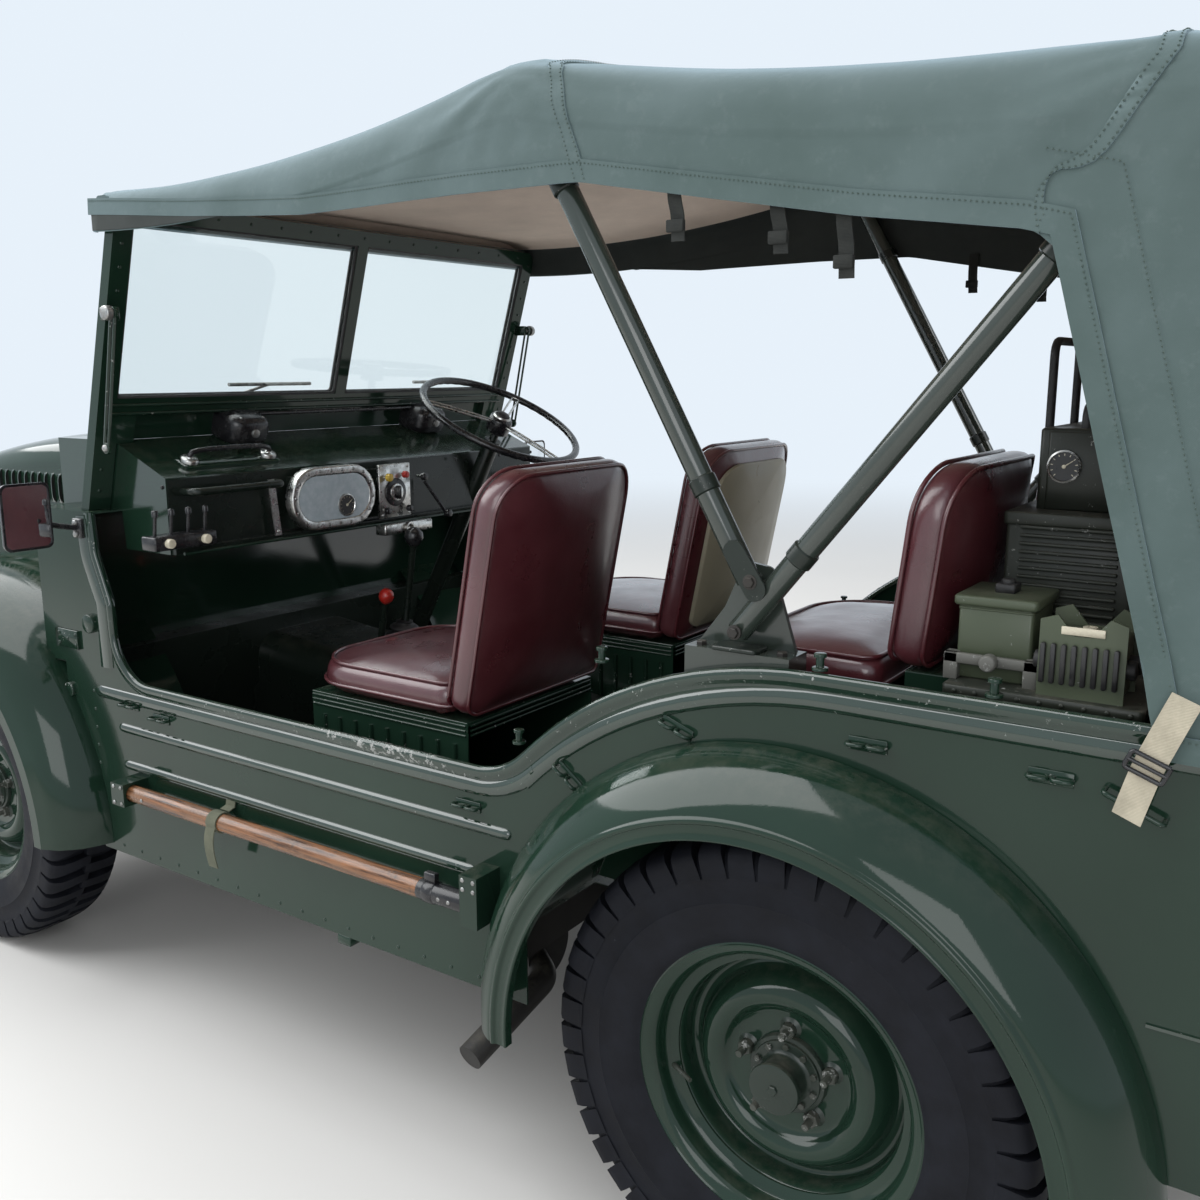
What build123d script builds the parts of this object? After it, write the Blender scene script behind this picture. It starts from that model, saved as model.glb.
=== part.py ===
from build123d import *
import math
import os

os.makedirs("parts", exist_ok=True)

# Open four-wheel-drive army car of the early 1950s, right-hand drive, hood up.
# Frame: +X forward, +Y left, +Z up, origin on the ground under the middle. Millimetres.

# Wheels and axles
wheelbase = 2134.0
track = 1219.0
front_axle_x = 1270.0
rear_axle_x = front_axle_x - wheelbase
half_track = track / 2
tyre_radius = 372.0
axle_z = tyre_radius
tyre_width = 172.0
rim_radius = 203.0
rim_width = 130.0

# Body
front_end_x = 1830.0
rear_end_x = -1830.0
body_half = 671.0
sheet = 3.0
inside_half = body_half - sheet
sill_z = 357.0
door_rail_z = 750.0
rear_rail_z = 990.0
shoulder_z = 1093.0
tail_x = -1564.0
tail_bottom_z = 437.0
firewall_x = 830.0
bulkhead_x = 900.0
shelf_z = 762.0
shoulder_width = 71.0
cowl_half = body_half - shoulder_width
dash_x = 536.0
dash_top_z = 1165.0
dash_bottom_z = 1010.0
cowl_top_x = 702.0
cowl_top_z = 1236.0
bumper_depth = 65.0
rail_front_x = front_end_x - bumper_depth
panel_setback = 66.0
panel_x = rail_front_x - panel_setback
wing_reach = 110.0
wing_half = body_half + wing_reach
arch_radius = 403.0
wing_joint_radius = 508.0
front_arch_radius = 437.0

# Clearances
seat_gap = 0.3
running_gap = 0.3
moving_gap = 6.0
overlap = 1.0
far = 3000.0


def block(x, y, z):
    size = (x[1] - x[0], y[1] - y[0], z[1] - z[0])
    return Pos((x[0] + x[1]) / 2, (y[0] + y[1]) / 2, (z[0] + z[1]) / 2) * Box(*size)


def flat(points):
    """Closed outline in the drawing plane; a point's third number rounds its corner."""
    corners = [point[:2] for point in points]
    radii = [point[2] if len(point) == 3 else 0 for point in points]
    if any(radii):
        return make_face(FilletPolyline(*corners, radius=radii, close=True))
    return make_face(Polyline(*corners, close=True))


def side_plate(face, y):
    """Side view of (x, z), as thick as y says."""
    plane = Plane(origin=(0, y[0], 0), x_dir=(1, 0, 0), z_dir=(0, -1, 0))
    return extrude(plane * face, amount=y[1] - y[0], dir=(0, 1, 0))


def cross_plate(face, x):
    """Front view of (y, z), as thick as x says."""
    plane = Plane(origin=(x[0], 0, 0), x_dir=(0, 1, 0), z_dir=(1, 0, 0))
    return extrude(plane * face, amount=x[1] - x[0], dir=(1, 0, 0))


def plan_plate(face, z):
    """Plan of (x, y), as thick as z says."""
    return extrude(Pos(0, 0, z[0]) * face, amount=z[1] - z[0], dir=(0, 0, 1))


def rod(start, end, radius):
    path = Vector(*end) - Vector(*start)
    return Plane(origin=start, z_dir=path) * Pos(0, 0, path.length / 2) * Cylinder(radius, path.length)


def disc_x(x, y, z, radius):
    return rod((x[0], y, z), (x[1], y, z), radius)


def disc_y(x, y, z, radius):
    return rod((x, y[0], z), (x, y[1], z), radius)


def disc_z(x, y, z, radius):
    return rod((x, y, z[0]), (x, y, z[1]), radius)


def tube_path(points, bend, radius):
    line = FilletPolyline(*points, radius=bend)
    return sweep(Plane(origin=line @ 0, z_dir=line % 0) * Circle(radius), path=line)


def mirrored(shape):
    return mirror(shape, about=Plane.XZ)


def turned(points):
    """Solid turned about the drawing plane's upright axis from an outline of (radius, height)."""
    return revolve(Plane.XZ * flat(points), Axis.Z, 360)


def save(name, *shapes):
    solids = [solid for shape in shapes for solid in shape.solids()]
    whole = solids[0] if len(solids) == 1 else Compound(children=solids)
    export_step(whole, f"parts/{name}.step")


# Chassis frame: two channel rails, cross members, a cross brace and body outriggers
rail_y = (250.0, 300.0)
rail_z = (400.0, 500.0)
rail_x = (-1540.0, rail_front_x)
rail_wall = 8.0
rail_end = 40.0
rail_web = rail_y[1] - rail_wall
front_member_x = rail_front_x - 165.0
cross_member_x = (rail_x[0], -1180.0, -420.0, 560.0, front_member_x)
cross_member_length = 50.0
cross_member_inset = 10.0
brace_x = (-340.0, 530.0)
brace_half = 30.0
brace_inset = 20.0
outrigger_x = (-400.0, 100.0, 600.0)
outrigger_length = 40.0


def make_chassis():
    """Rails, cross members, brace and outriggers: each is a solid that meets its neighbour face to face."""
    rail = block(rail_x, rail_y, rail_z)
    rail -= block((rail_x[0] + rail_end, rail_x[1] - rail_end), (rail_y[0] - overlap, rail_web),
                  (rail_z[0] + rail_wall, rail_z[1] - rail_wall))
    pieces = [rail, mirrored(rail)]
    for x in cross_member_x:
        reach = rail_y[0] if x == rail_x[0] else rail_web
        pieces.append(block((x, x + cross_member_length), (-reach, reach),
                            (rail_z[0] + cross_member_inset, rail_z[1] - cross_member_inset)))
    brace = plan_plate(
        flat([(brace_x[0] - brace_half, -rail_web), (brace_x[0] + brace_half, -rail_web),
              (brace_x[1] + brace_half, rail_web), (brace_x[1] - brace_half, rail_web)]),
        (rail_z[0] + brace_inset, rail_z[1] - brace_inset))
    pieces += [brace, mirrored(brace) - brace]
    for x in outrigger_x:
        arm = block((x, x + outrigger_length), (rail_y[1], inside_half - seat_gap),
                    (rail_z[0] + brace_inset, rail_z[1]))
        pieces += [arm, mirrored(arm)]
    return pieces


save("chassis_frame", *make_chassis())

# Floor pan with its transmission tunnel, cut round the rear wheel boxes
box_inner_y = 485.0
box_radius = 455.0
box_low_z = 520.0
tunnel_half = 160.0
tunnel_rear_z = 590.0
tunnel_front_z = 720.0
tunnel_round = 60.0
step_x = -470.0
deck_z = 640.0


def tunnel_top_z(x):
    share = (x - step_x) / (firewall_x - step_x)
    return tunnel_rear_z + share * (tunnel_front_z - tunnel_rear_z)


def tunnel_solid(inset, reach):
    """Block under the tunnel's sheet: its top slopes up to the firewall and its upper edges are round."""
    half = tunnel_half - inset
    arch_z = tunnel_front_z - inset
    arch = flat([(-half, 0), (-half, arch_z, tunnel_round), (half, arch_z, tunnel_round), (half, 0)])
    slope = Plane(origin=(step_x, 0, 0), x_dir=(0, 1, 0),
                  z_dir=(firewall_x - step_x, 0, tunnel_front_z - tunnel_rear_z))
    drop = tunnel_front_z - tunnel_rear_z
    length = math.hypot(firewall_x - step_x, drop)
    run = extrude(slope * Pos(0, -drop * (firewall_x - step_x) / length) * arch, amount=2 * length, both=True)
    return run & block((step_x - reach, firewall_x + reach), (-half, half), (rail_z[1] - reach, far))


def make_floor():
    pan = block((step_x, firewall_x), (-inside_half, inside_half), (rail_z[1], rail_z[1] + sheet))
    pan += block((firewall_x - sheet, firewall_x), (-inside_half, inside_half), (rail_z[1], shelf_z))
    pan += block((firewall_x - sheet, bulkhead_x), (-inside_half, inside_half), (shelf_z - sheet, shelf_z))
    pan += block((step_x, step_x + sheet), (-inside_half, inside_half), (rail_z[1], deck_z))
    pan += tunnel_solid(0, 0)
    pan -= tunnel_solid(sheet, overlap)
    for sign in (1, -1):
        pan -= disc_y(rear_axle_x, (sign * (box_inner_y - seat_gap), sign * body_half), axle_z,
                      box_radius + seat_gap)
    return pan


save("floor_pan", make_floor())


# Rear floor and wheel boxes
def make_rear_floor():
    deck = block((tail_x + sheet, step_x), (-box_inner_y, box_inner_y), (deck_z - sheet, deck_z))
    deck += block((tail_x + sheet, rear_axle_x - box_radius), (-inside_half, inside_half),
                  (deck_z - sheet, deck_z))
    above = block((-far, far), (-body_half, body_half), (box_low_z, far))
    for sign in (1, -1):
        drum = disc_y(rear_axle_x, (sign * box_inner_y, sign * inside_half), axle_z, box_radius)
        core = disc_y(rear_axle_x, (sign * (box_inner_y + sheet), sign * (inside_half + overlap)), axle_z,
                      box_radius - sheet)
        deck = deck - core + ((drum - core) & above)
    return deck


save("rear_floor", make_rear_floor())

# Body sides: one pressed sheet each, with a rolled edge round the opening, a swage below it and two ribs
hump = (-618.0, rear_rail_z, 680.0)
dip = (-378.0, door_rail_z, 139.0)
door_corner = (641.0, door_rail_z, 100.0)
door_post = [(644.0, 910.0, 60.0), (684.0, 1010.0, 60.0), (690.0, shoulder_z)]
opening_edge = [hump, dip, door_corner] + door_post
post_foot_x = 742.0
step_notch_x = -420.0
notch_z = 520.0
rolled_height = 18.0
rolled_out = 6.0
rolled_in = 14.0
swage_from_edge = (26.0, 48.0)
swage_front_x = 730.0
rib_height = 18.0
ribs = (
    # middle z, rear end x, front end x
    (645.0, -394.0, 650.0),
    (565.0, -320.0, 640.0),
)


def make_side():
    skin_face = flat([(post_foot_x, sill_z), (step_notch_x, sill_z), (step_notch_x, tail_bottom_z),
                      (tail_x, tail_bottom_z), (tail_x, rear_rail_z)] + opening_edge
                     + [(bulkhead_x, shoulder_z), (bulkhead_x, shelf_z + overlap),
                        (firewall_x, shelf_z + overlap), (firewall_x, notch_z)])
    open_face = flat([(-far, rear_rail_z)] + opening_edge + [(door_post[-1][0], far), (-far, far)])
    edge_face = (offset(open_face, amount=rolled_height, kind=Kind.INTERSECTION) - open_face) & skin_face
    edge_face = edge_face & (Pos(0, sill_z) * Rectangle(2 * far, 2 * (shoulder_z - sill_z - rolled_height)))
    skin = side_plate(skin_face, (inside_half, body_half))
    skin += side_plate(edge_face, (inside_half, body_half + rolled_out))
    inner_edge = side_plate(edge_face, (body_half - rolled_in, inside_half + overlap))
    skin += inner_edge & block((-far, dash_x), (0, body_half), (0, far))
    skin -= disc_y(rear_axle_x, (inside_half - overlap, body_half + overlap), axle_z, box_radius)
    above_swage = flat([(-far, rear_rail_z), hump, dip, (far, door_rail_z), (far, far), (-far, far)])
    near, away = (offset(above_swage, amount=reach, kind=Kind.INTERSECTION) for reach in swage_from_edge)
    swage_face = (away - near) & skin_face & (Pos(swage_front_x - far, 0) * Rectangle(2 * far, 2 * far))
    skin += side_plate(swage_face, (body_half - overlap, body_half + rolled_out))
    for z, rear_x, front_x in ribs:
        slot = Pos((rear_x + front_x) / 2, z) * SlotOverall(front_x - rear_x, rib_height)
        skin += side_plate(slot, (body_half - overlap, body_half + rolled_out))
    return skin


side_left = make_side()
save("side_left", side_left)
save("side_right", mirrored(side_left))

# Rear panel, notched over the towing jaw, with two upright stiffeners
jaw_notch_half = 46.0
jaw_notch_z = 491.0
stiffener_y = 60.0
stiffener_depth = 8.0
rib_end_space = 60.0


def make_rear_panel():
    top_z = rear_rail_z - rolled_height
    panel = block((tail_x, tail_x + sheet), (-inside_half, inside_half), (tail_bottom_z, top_z))
    panel -= block((tail_x - overlap, tail_x + sheet + overlap), (-jaw_notch_half, jaw_notch_half),
                   (tail_bottom_z - overlap, jaw_notch_z))
    for y in (-stiffener_y, stiffener_y):
        rib = SlotOverall(top_z - jaw_notch_z - rib_end_space, rib_height, rotation=90)
        slot = Pos(y, (jaw_notch_z + top_z) / 2) * rib
        panel += cross_plate(slot, (tail_x - stiffener_depth, tail_x + overlap))
    return panel


save("rear_panel", make_rear_panel())


# Scuttle: bulkhead, raised cowl and side shoulders
def cowl_outline(gap):
    """Side view of what lies under the cowl's top sheet, grown by a gap."""
    return flat([(dash_x - overlap, dash_top_z + gap), (cowl_top_x, cowl_top_z + gap),
                 (bulkhead_x + gap, cowl_top_z + gap), (bulkhead_x + gap, sill_z),
                 (dash_x - overlap, sill_z)])


def make_scuttle():
    bulk = block((bulkhead_x - sheet, bulkhead_x), (-inside_half, inside_half), (shelf_z, shoulder_z))
    bulk += block((bulkhead_x - sheet, bulkhead_x), (-cowl_half, cowl_half),
                  (shoulder_z - overlap, cowl_top_z))
    top = flat([(dash_x, dash_top_z), (cowl_top_x, cowl_top_z), (bulkhead_x, cowl_top_z),
                (bulkhead_x, cowl_top_z - sheet), (cowl_top_x, cowl_top_z - sheet),
                (dash_x, dash_top_z - sheet)])
    bulk += side_plate(top, (-cowl_half, cowl_half))
    cheek_face = flat([(dash_x, dash_bottom_z), (dash_x, dash_top_z), (cowl_top_x, cowl_top_z),
                       (bulkhead_x, cowl_top_z), (bulkhead_x, shoulder_z - overlap),
                       (door_post[-1][0], shoulder_z - overlap), door_post[1][:2],
                       (door_post[0][0], dash_bottom_z)])
    cheek = side_plate(cheek_face, (cowl_half - sheet, cowl_half))
    shoulder = block((door_post[-1][0], bulkhead_x), (cowl_half - overlap, inside_half),
                     (shoulder_z - sheet, shoulder_z))
    for part in (cheek, shoulder):
        bulk += part + mirrored(part)
    return bulk


# Bonnet: one shell on two hinges at the scuttle, with louvres in its sides
bonnet_rear_x = bulkhead_x + moving_gap
bonnet_front_x = panel_x - sheet - moving_gap
bonnet_half = 430.0
hinge_x = bonnet_rear_x + 4.0
hinge_z = cowl_top_z + 12.0
hinge_y = 300.0
hinge_half = 20.0
pin_radius = 5.0
eye_radius = 9.0
ear_width = 8.0
leaf_length = 46.0
louvre_count = 12
louvre_first_x = 1128.0
louvre_pitch = 31.0
louvre_z = (1062.0, 1134.0)
louvre_depth = 9.0
louvre_length = 20.0
bonnet_sections = (
    # x, half width, shoulder z, crown z, lower edge z
    (bonnet_rear_x, 452.0, 1160.0, 1236.0, 1048.0),
    (1300.0, 442.0, 1150.0, 1222.0, 1030.0),
    (bonnet_front_x, 425.0, 1085.0, 1152.0, 985.0),
)


def bonnet_section(x, half, shoulder, crown, low):
    rise = crown - shoulder
    points = [(half, low), (half, shoulder), (half - 26, shoulder + 0.62 * rise), (half - 90, crown - 8),
              (0, crown)]
    ring = points + [(-y, z) for y, z in reversed(points[:-1])]
    return make_face(Polyline(*[(x, y, z) for y, z in ring], close=True))


def bonnet_half_at(x):
    """Half width of the bonnet's side at a place along it."""
    for (x0, half0, *_), (x1, half1, *_) in zip(bonnet_sections, bonnet_sections[1:]):
        if x <= x1:
            return half0 + (half1 - half0) * (x - x0) / (x1 - x0)
    return bonnet_sections[-1][1]


def make_bonnet():
    outer = loft([bonnet_section(*row) for row in bonnet_sections], ruled=True)
    inner = loft([bonnet_section(x + shift, half - sheet, shoulder - sheet, crown - sheet, low - overlap)
                  for (x, half, shoulder, crown, low), shift in zip(bonnet_sections, (-overlap, 0, overlap))],
                 ruled=True)
    shell = outer - inner
    for index in range(louvre_count):
        x = louvre_first_x + index * louvre_pitch
        side = bonnet_half_at(x)
        wedge = plan_plate(flat([(x, side - overlap), (x, side + louvre_depth),
                                 (x + louvre_length, side - overlap)]), louvre_z)
        shell += wedge + mirrored(wedge)
    for y in (-hinge_y, hinge_y):
        shell -= block((bonnet_rear_x - overlap, hinge_x + eye_radius + moving_gap),
                       (y - hinge_half - ear_width - moving_gap, y + hinge_half + ear_width + moving_gap),
                       (shoulder_z, hinge_z + eye_radius))
        shell += disc_y(hinge_x, (y - hinge_half, y + hinge_half), hinge_z, eye_radius)
        shell += block((hinge_x, hinge_x + leaf_length), (y - hinge_half, y + hinge_half),
                       (cowl_top_z - eye_radius - 2, hinge_z - sheet))
        shell -= disc_y(hinge_x, (y - hinge_half - overlap, y + hinge_half + overlap), hinge_z,
                        pin_radius + running_gap)
    return shell


save("bonnet", make_bonnet())


def make_bonnet_ears():
    """Ears and pins on the scuttle that carry the bonnet's eyes."""
    ears = None
    ear_face = flat([(bulkhead_x - 30, cowl_top_z - overlap), (bulkhead_x - 30, cowl_top_z + 4),
                     (hinge_x - 6, hinge_z + 9, 4), (hinge_x + 7, hinge_z + 9, 4), (hinge_x + 7, hinge_z - 7),
                     (bulkhead_x, cowl_top_z - overlap)])
    for y in (-hinge_y, hinge_y):
        for inner in (y - hinge_half - overlap - ear_width, y + hinge_half + overlap):
            ear = side_plate(ear_face, (inner, inner + ear_width))
            ears = ear if ears is None else ears + ear
        reach = hinge_half + ear_width / 2
        ears += disc_y(hinge_x, (y - reach, y + reach), hinge_z, pin_radius)
    return ears


save("scuttle", make_scuttle() + make_bonnet_ears())

# Steering column and wheel, on the right
column_y = -355.0
column_radius = 22.0
shaft_radius = 11.0
column_tilt = 28.0
wheel_centre = (442.0, column_y, 1250.0)
column_top = -60.0
column_end = -760.0
shaft_top = 12.0
shaft_length = 82.0
steering_rim = 212.0
rim_grip = 9.0
hub_radius = 32.0
hub_height = 44.0
hub_drop = 14.0
spoke_radius = 3.5
spoke_sunk = 4.0
spoke_spread = 9.0
spoke_angles = (90.0, 210.0, 330.0)
column_axis = (-math.sin(math.radians(column_tilt)), 0.0, math.cos(math.radians(column_tilt)))


def along_column(distance):
    return tuple(start + part * distance for start, part in zip(wheel_centre, column_axis))


def make_column():
    column = rod(along_column(column_top), along_column(column_end), column_radius)
    column += rod(along_column(shaft_top), along_column(shaft_top - shaft_length), shaft_radius)
    column -= block((firewall_x - sheet - seat_gap, far), (-far, 0), (0, far))
    column -= block((0, far), (-far, 0), (0, rail_z[1] + sheet))
    return column


def make_steering_wheel():
    wheel = Torus(steering_rim, rim_grip) + Pos(0, 0, -hub_drop) * Cylinder(hub_radius, hub_height)
    spoke_length = steering_rim - hub_radius + 4
    for angle in spoke_angles:
        for side in (-spoke_spread, spoke_spread):
            foot_x = hub_radius - spoke_sunk
            spoke = rod((foot_x, side, -rim_grip / 2), (foot_x + spoke_length, side, 0), spoke_radius)
            wheel += Rot(0, 0, angle) * spoke
    wheel -= Pos(0, 0, -hub_height) * Cylinder(shaft_radius + running_gap, 2 * hub_height + 2 * shaft_top + 6)
    return Plane(origin=wheel_centre, x_dir=(0, 1, 0), z_dir=column_axis) * wheel


save("steering_column", make_column())
save("steering_wheel", make_steering_wheel())

# Dash panel with its lower lip, instrument panel, large window bezel, switch dial and grab rail
panel_y = (-100.0, 290.0)
panel_z = (1030.0, 1145.0)
panel_depth = 16.0
bezel_middle = (190.0, 1090.0)
bezel_size = (160.0, 70.0)
bezel_depth = 6.0
dial_middle = (20.0, 1088.0)
dial_radius = 38.0
lip_depth = 14.0
grab_y = (330.0, 560.0)
grab_z = 1136.0
grab_reach = 38.0
grab_radius = 8.0


def make_dash():
    half = cowl_half - sheet - seat_gap
    dash = block((dash_x, dash_x + sheet), (-half, half), (dash_bottom_z, dash_top_z - sheet - seat_gap))
    dash += block((dash_x - lip_depth, dash_x + sheet), (-half, half),
                  (dash_bottom_z, dash_bottom_z + lip_depth - 2))
    dash += block((dash_x - panel_depth, dash_x + overlap), panel_y, panel_z)
    face_x = dash_x - panel_depth
    bezel = Pos(*bezel_middle) * SlotOverall(*bezel_size)
    dash += cross_plate(bezel, (face_x - bezel_depth, face_x + overlap))
    dash += disc_x((face_x - bezel_depth, face_x + overlap), *dial_middle, dial_radius)
    dash += tube_path([(dash_x, grab_y[0], grab_z), (dash_x - grab_reach, grab_y[0], grab_z),
                       (dash_x - grab_reach, grab_y[1], grab_z), (dash_x, grab_y[1], grab_z)],
                      grab_reach / 2, grab_radius)
    return dash - rod(along_column(0), along_column(column_end), column_radius + seat_gap)


save("dash_panel", make_dash())

# Front panel with upright slots and lamp holes, radiator behind it
panel_bottom_z = 560.0
panel_half = 428.0
panel_top_z = 1144.0
panel_shoulder_z = 1136.0
panel_corner_z = 1080.0
panel_shoulder_half = 330.0
slot_count = 10
slot_pitch = 40.0
slot_width = 22.0
slot_z = (640.0, 1060.0)
lamp_y = 318.0
lamp_z = 920.0
lamp_radius = 92.0
radiator_x = (front_member_x, front_member_x + cross_member_length)
radiator_half = 205.0
radiator_z = (580.0, 1070.0)
radiator_foot = 10.0


def make_front_panel():
    panel = cross_plate(
        flat([(-panel_half, panel_bottom_z), (-panel_half, panel_corner_z, 30),
              (-panel_shoulder_half, panel_shoulder_z, 60), (0, panel_top_z),
              (panel_shoulder_half, panel_shoulder_z, 60), (panel_half, panel_corner_z, 30),
              (panel_half, panel_bottom_z)]),
        (panel_x - sheet, panel_x))
    for index in range(slot_count):
        y = (index - (slot_count - 1) / 2) * slot_pitch
        slot = Pos(y, sum(slot_z) / 2) * SlotOverall(slot_z[1] - slot_z[0], slot_width, rotation=90)
        panel -= cross_plate(slot, (panel_x - 2 * sheet, panel_x + sheet))
    for y in (-lamp_y, lamp_y):
        panel -= disc_x((panel_x - 2 * sheet, panel_x + sheet), y, lamp_z, lamp_radius + seat_gap)
    foot = block((radiator_x[1] + seat_gap, panel_x), rail_y, (rail_z[1], panel_bottom_z + overlap))
    return panel + foot + mirrored(foot)


def make_radiator():
    core = block(radiator_x, (-radiator_half, radiator_half), radiator_z)
    foot_half = radiator_half + 15
    return core + block((radiator_x[0] + 6, radiator_x[1] - 6), (-foot_half, foot_half),
                        (rail_z[1] - radiator_foot, radiator_z[0] + overlap))


save("front_panel", make_front_panel())
save("radiator", make_radiator())

# Front wings: a flared arch turned about the axle, an inner side and the panel up to the bonnet
inner_side_y = 330.0
front_wing_sweep = (-22.0, 158.0)
bracket_x = (1000.0, 1060.0)
front_wing_rings = [
    # radius, y
    (front_arch_radius, wing_half), (front_arch_radius + 26, wing_half),
    (front_arch_radius + 66, wing_half - 17),
    (front_arch_radius + 100, wing_half - 53), (front_arch_radius + 122, wing_half - 109),
    (front_arch_radius + 130, wing_half - 181), (front_arch_radius + 132, inner_side_y)]


def wing_shell(axle_x, rings, sweep_angles):
    """Flared wing: a section of (radius, y) points turned about the wheel's axle."""
    below_front, sweep_angle = sweep_angles
    inner = [(max(r - sheet, rings[0][0]), y - sheet) for r, y in rings[:4]]
    inner += [(r - sheet, y) for r, y in rings[4:]]
    points = [(axle_x + r, y, axle_z) for r, y in rings + list(reversed(inner))]
    axle = Axis((axle_x, 0, axle_z), (0, -1, 0))
    wing = revolve(make_face(Polyline(*points, close=True)), axle, sweep_angle)
    return Pos(axle_x, 0, axle_z) * Rot(0, below_front, 0) * Pos(-axle_x, 0, -axle_z) * wing


def make_front_wing():
    rear_x = bulkhead_x + seat_gap
    front_x = panel_x - sheet - moving_gap
    crown_radius = front_wing_rings[-1][0] - overlap
    wing = wing_shell(front_axle_x, front_wing_rings, front_wing_sweep)
    wing -= block((0, rear_x), (0, body_half), (0, far))
    wing -= block((front_x, far), (0, panel_half + seat_gap), (0, far))
    inner = block((rear_x, radiator_x[0] - 4), (inner_side_y - sheet, inner_side_y), (rail_z[1], far))
    wing += inner & disc_y(front_axle_x, (inner_side_y - sheet - overlap, inner_side_y + overlap), axle_z,
                           crown_radius)
    wing += block(bracket_x, (rail_y[1], inner_side_y), (rail_z[1] - 30, rail_z[1] + 20))
    first, second, third = bonnet_sections
    rise = side_plate(flat([(rear_x, door_rail_z), (rear_x, first[4] - moving_gap),
                            (second[0], second[4] - moving_gap), (front_x, third[4] - moving_gap),
                            (front_x, door_rail_z)]),
                      (bonnet_half - sheet, bonnet_half))
    rise -= disc_y(front_axle_x, (bonnet_half - sheet - overlap, bonnet_half + overlap), axle_z, crown_radius)
    return wing + rise


front_wing = make_front_wing()
save("front_wing_left", front_wing)
save("front_wing_right", mirrored(front_wing))

# Rear wings
rear_wing_sweep = (2.0, 184.0)
rear_wing_rings = [
    # radius, y
    (arch_radius, wing_half), (arch_radius + 30, wing_half), (arch_radius + 58, wing_half - 13),
    (arch_radius + 80, wing_half - 37), (wing_joint_radius - 8, wing_half - 69),
    (wing_joint_radius, body_half)]


def make_rear_wing():
    wing = wing_shell(rear_axle_x, rear_wing_rings, rear_wing_sweep)
    return wing - block((-far, 0), (0, body_half), (0, far))


rear_wing = make_rear_wing()
save("rear_wing_left", rear_wing)
save("rear_wing_right", mirrored(rear_wing))

# Windscreen: raked frame with two panes; screen_plane has y across and its own height up the rake
screen_base = (754.0, 0.0, shoulder_z)
screen_rake = 16.4
screen_length = 636.0
screen_inset = 19.0
screen_half = body_half - screen_inset
screen_corner = 34.0
frame_depth = 26.0
frame_low = 150.0
pane_low = 246.0
pane_high = screen_length - 34.0
pane_half = screen_half - 42.0
centre_bar_half = 16.0
pane_depth = (-16.0, -11.0)
post_inner = cowl_half + 3.0
post_drop = 12.0
clamp_y = 300.0
clamp_half = 45.0
clamp_v = (150.0, 206.0)
clamp_depth = 60.0
tilt = math.radians(screen_rake)
screen_plane = Plane(origin=screen_base, x_dir=(0, 1, 0), z_dir=(math.cos(tilt), 0, math.sin(tilt)))


def screen_box(y, v, n):
    return screen_plane * block(y, v, n)


def make_screen_frame():
    half, top = screen_half, screen_length
    outline = flat([(-half, frame_low), (-half, top, screen_corner), (half, top, screen_corner),
                    (half, frame_low)])
    frame = extrude(screen_plane * outline, amount=-frame_depth)
    for side in ((-pane_half, -centre_bar_half), (centre_bar_half, pane_half)):
        frame -= screen_box(side, (pane_low, pane_high), (-frame_depth - overlap, overlap))
    frame -= screen_box((-post_inner + 40, post_inner - 40), (frame_low - overlap, pane_low - 34),
                        (-frame_depth - overlap, -8))
    for post in ((post_inner, half), (-half, -post_inner)):
        frame += screen_box(post, (-post_drop, frame_low + overlap), (-frame_depth, 0))
    for y in (-clamp_y, clamp_y):
        frame += screen_box((y - clamp_half, y + clamp_half), clamp_v, (-clamp_depth, -8))
    frame -= side_plate(cowl_outline(seat_gap), (-cowl_half - seat_gap, cowl_half + seat_gap))
    return frame - block((dash_x, far), (-body_half, body_half), (0, shoulder_z + seat_gap))


def make_panes():
    panes = []
    for inner, outer in ((-pane_half, -centre_bar_half), (centre_bar_half, pane_half)):
        panes.append(screen_box((inner + seat_gap, outer - seat_gap),
                                (pane_low + seat_gap, pane_high - seat_gap), pane_depth))
    return panes


save("windscreen_frame", make_screen_frame())
save("windscreen_glass", *make_panes())

# Hood canvas: one shell over the header and two bows, open at the sides and behind
canvas = 4.0
hood_half = inside_half
hood_low_z = 900.0
hood_rows = (
    # x, crown z, edge z
    (604.0, 1728.0, 1712.0),
    (-396.0, 1862.0, 1806.0),
    (-1316.0, 1762.0, 1716.0),
    (-1548.0, 1640.0, 1590.0),
)
side_window = [(700, 800), (700, 1660), (558, 1660), (28, 1628), (-297, 1633), (-525, 1630), (-722, 1596),
               (-927, 1559), (-1150, 1524), (-1318, 940), (-1318, 800)]


def hood_section(x, crown, edge, low, thick):
    half = hood_half - thick
    points = [(half, low), (half, edge - 52 - thick), (half - 18, edge - 14 - thick),
              (half - 52, edge + 2 - thick), (0, crown - thick)]
    ring = points + [(-y, z) for y, z in reversed(points[:-1])]
    return make_face(Polyline(*[(x, y, z) for y, z in ring], close=True))


def make_hood():
    outer = loft([hood_section(*row, hood_low_z, 0) for row in hood_rows], ruled=True)
    inner = loft([hood_section(x + shift, crown, edge, hood_low_z - overlap, canvas)
                  for (x, crown, edge), shift in zip(hood_rows, (overlap, 0, 0, canvas))], ruled=True)
    shell = outer - inner - side_plate(flat(side_window), (-wing_half, wing_half))
    return shell - block((-far, cowl_top_x), (-wing_half, wing_half), (0, rear_rail_z + seat_gap))


save("hood_canvas", make_hood())

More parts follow.
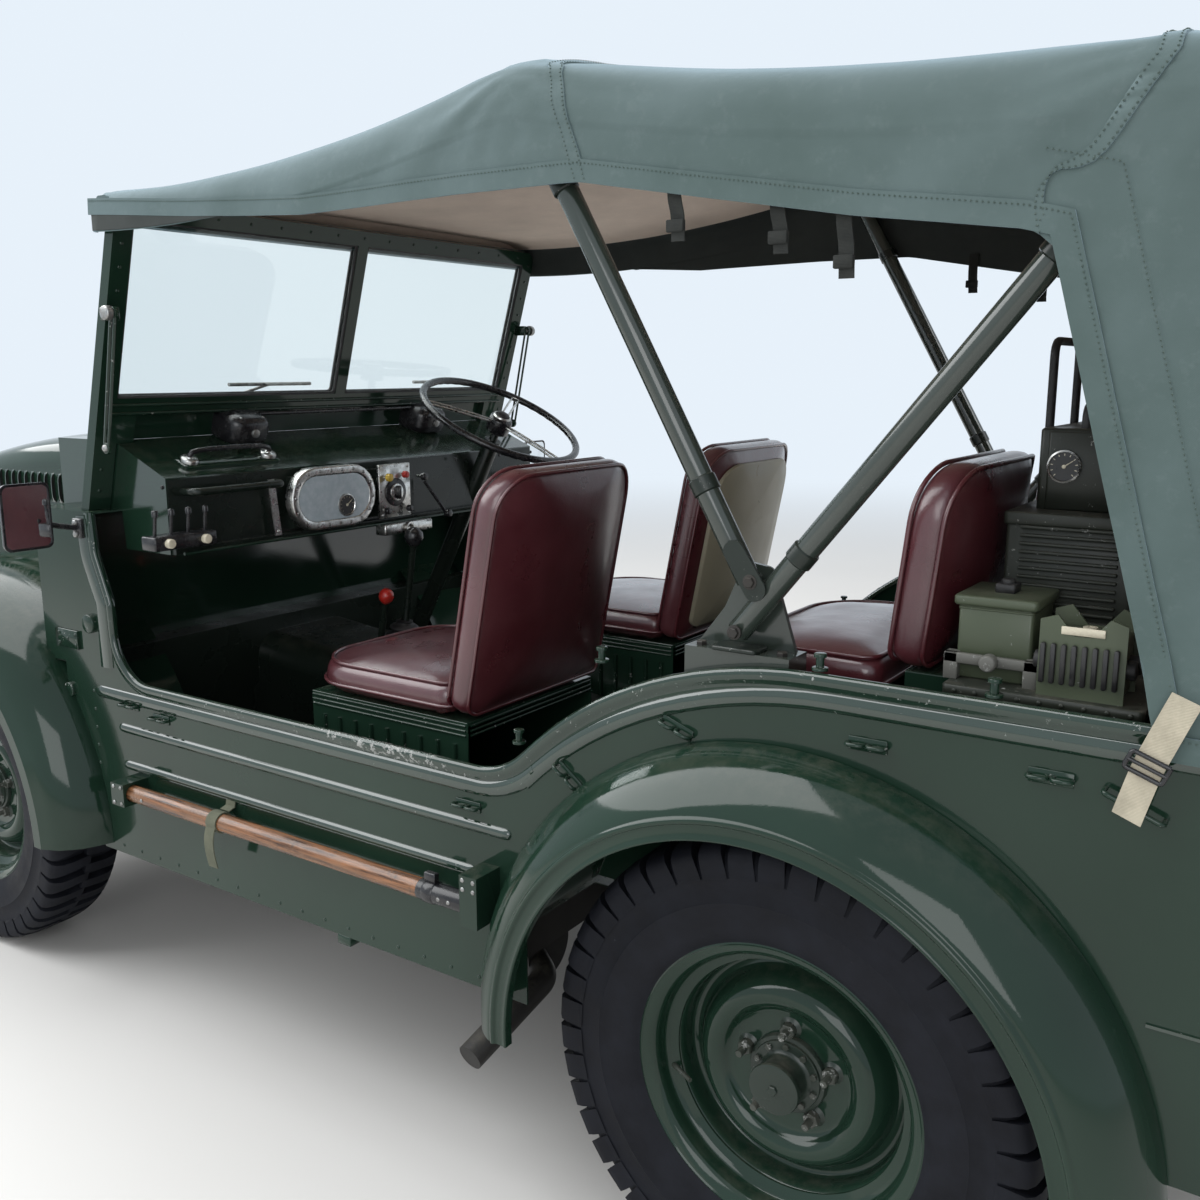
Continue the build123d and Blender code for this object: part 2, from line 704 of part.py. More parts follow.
# Hood bows, bolted to a bracket on each side rail
bow_radius = 17.0
bow_inset = 31.0
bow_y = body_half - bow_inset
bow_lean = 4.0
bow_bend = 46.0
bows = (
    # foot x, foot z, shoulder x, shoulder z, crown z
    (-790.0, 1096.0, -408.0, 1768.0, 1836.0),
    (-776.0, 1024.0, -1300.0, 1678.0, 1738.0),
)
bracket_plate = [(-850, rear_rail_z + 7), (-700, rear_rail_z + 7), (-740, 1050, 14), (-770, 1118, 14),
                 (-812, 1112, 14)]
bracket_base_x = (-860.0, -700.0)
bracket_base_z = (rear_rail_z - 48.0, rear_rail_z + 8.0)
bracket_base_width = 40.0
bracket_plate_y = (bow_y - 34.0, bow_y - 26.0)
bow_pin = 9.0


def make_bows():
    outer_y = body_half - rolled_in - seat_gap
    near = block(bracket_base_x, (bow_y - bracket_base_width, outer_y), bracket_base_z)
    near += side_plate(flat(bracket_plate), bracket_plate_y)
    for foot_x, foot_z, *_ in bows:
        near += disc_y(foot_x, (bracket_plate_y[0], bow_y), foot_z, bow_pin)
    whole = near + mirrored(near)
    for foot_x, foot_z, top_x, top_z, crown_z in bows:
        half = [(foot_x, bow_y, foot_z), (top_x, bow_y - bow_lean, top_z), (top_x, 0, crown_z)]
        whole += tube_path(half + [(x, -y, z) for x, y, z in reversed(half[:-1])], bow_bend, bow_radius)
    return whole


save("hood_bows", make_bows())

# Seats: D-shaped cushions, curved backs with rounded shoulders, and the frames under them
seat_width = 410.0
seat_round = 110.0
seat_back_round = 30.0
back_thickness = 58.0
back_curve = 30.0
back_shoulder = 70.0
front_seat_y = 355.0
front_cushion_x = (-170.0, 208.0)
front_cushion_z = (768.0, 838.0)
front_back_foot = (-150.0, 790.0)
front_back_top = (-236.0, 1224.0)
rear_seat_y = 345.0
rear_cushion_x = (-945.0, -700.0)
rear_cushion_z = (925.0, 990.0)
rear_back_foot = (-945.0, 985.0)
rear_back_top = (-975.0, 1262.0)
frame_inset = 12.0
frame_wall = 4.0
back_rail_x = (-1045.0, -977.0)
back_rail_z = (906.0, 975.0)
leg_size = (24.0, 20.0)


def cushion(x, y, z):
    half = seat_width / 2
    return plan_plate(flat([(x[0], y - half, seat_back_round), (x[1], y - half, seat_round),
                            (x[1], y + half, seat_round), (x[0], y + half, seat_back_round)]), z)


def seat_back(foot, top, y):
    """Upright pad, curved round the sitter, raked from its foot to its top, with rounded shoulders."""
    half = seat_width / 2
    lean = Vector(top[0] - foot[0], 0, top[1] - foot[1])
    height = lean.length
    wide = half + overlap
    inner = ThreePointArc((-wide, 0), (0, -back_curve), (wide, 0))
    outer = ThreePointArc((wide, -back_thickness), (0, -back_curve - back_thickness),
                          (-wide, -back_thickness))
    section = make_face([inner, Line((wide, 0), (wide, -back_thickness)), outer,
                         Line((-wide, -back_thickness), (-wide, 0))])
    front = flat([(-half, 0), (half, 0), (half, height, back_shoulder), (-half, height, back_shoulder)])
    pad = Pos(0, 0, -overlap) * extrude(section, amount=height + 2 * overlap, dir=(0, 0, 1))
    pad &= extrude(Plane.XZ * front, amount=2 * (back_curve + back_thickness), both=True)
    return Plane(origin=(foot[0], y, foot[1]), x_dir=(0, -1, 0), z_dir=lean) * pad


def seat_pair(cushion_x, cushion_z, foot, top, middle_y):
    """Cushions and backs of two seats side by side; a cushion is cut back just clear of its back."""
    cushions, backs = [], []
    for y in (middle_y, -middle_y):
        back = seat_back(foot, top, y)
        pad = cushion(cushion_x, y, cushion_z) - Pos(seat_gap, 0, 0) * back
        backs.append(back)
        cushions.append(max(pad.solids(), key=lambda solid: solid.volume))
    return cushions, backs


front_cushions, front_backs = seat_pair(front_cushion_x, front_cushion_z, front_back_foot, front_back_top,
                                        front_seat_y)
rear_cushions, rear_backs = seat_pair(rear_cushion_x, rear_cushion_z, rear_back_foot, rear_back_top,
                                      rear_seat_y)
save("front_cushions", *front_cushions)
save("front_backs", *front_backs)
save("rear_cushions", *rear_cushions)
save("rear_backs", *rear_backs)


def front_frame(y):
    """Sheet box under a front seat, open behind and below."""
    half = seat_width / 2 - frame_inset
    x = (front_cushion_x[0] - 30, front_cushion_x[1] - frame_inset)
    z = (rail_z[1] + sheet, front_cushion_z[0] - seat_gap)
    hollow = block((x[0] - overlap, x[1] - frame_wall), (y - half + frame_wall, y + half - frame_wall),
                   (z[0] - overlap, z[1] - 2 * frame_wall))
    return block(x, (y - half, y + half), z) - hollow


def rear_frame(side):
    """Board on four legs under a rear seat, with the rail that its back rests on."""
    half = seat_width / 2 - frame_inset
    y = side * rear_seat_y
    board_z = (rear_cushion_z[0] - leg_size[0], rear_cushion_z[0] - seat_gap)
    frame = block((back_rail_x[1] - overlap, rear_cushion_x[1] - frame_inset), (y - half, y + half), board_z)
    frame += block(back_rail_x, (y - half, y + half), (board_z[0], back_rail_z[1]))
    for x in (rear_cushion_x[0], rear_cushion_x[1] - 2 * leg_size[0]):
        for leg_y in (side * (rear_seat_y - half + leg_size[1]), side * (box_inner_y - 3 * leg_size[1])):
            frame += block((x, x + leg_size[0]), (leg_y - leg_size[1] / 2, leg_y + leg_size[1] / 2),
                           (deck_z, board_z[0] + overlap))
    return frame


save("seat_frames", *[front_frame(y) for y in (front_seat_y, -front_seat_y)],
     *[rear_frame(side) for side in (1, -1)])

# Radio gear on its table behind the rear seats
table_x = (-1290.0, -1050.0)
table_y = (-560.0, 610.0)
table_z = (971.0, 985.0)
table_leg = 30.0
table_leg_y = (-470.0, 440.0)
radio_sets = (
    # x from, x to, y from, y to, z from, z to
    (-1240.0, -1076.0, 120.0, 450.0, table_z[1], 1190.0),
    (-1210.0, -1090.0, 150.0, 400.0, 1180.0, 1330.0),
    (-1180.0, -1060.0, 470.0, 590.0, table_z[1], 1095.0),
    (-1250.0, -1076.0, -480.0, -40.0, table_z[1], 1240.0),
)


def make_radio():
    gear = block(table_x, table_y, table_z)
    for x in (table_x[0] + 10, table_x[1] - table_leg - 10):
        for y in table_leg_y:
            gear += block((x, x + table_leg), (y, y + table_leg), (deck_z, table_z[0] + overlap))
    for x0, x1, y0, y1, z0, z1 in radio_sets:
        gear += block((x0, x1), (y0, y1), (z0, z1))
    return gear


save("radio_gear", make_radio())

# Gear lever in its rubber boot, transfer lever and three pedals
gear_foot = (480.0, 0.0)
gear_knob = (430.0, 0.0, 985.0)
gear_knob_radius = 22.0
boot_radius = (48.0, 26.0)
boot_height = 60.0
transfer_foot = (470.0, 100.0)
transfer_knob = (430.0, 100.0, 855.0)
transfer_knob_radius = 17.0
lever_radius = 8.0
pedal_y = (-475.0, -420.0, -270.0)
pedal_x = 700.0
pedal_z = 600.0
pedal_pivot_z = 640.0
pedal_pad = (70.0, 56.0, 8.0)


def make_controls():
    top_z = tunnel_top_z(gear_foot[0])
    gear = Pos(*gear_foot, top_z + boot_height / 2 - 8) * Cone(*boot_radius, boot_height)
    gear += rod((*gear_foot, top_z), gear_knob, lever_radius) + Pos(*gear_knob) * Sphere(gear_knob_radius)
    transfer = rod((*transfer_foot, top_z - 12), transfer_knob, lever_radius)
    transfer += Pos(*transfer_knob) * Sphere(transfer_knob_radius)
    pieces = [gear - tunnel_solid(0, 0), transfer - tunnel_solid(0, 0)]
    face_x = firewall_x - sheet
    for y in pedal_y:
        pedal = rod((face_x - 4, y, pedal_pivot_z), (pedal_x, y, pedal_z), lever_radius)
        pedal += Pos(pedal_x, y, pedal_z) * Rot(0, -60, 0) * Box(*pedal_pad)
        pedal += block((face_x - 30, face_x), (y - 14, y + 14), (pedal_pivot_z - 15, pedal_pivot_z + 15))
        pieces.append(pedal)
    return [max(piece.solids(), key=lambda solid: solid.volume) for piece in pieces]


save("controls", *make_controls())

# Bar-grip tyres: two staggered rows of lugs, each one loft of a toothed ring, on a carcass of flat facets
lug_depth = 15.0
lug_count = 20
lug_middle_half = 23.0
lug_shoulder_half = 30.0
shoulder_drop = 14.0
half_width = tyre_width / 2
crown_half = half_width - 8.0
root_radius = tyre_radius - lug_depth
carcass_sides = 20
bead_half = 58.0
bead_radius = (rim_radius + seat_gap) / math.cos(math.pi / carcass_sides)
carcass_rings = [
    # y, radius
    (-half_width, 290.0), (-crown_half - 2, root_radius - 24), (crown_half + 2, root_radius - 24),
    (half_width, 290.0)]
hollow_rings = [(-half_width, 282.0), (-bead_half, bead_radius), (bead_half, bead_radius),
                (half_width, 282.0)]


def ring_points(radius, y, angle, spread):
    """Two points at a radius, to both sides of an angle, on flanks that stand square to the tread."""
    out = (math.cos(angle), math.sin(angle))
    return [(radius * out[0] - turn * out[1], y, radius * out[1] + turn * out[0])
            for turn in (-spread, spread)]


def hoop(y, radius):
    """Regular polygon round the axle."""
    turn = 2 * math.pi / carcass_sides
    points = [(radius * math.cos(index * turn), y, radius * math.sin(index * turn))
              for index in range(carcass_sides)]
    return make_face(Polyline(*points, close=True))


def lug_ring(tip, root, half, y, phase):
    """Toothed ring: one tooth per lug, as wide as twice half."""
    points = []
    foot = math.sqrt(root ** 2 - half ** 2)
    for index in range(lug_count):
        angle = 2 * math.pi * (index + phase) / lug_count
        (rear_foot, front_foot), (rear_tip, front_tip) = (ring_points(r, y, angle, half) for r in (foot, tip))
        points += [rear_foot, rear_tip, front_tip, front_foot]
    return make_face(Polyline(*points, close=True))


def make_tyre():
    tyre = loft([hoop(*row) for row in carcass_rings], ruled=True)
    for side, phase in ((-1, 0.0), (1, 0.5)):
        tyre += loft([lug_ring(tyre_radius, root_radius, lug_middle_half, 0, phase),
                      lug_ring(tyre_radius - shoulder_drop, root_radius - shoulder_drop - 2,
                               lug_shoulder_half, side * crown_half, phase)], ruled=True)
    return tyre - loft([hoop(*row) for row in hollow_rings], ruled=True)


# Rims with hubs: +Y is the outer side
rim_wall = 5.0
rim_lip = 18.0
well_radius = 178.0
dish_radius = 172.0
spindle_radius = 22.0
hub_y = 66.0
stud_circle = 139.7
stud_count = 5
stud_radius = 7.0
stud_y = (5.0, 42.0)


def make_rim():
    edge = rim_width / 2
    inner = rim_radius - rim_wall
    lip = rim_radius + rim_lip
    bore = spindle_radius + running_gap
    back = [(bore, -22), (64, -22), (64, 4), (114, 4, 10), (132, 22, 10), (160, 22, 8), (dish_radius, 8),
            (dish_radius, -30)]
    well = [(inner, -42), (inner, -edge + 3), (lip, -edge - 4), (lip, -edge), (rim_radius, -edge + 6),
            (rim_radius, -38), (well_radius, -26), (well_radius, 26), (rim_radius, 38),
            (rim_radius, edge - 6), (lip, edge), (lip, edge + 4), (inner, edge - 3), (inner, 34),
            (dish_radius, 22)]
    disc = [(dish_radius - 10, 28, 6), (130, 28, 10), (112, 10, 10), (60, 10), (60, 34), (39, 34),
            (39, hub_y, 5), (0, hub_y), (0, 40), (bore, 40)]
    rim = Rot(-90, 0, 0) * turned(back + well + disc)
    for index in range(stud_count):
        angle = math.radians(90 + 360 * index / stud_count)
        x, z = stud_circle / 2 * math.cos(angle), stud_circle / 2 * math.sin(angle)
        rim += disc_y(x, stud_y, z, stud_radius)
    return rim


tyre = make_tyre()
rim = make_rim()
wheels = (
    # corner, axle x, side
    ("front_left", front_axle_x, 1),
    ("front_right", front_axle_x, -1),
    ("rear_left", rear_axle_x, 1),
    ("rear_right", rear_axle_x, -1),
)
for corner, x, side in wheels:
    place = Pos(x, side * half_track, axle_z) * Rot(0, 0, 0 if side > 0 else 180)
    save("tyre_" + corner, place * tyre)
    save("rim_" + corner, place * rim)

# Spare wheel, its boss, and the fuel can in its tray, all on the rear panel
spare_y = -230.0
spare_z = 790.0
spare_x = rear_end_x + half_width
boss_radius = 50.0
boss_plate_radius = 150.0
boss_plate = 12.0
spigot_radius = spindle_radius - 0.2
can_y = (200.0, 545.0)
can_x = (tail_x - 172.0, tail_x - 6.0)
can_z = (575.0, 1015.0)
can_round = 40.0
can_neck = 1.0
handle_y = (90.0, 20.0)
handle_height = 40.0
handle_bar = 14.0
handle_spread = 44.0
tray_wall = 6.0
tray_height = 40.0

at_spare = Pos(spare_x, spare_y, spare_z) * Rot(0, 0, 90)
save("spare_tyre", at_spare * tyre)
save("spare_rim", at_spare * rim)


def make_can():
    can = cross_plate(flat([(can_y[0], can_z[0], 20), (can_y[1], can_z[0], 20),
                            (can_y[1], can_z[1], can_round), (can_y[0], can_z[1], can_round)]), can_x)
    middle_x = sum(can_x) / 2
    for shift in (-handle_spread, 0.0, handle_spread):
        bar_x = (middle_x + shift - handle_bar / 2, middle_x + shift + handle_bar / 2)
        arch = flat([(can_y[0] + handle_y[0], can_z[1] - can_neck),
                     (can_y[0] + handle_y[0], can_z[1] + handle_height, handle_bar),
                     (can_y[1] - handle_y[0], can_z[1] + handle_height, handle_bar),
                     (can_y[1] - handle_y[0], can_z[1] - can_neck)])
        grip = flat([(can_y[0] + handle_y[0] + handle_y[1], can_z[1]),
                     (can_y[0] + handle_y[0] + handle_y[1], can_z[1] + handle_height - handle_bar),
                     (can_y[1] - handle_y[0] - handle_y[1], can_z[1] + handle_height - handle_bar),
                     (can_y[1] - handle_y[0] - handle_y[1], can_z[1])])
        can += cross_plate(arch - grip, bar_x)
    return can


def make_carriers():
    boss = disc_x((spare_x + 22 + seat_gap, tail_x), spare_y, spare_z, boss_radius)
    boss += disc_x((tail_x - boss_plate, tail_x), spare_y, spare_z, boss_plate_radius)
    boss += disc_x((spare_x - 5, spare_x + 26), spare_y, spare_z, spigot_radius)
    tray = block((can_x[0] - tray_wall, tail_x), (can_y[0] - tray_wall, can_y[1] + tray_wall),
                 (can_z[0] - tray_wall, can_z[0] + tray_height))
    tray -= block((can_x[0] - seat_gap, can_x[1] + seat_gap), (can_y[0] - seat_gap, can_y[1] + seat_gap),
                  (can_z[0] - seat_gap, can_z[1]))
    return [boss, tray, make_can()]


save("rear_carriers", *make_carriers())

# Front bumper with two towing eyes, rear towing jaw and bumperettes
bumper_half = 700.0
bumper_z = (430.0, 560.0)
bumper_wall = 6.0
tow_eye_y = 275.0
tow_eye_half = 10.0
tow_eye_x = front_end_x - 32.0
tow_eye_z = 645.0
tow_eye_bore = 15.0
tow_eye_top = 680.0
bumper_pad_half = 25.0
tow_bore = 16.0
tow_x = tail_x - 60.0
jaw_half = 45.0
jaw_z = (410.0, 490.0)
jaw_mouth_z = (428.0, 472.0)
jaw_reach = 88.0
jaw_throat = 30.0
horn_y = 560.0
horn_z = (tail_bottom_z + 3.0, tail_bottom_z + 123.0)


def make_front_bumper():
    bar = block((rail_x[1], front_end_x), (-bumper_half, bumper_half), bumper_z)
    bar -= block((rail_x[1] - overlap, front_end_x - bumper_wall),
                 (-bumper_half - overlap, bumper_half + overlap),
                 (bumper_z[0] + bumper_wall, bumper_z[1] - bumper_wall))
    for y in (-tow_eye_y, tow_eye_y):
        bar += block((rail_x[1], front_end_x - bumper_wall + overlap),
                     (y - bumper_pad_half, y + bumper_pad_half),
                     (bumper_z[0] + bumper_wall - overlap, rail_z[1] - overlap))
        eye = flat([(rail_x[1] + 1, bumper_z[1] - overlap), (front_end_x - 4, bumper_z[1] - overlap),
                    (front_end_x - 4, tow_eye_top, 24), (rail_x[1] + 6, tow_eye_top, 24)])
        bar += side_plate(eye, (y - tow_eye_half, y + tow_eye_half))
        bar -= disc_y(tow_eye_x, (y - tow_eye_half - overlap, y + tow_eye_half + overlap), tow_eye_z,
                      tow_eye_bore)
    return bar


def make_tow_gear():
    jaw = plan_plate(flat([(tail_x - jaw_reach, -jaw_half, 30), (rail_x[0], -jaw_half), (rail_x[0], jaw_half),
                           (tail_x - jaw_reach, jaw_half, 30)]), jaw_z)
    jaw -= block((-far, tail_x - jaw_throat), (-jaw_half - overlap, jaw_half + overlap), jaw_mouth_z)
    jaw -= disc_z(tow_x, 0, (jaw_z[0] - overlap, jaw_z[1] + overlap), tow_bore)
    pieces = [jaw]
    for y in (-horn_y, horn_y):
        horn = block((tail_x - 70, tail_x), (y - 40, y + 40), horn_z)
        pieces.append(horn + block((tail_x - 86, tail_x - 50), (y - 60, y + 60), horn_z))
    return pieces


save("front_bumper", make_front_bumper())
save("tow_gear", *make_tow_gear())

# Head lamps, tail lamps
lamp_rim = 14.0
lamp_bowl = [
    # radius, distance behind the rim
    (0.0, 92.0), (40.0, 84.0, 30.0), (78.0, 44.0, 40.0), (lamp_radius, 0.0), (lamp_radius, -lamp_rim, 5.0),
    (lamp_radius - 12.0, -lamp_rim), (0.0, -lamp_rim - 12.0)]
tail_lamp_y = 600.0
tail_lamp_z = 660.0
tail_lamp_radius = 38.0
tail_lamp_depth = 45.0


def make_lamps():
    bowl = Rot(0, -90, 0) * turned(lamp_bowl)
    pieces = [Pos(panel_x, y, lamp_z) * bowl for y in (-lamp_y, lamp_y)]
    for y in (-tail_lamp_y, tail_lamp_y):
        pieces.append(disc_x((tail_x - tail_lamp_depth, tail_x), y, tail_lamp_z, tail_lamp_radius))
    return pieces


save("lamps", *make_lamps())

# Mirrors on arms from the body's shoulders
mirror_foot = (725.0, 1060.0)
mirror_arm = [(mirror_foot[0], body_half + 8.0, mirror_foot[1]), (mirror_foot[0], body_half + 74.0, 1075.0),
              (690.0, body_half + 109.0, 1090.0)]
mirror_arm_radius = 6.0
mirror_head_x = (678.0, 692.0)
mirror_head_y = (body_half + 91.0, body_half + 191.0)
mirror_head_z = (1035.0, 1165.0)
mirror_head_round = 14.0


def make_mirror():
    foot = block((mirror_foot[0] - 15, mirror_foot[0] + 15), (body_half, body_half + 14),
                 (mirror_foot[1] - 20, mirror_foot[1] + 20))
    (y0, y1), (z0, z1), corner = mirror_head_y, mirror_head_z, mirror_head_round
    head = flat([(y0, z0, corner), (y1, z0, corner), (y1, z1, corner), (y0, z1, corner)])
    return foot + tube_path(mirror_arm, 20, mirror_arm_radius) + cross_plate(head, mirror_head_x)


mirror_left = make_mirror()
save("mirrors", mirror_left, mirrored(mirror_left))

# Digging tool's handle along the left side, in a front socket and a rear box bracket
tool_radius = 18.0
tool_y = 705.0
tool_z = 525.0
tool_x = (-350.0, 600.0)
bracket_half = 18.0
bracket_wall = 8.0
bracket_z = (498.0, 586.0)
socket_x = (tool_x[1] - 30.0, tool_x[1] + 12.0)
socket_half = 24.0


def make_tool_brackets():
    rear = block((tool_x[0] - bracket_half, tool_x[0] + bracket_half),
                 (body_half, tool_y + tool_radius + bracket_wall), bracket_z)
    front = block(socket_x, (body_half, tool_y + socket_half), (tool_z - socket_half, tool_z + socket_half))
    handle_space = rod((tool_x[0] - seat_gap, tool_y, tool_z), (tool_x[1] + seat_gap, tool_y, tool_z),
                       tool_radius + seat_gap)
    return [rear - handle_space, front - handle_space]


save("tool_handle", rod((tool_x[0], tool_y, tool_z), (tool_x[1], tool_y, tool_z), tool_radius))
save("tool_brackets", *make_tool_brackets())

# Exhaust: silencer under the left floor, pipe from the engine bay, tail ahead of the rear wheel
silencer_x = (-300.0, 380.0)
silencer_y = 450.0
silencer_z = 330.0
silencer_radius = 62.0
pipe_radius = 22.0
tail_pipe_radius = 24.0
front_pipe = [(silencer_x[1] - 10, silencer_y, silencer_z), (640, silencer_y, silencer_z), (800, 240, 368)]
tail_pipe = [(silencer_x[0] + 60, silencer_y, silencer_z), (-330, 500, 300), (-310, 690, 232)]
hanger_x = (-100.0, 240.0)


def make_exhaust():
    system = disc_x(silencer_x, silencer_y, silencer_z, silencer_radius)
    system += tube_path(front_pipe, 60, pipe_radius) + tube_path(tail_pipe, 30, tail_pipe_radius)
    for x in hanger_x:
        system += block((x, x + 20), (silencer_y - 10, silencer_y + 10), (silencer_z + 55, rail_z[1]))
    return system


save("exhaust", make_exhaust())

# Engine and gearbox as plain blocks, on two cross feet over the rails
fan_space = 40.0
engine_x = (960.0, front_member_x - fan_space)
engine_half = 160.0
engine_top_z = 1040.0
gearbox_half = 130.0
gearbox_top_z = 700.0
engine_foot_x = (1000.0, 1480.0)
engine_foot = (50.0, 30.0)


def make_engine():
    engine = block(engine_x, (-engine_half, engine_half), (rail_z[1], engine_top_z))
    engine += block((firewall_x + 10, engine_x[0] + overlap), (-gearbox_half, gearbox_half),
                    (rail_z[1], gearbox_top_z))
    for x in engine_foot_x:
        engine += block((x, x + engine_foot[0]), (-rail_y[1], rail_y[1]),
                        (rail_z[1], rail_z[1] + engine_foot[1]))
    return engine


save("engine", make_engine())

# Axle units: final drive, half shafts, and wishbones to each upright
kingpin_y = 505.0
kingpin_low = 240.0
kingpin_high = 478.0
boss_half = 16.0
pin_size = 14.0
half_shaft_radius = 16.0
half_shaft_end = 474.0
final_drive_radius = 92.0
drive_tube_radius = 48.0
drive_tube_half = 180.0
prop_shaft_radius = 24.0
arm_radius = 14.0
pivot_radius = 20.0
pivot_half = 30.0
pivot_y = rail_y[1] + 22.0
post_half = 20.0
post_depth = 14.0
wishbones = (
    # pivot z, outer z, half spread of the pivots
    (262.0, kingpin_low, 172.0),
    (448.0, kingpin_high + boss_half, 90.0),
)


def wishbone(x, inner_z, outer_z, spread, steered):
    arm = disc_z(x, kingpin_y, (outer_z - boss_half, outer_z + boss_half), 26)
    for pivot_x in (x - spread, x + spread):
        arm += rod((pivot_x, pivot_y + post_depth, inner_z), (x, kingpin_y - 10, outer_z), arm_radius)
        arm += disc_x((pivot_x - pivot_half, pivot_x + pivot_half), pivot_y, inner_z, pivot_radius)
        if inner_z < rail_z[0]:
            arm += block((pivot_x - post_half, pivot_x + post_half), (rail_y[1] - 30, rail_y[1] + post_depth),
                         (inner_z - boss_half, rail_z[0]))
        else:
            arm += block((pivot_x - post_half, pivot_x + post_half), (rail_y[1], rail_y[1] + post_depth),
                         (inner_z - boss_half, inner_z + boss_half))
    if steered:
        arm -= disc_z(x, kingpin_y, (outer_z - 4 * boss_half, outer_z + 4 * boss_half),
                      pin_size + running_gap)
    return arm


def make_axle(x, steered):
    unit = Pos(x, 0, axle_z) * Sphere(final_drive_radius)
    unit += disc_y(x, (-drive_tube_half, drive_tube_half), axle_z, drive_tube_radius)
    unit += disc_y(x, (-half_shaft_end, half_shaft_end), axle_z, half_shaft_radius)
    unit += block((x - 30, x + 30), (-60, 60), (axle_z, rail_z[1] - 12))
    unit += block((x - 25, x + 25), (-rail_web, rail_web), (rail_z[1] - 30, rail_z[1] - rail_wall))
    for inner_z, outer_z, spread in wishbones:
        arm = wishbone(x, inner_z, outer_z, spread, steered)
        unit += arm + mirrored(arm)
    return unit


# Uprights with their spindles and brake back plates; the front ones turn, and a track rod joins them
arm_reach = 130.0
arm_z = (318.0, 336.0)
rod_z = 300.0
rod_radius = 10.0
rod_pin = 8.0
rod_end_radius = 14.0
back_plate_radius = 150.0
back_plate_y = (half_track - 62.0, half_track - 50.0)
upright_half = 22.0
arm_clearance = 8.0


def make_upright(x, steered):
    low, high = kingpin_low + boss_half, kingpin_high
    lap = -arm_clearance if steered else boss_half
    upright = block((x - upright_half, x + upright_half), (kingpin_y - 14, kingpin_y + upright_half),
                    (low - lap, high + lap))
    upright += disc_y(x, (kingpin_y, half_track - 36), axle_z, 60)
    upright += disc_y(x, (kingpin_y, half_track + 38), axle_z, spindle_radius)
    upright += disc_y(x, back_plate_y, axle_z, back_plate_radius)
    if steered:
        upright += disc_z(x, kingpin_y, (kingpin_low - pin_size, high + boss_half + pin_size), pin_size)
        upright += block((x - arm_reach, x), (kingpin_y - 13, kingpin_y + 13), arm_z)
        upright += disc_z(x - arm_reach, kingpin_y, arm_z, 17)
        upright -= disc_z(x - arm_reach, kingpin_y, (arm_z[0] - 9, arm_z[1] + 9), rod_pin + running_gap)
    return upright


def make_track_rod():
    x = front_axle_x - arm_reach
    tie = disc_y(x, (-kingpin_y, kingpin_y), rod_z, rod_radius)
    for y in (-kingpin_y, kingpin_y):
        tie += disc_z(x, y, (rod_z - 12, arm_z[0] - 0.5), rod_end_radius)
        tie += disc_z(x, y, (rod_z, arm_z[1] + 4), rod_pin)
    return tie


knuckle = make_upright(front_axle_x, True)
save("knuckle_left", knuckle)
save("knuckle_right", mirrored(knuckle))
save("front_axle", make_axle(front_axle_x, True))
rear_upright = make_upright(rear_axle_x, False)
prop_shaft = rod((rear_axle_x + 80, 0, axle_z), (front_axle_x - final_drive_radius - seat_gap, 0, axle_z),
                 prop_shaft_radius)
save("rear_axle", make_axle(rear_axle_x, False) + rear_upright + mirrored(rear_upright) + prop_shaft)
save("track_rod", make_track_rod())
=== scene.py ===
import math
import bmesh
import bpy
from mathutils import Matrix, Vector, noise
from mathutils.kdtree import KDTree


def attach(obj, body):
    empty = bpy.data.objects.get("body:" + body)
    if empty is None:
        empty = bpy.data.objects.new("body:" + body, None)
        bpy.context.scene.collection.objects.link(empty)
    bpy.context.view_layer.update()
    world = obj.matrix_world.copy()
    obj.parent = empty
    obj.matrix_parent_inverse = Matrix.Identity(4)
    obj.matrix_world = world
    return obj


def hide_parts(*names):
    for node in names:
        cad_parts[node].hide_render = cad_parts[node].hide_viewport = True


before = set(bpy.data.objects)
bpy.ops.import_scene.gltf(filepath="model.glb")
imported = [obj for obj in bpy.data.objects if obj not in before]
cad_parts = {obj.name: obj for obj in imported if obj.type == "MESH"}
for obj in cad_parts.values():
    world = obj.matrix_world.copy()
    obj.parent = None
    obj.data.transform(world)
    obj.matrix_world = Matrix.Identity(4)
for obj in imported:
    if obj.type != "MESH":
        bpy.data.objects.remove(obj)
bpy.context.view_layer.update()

# Camera
# A phone held at chest height two steps out from the left rear wheel, looking forward over the wing to the
# dash. Its place, turn and lens were worked out from the wheel, the wheelbase and the body's side.
camera_place = Vector((-1.493, 2.039, 1.378))
camera_turn = -0.9751
camera_dip = 0.1961
camera_roll = -0.0018
camera_lens = 34.785
camera_film = 36


def placed(name, data, matrix=Matrix()):
    """A new object of the scene, at its place."""
    thing = bpy.data.objects.new(name, data)
    bpy.context.collection.objects.link(thing)
    thing.matrix_world = matrix
    return thing


def set_camera():
    look = Vector((math.cos(camera_turn) * math.cos(camera_dip), math.sin(camera_turn) * math.cos(camera_dip),
                   -math.sin(camera_dip)))
    across = Vector((math.sin(camera_turn), -math.cos(camera_turn), 0))
    upright = across.cross(look)
    right = across * math.cos(camera_roll) + upright * math.sin(camera_roll)
    up = upright * math.cos(camera_roll) - across * math.sin(camera_roll)
    data = bpy.data.cameras.new("photo_camera")
    data.lens = camera_lens
    data.sensor_width = camera_film
    turn = Matrix((right, up, -look)).transposed().to_4x4()
    bpy.context.scene.camera = placed("photo_camera", data, Matrix.Translation(camera_place) @ turn)


set_camera()

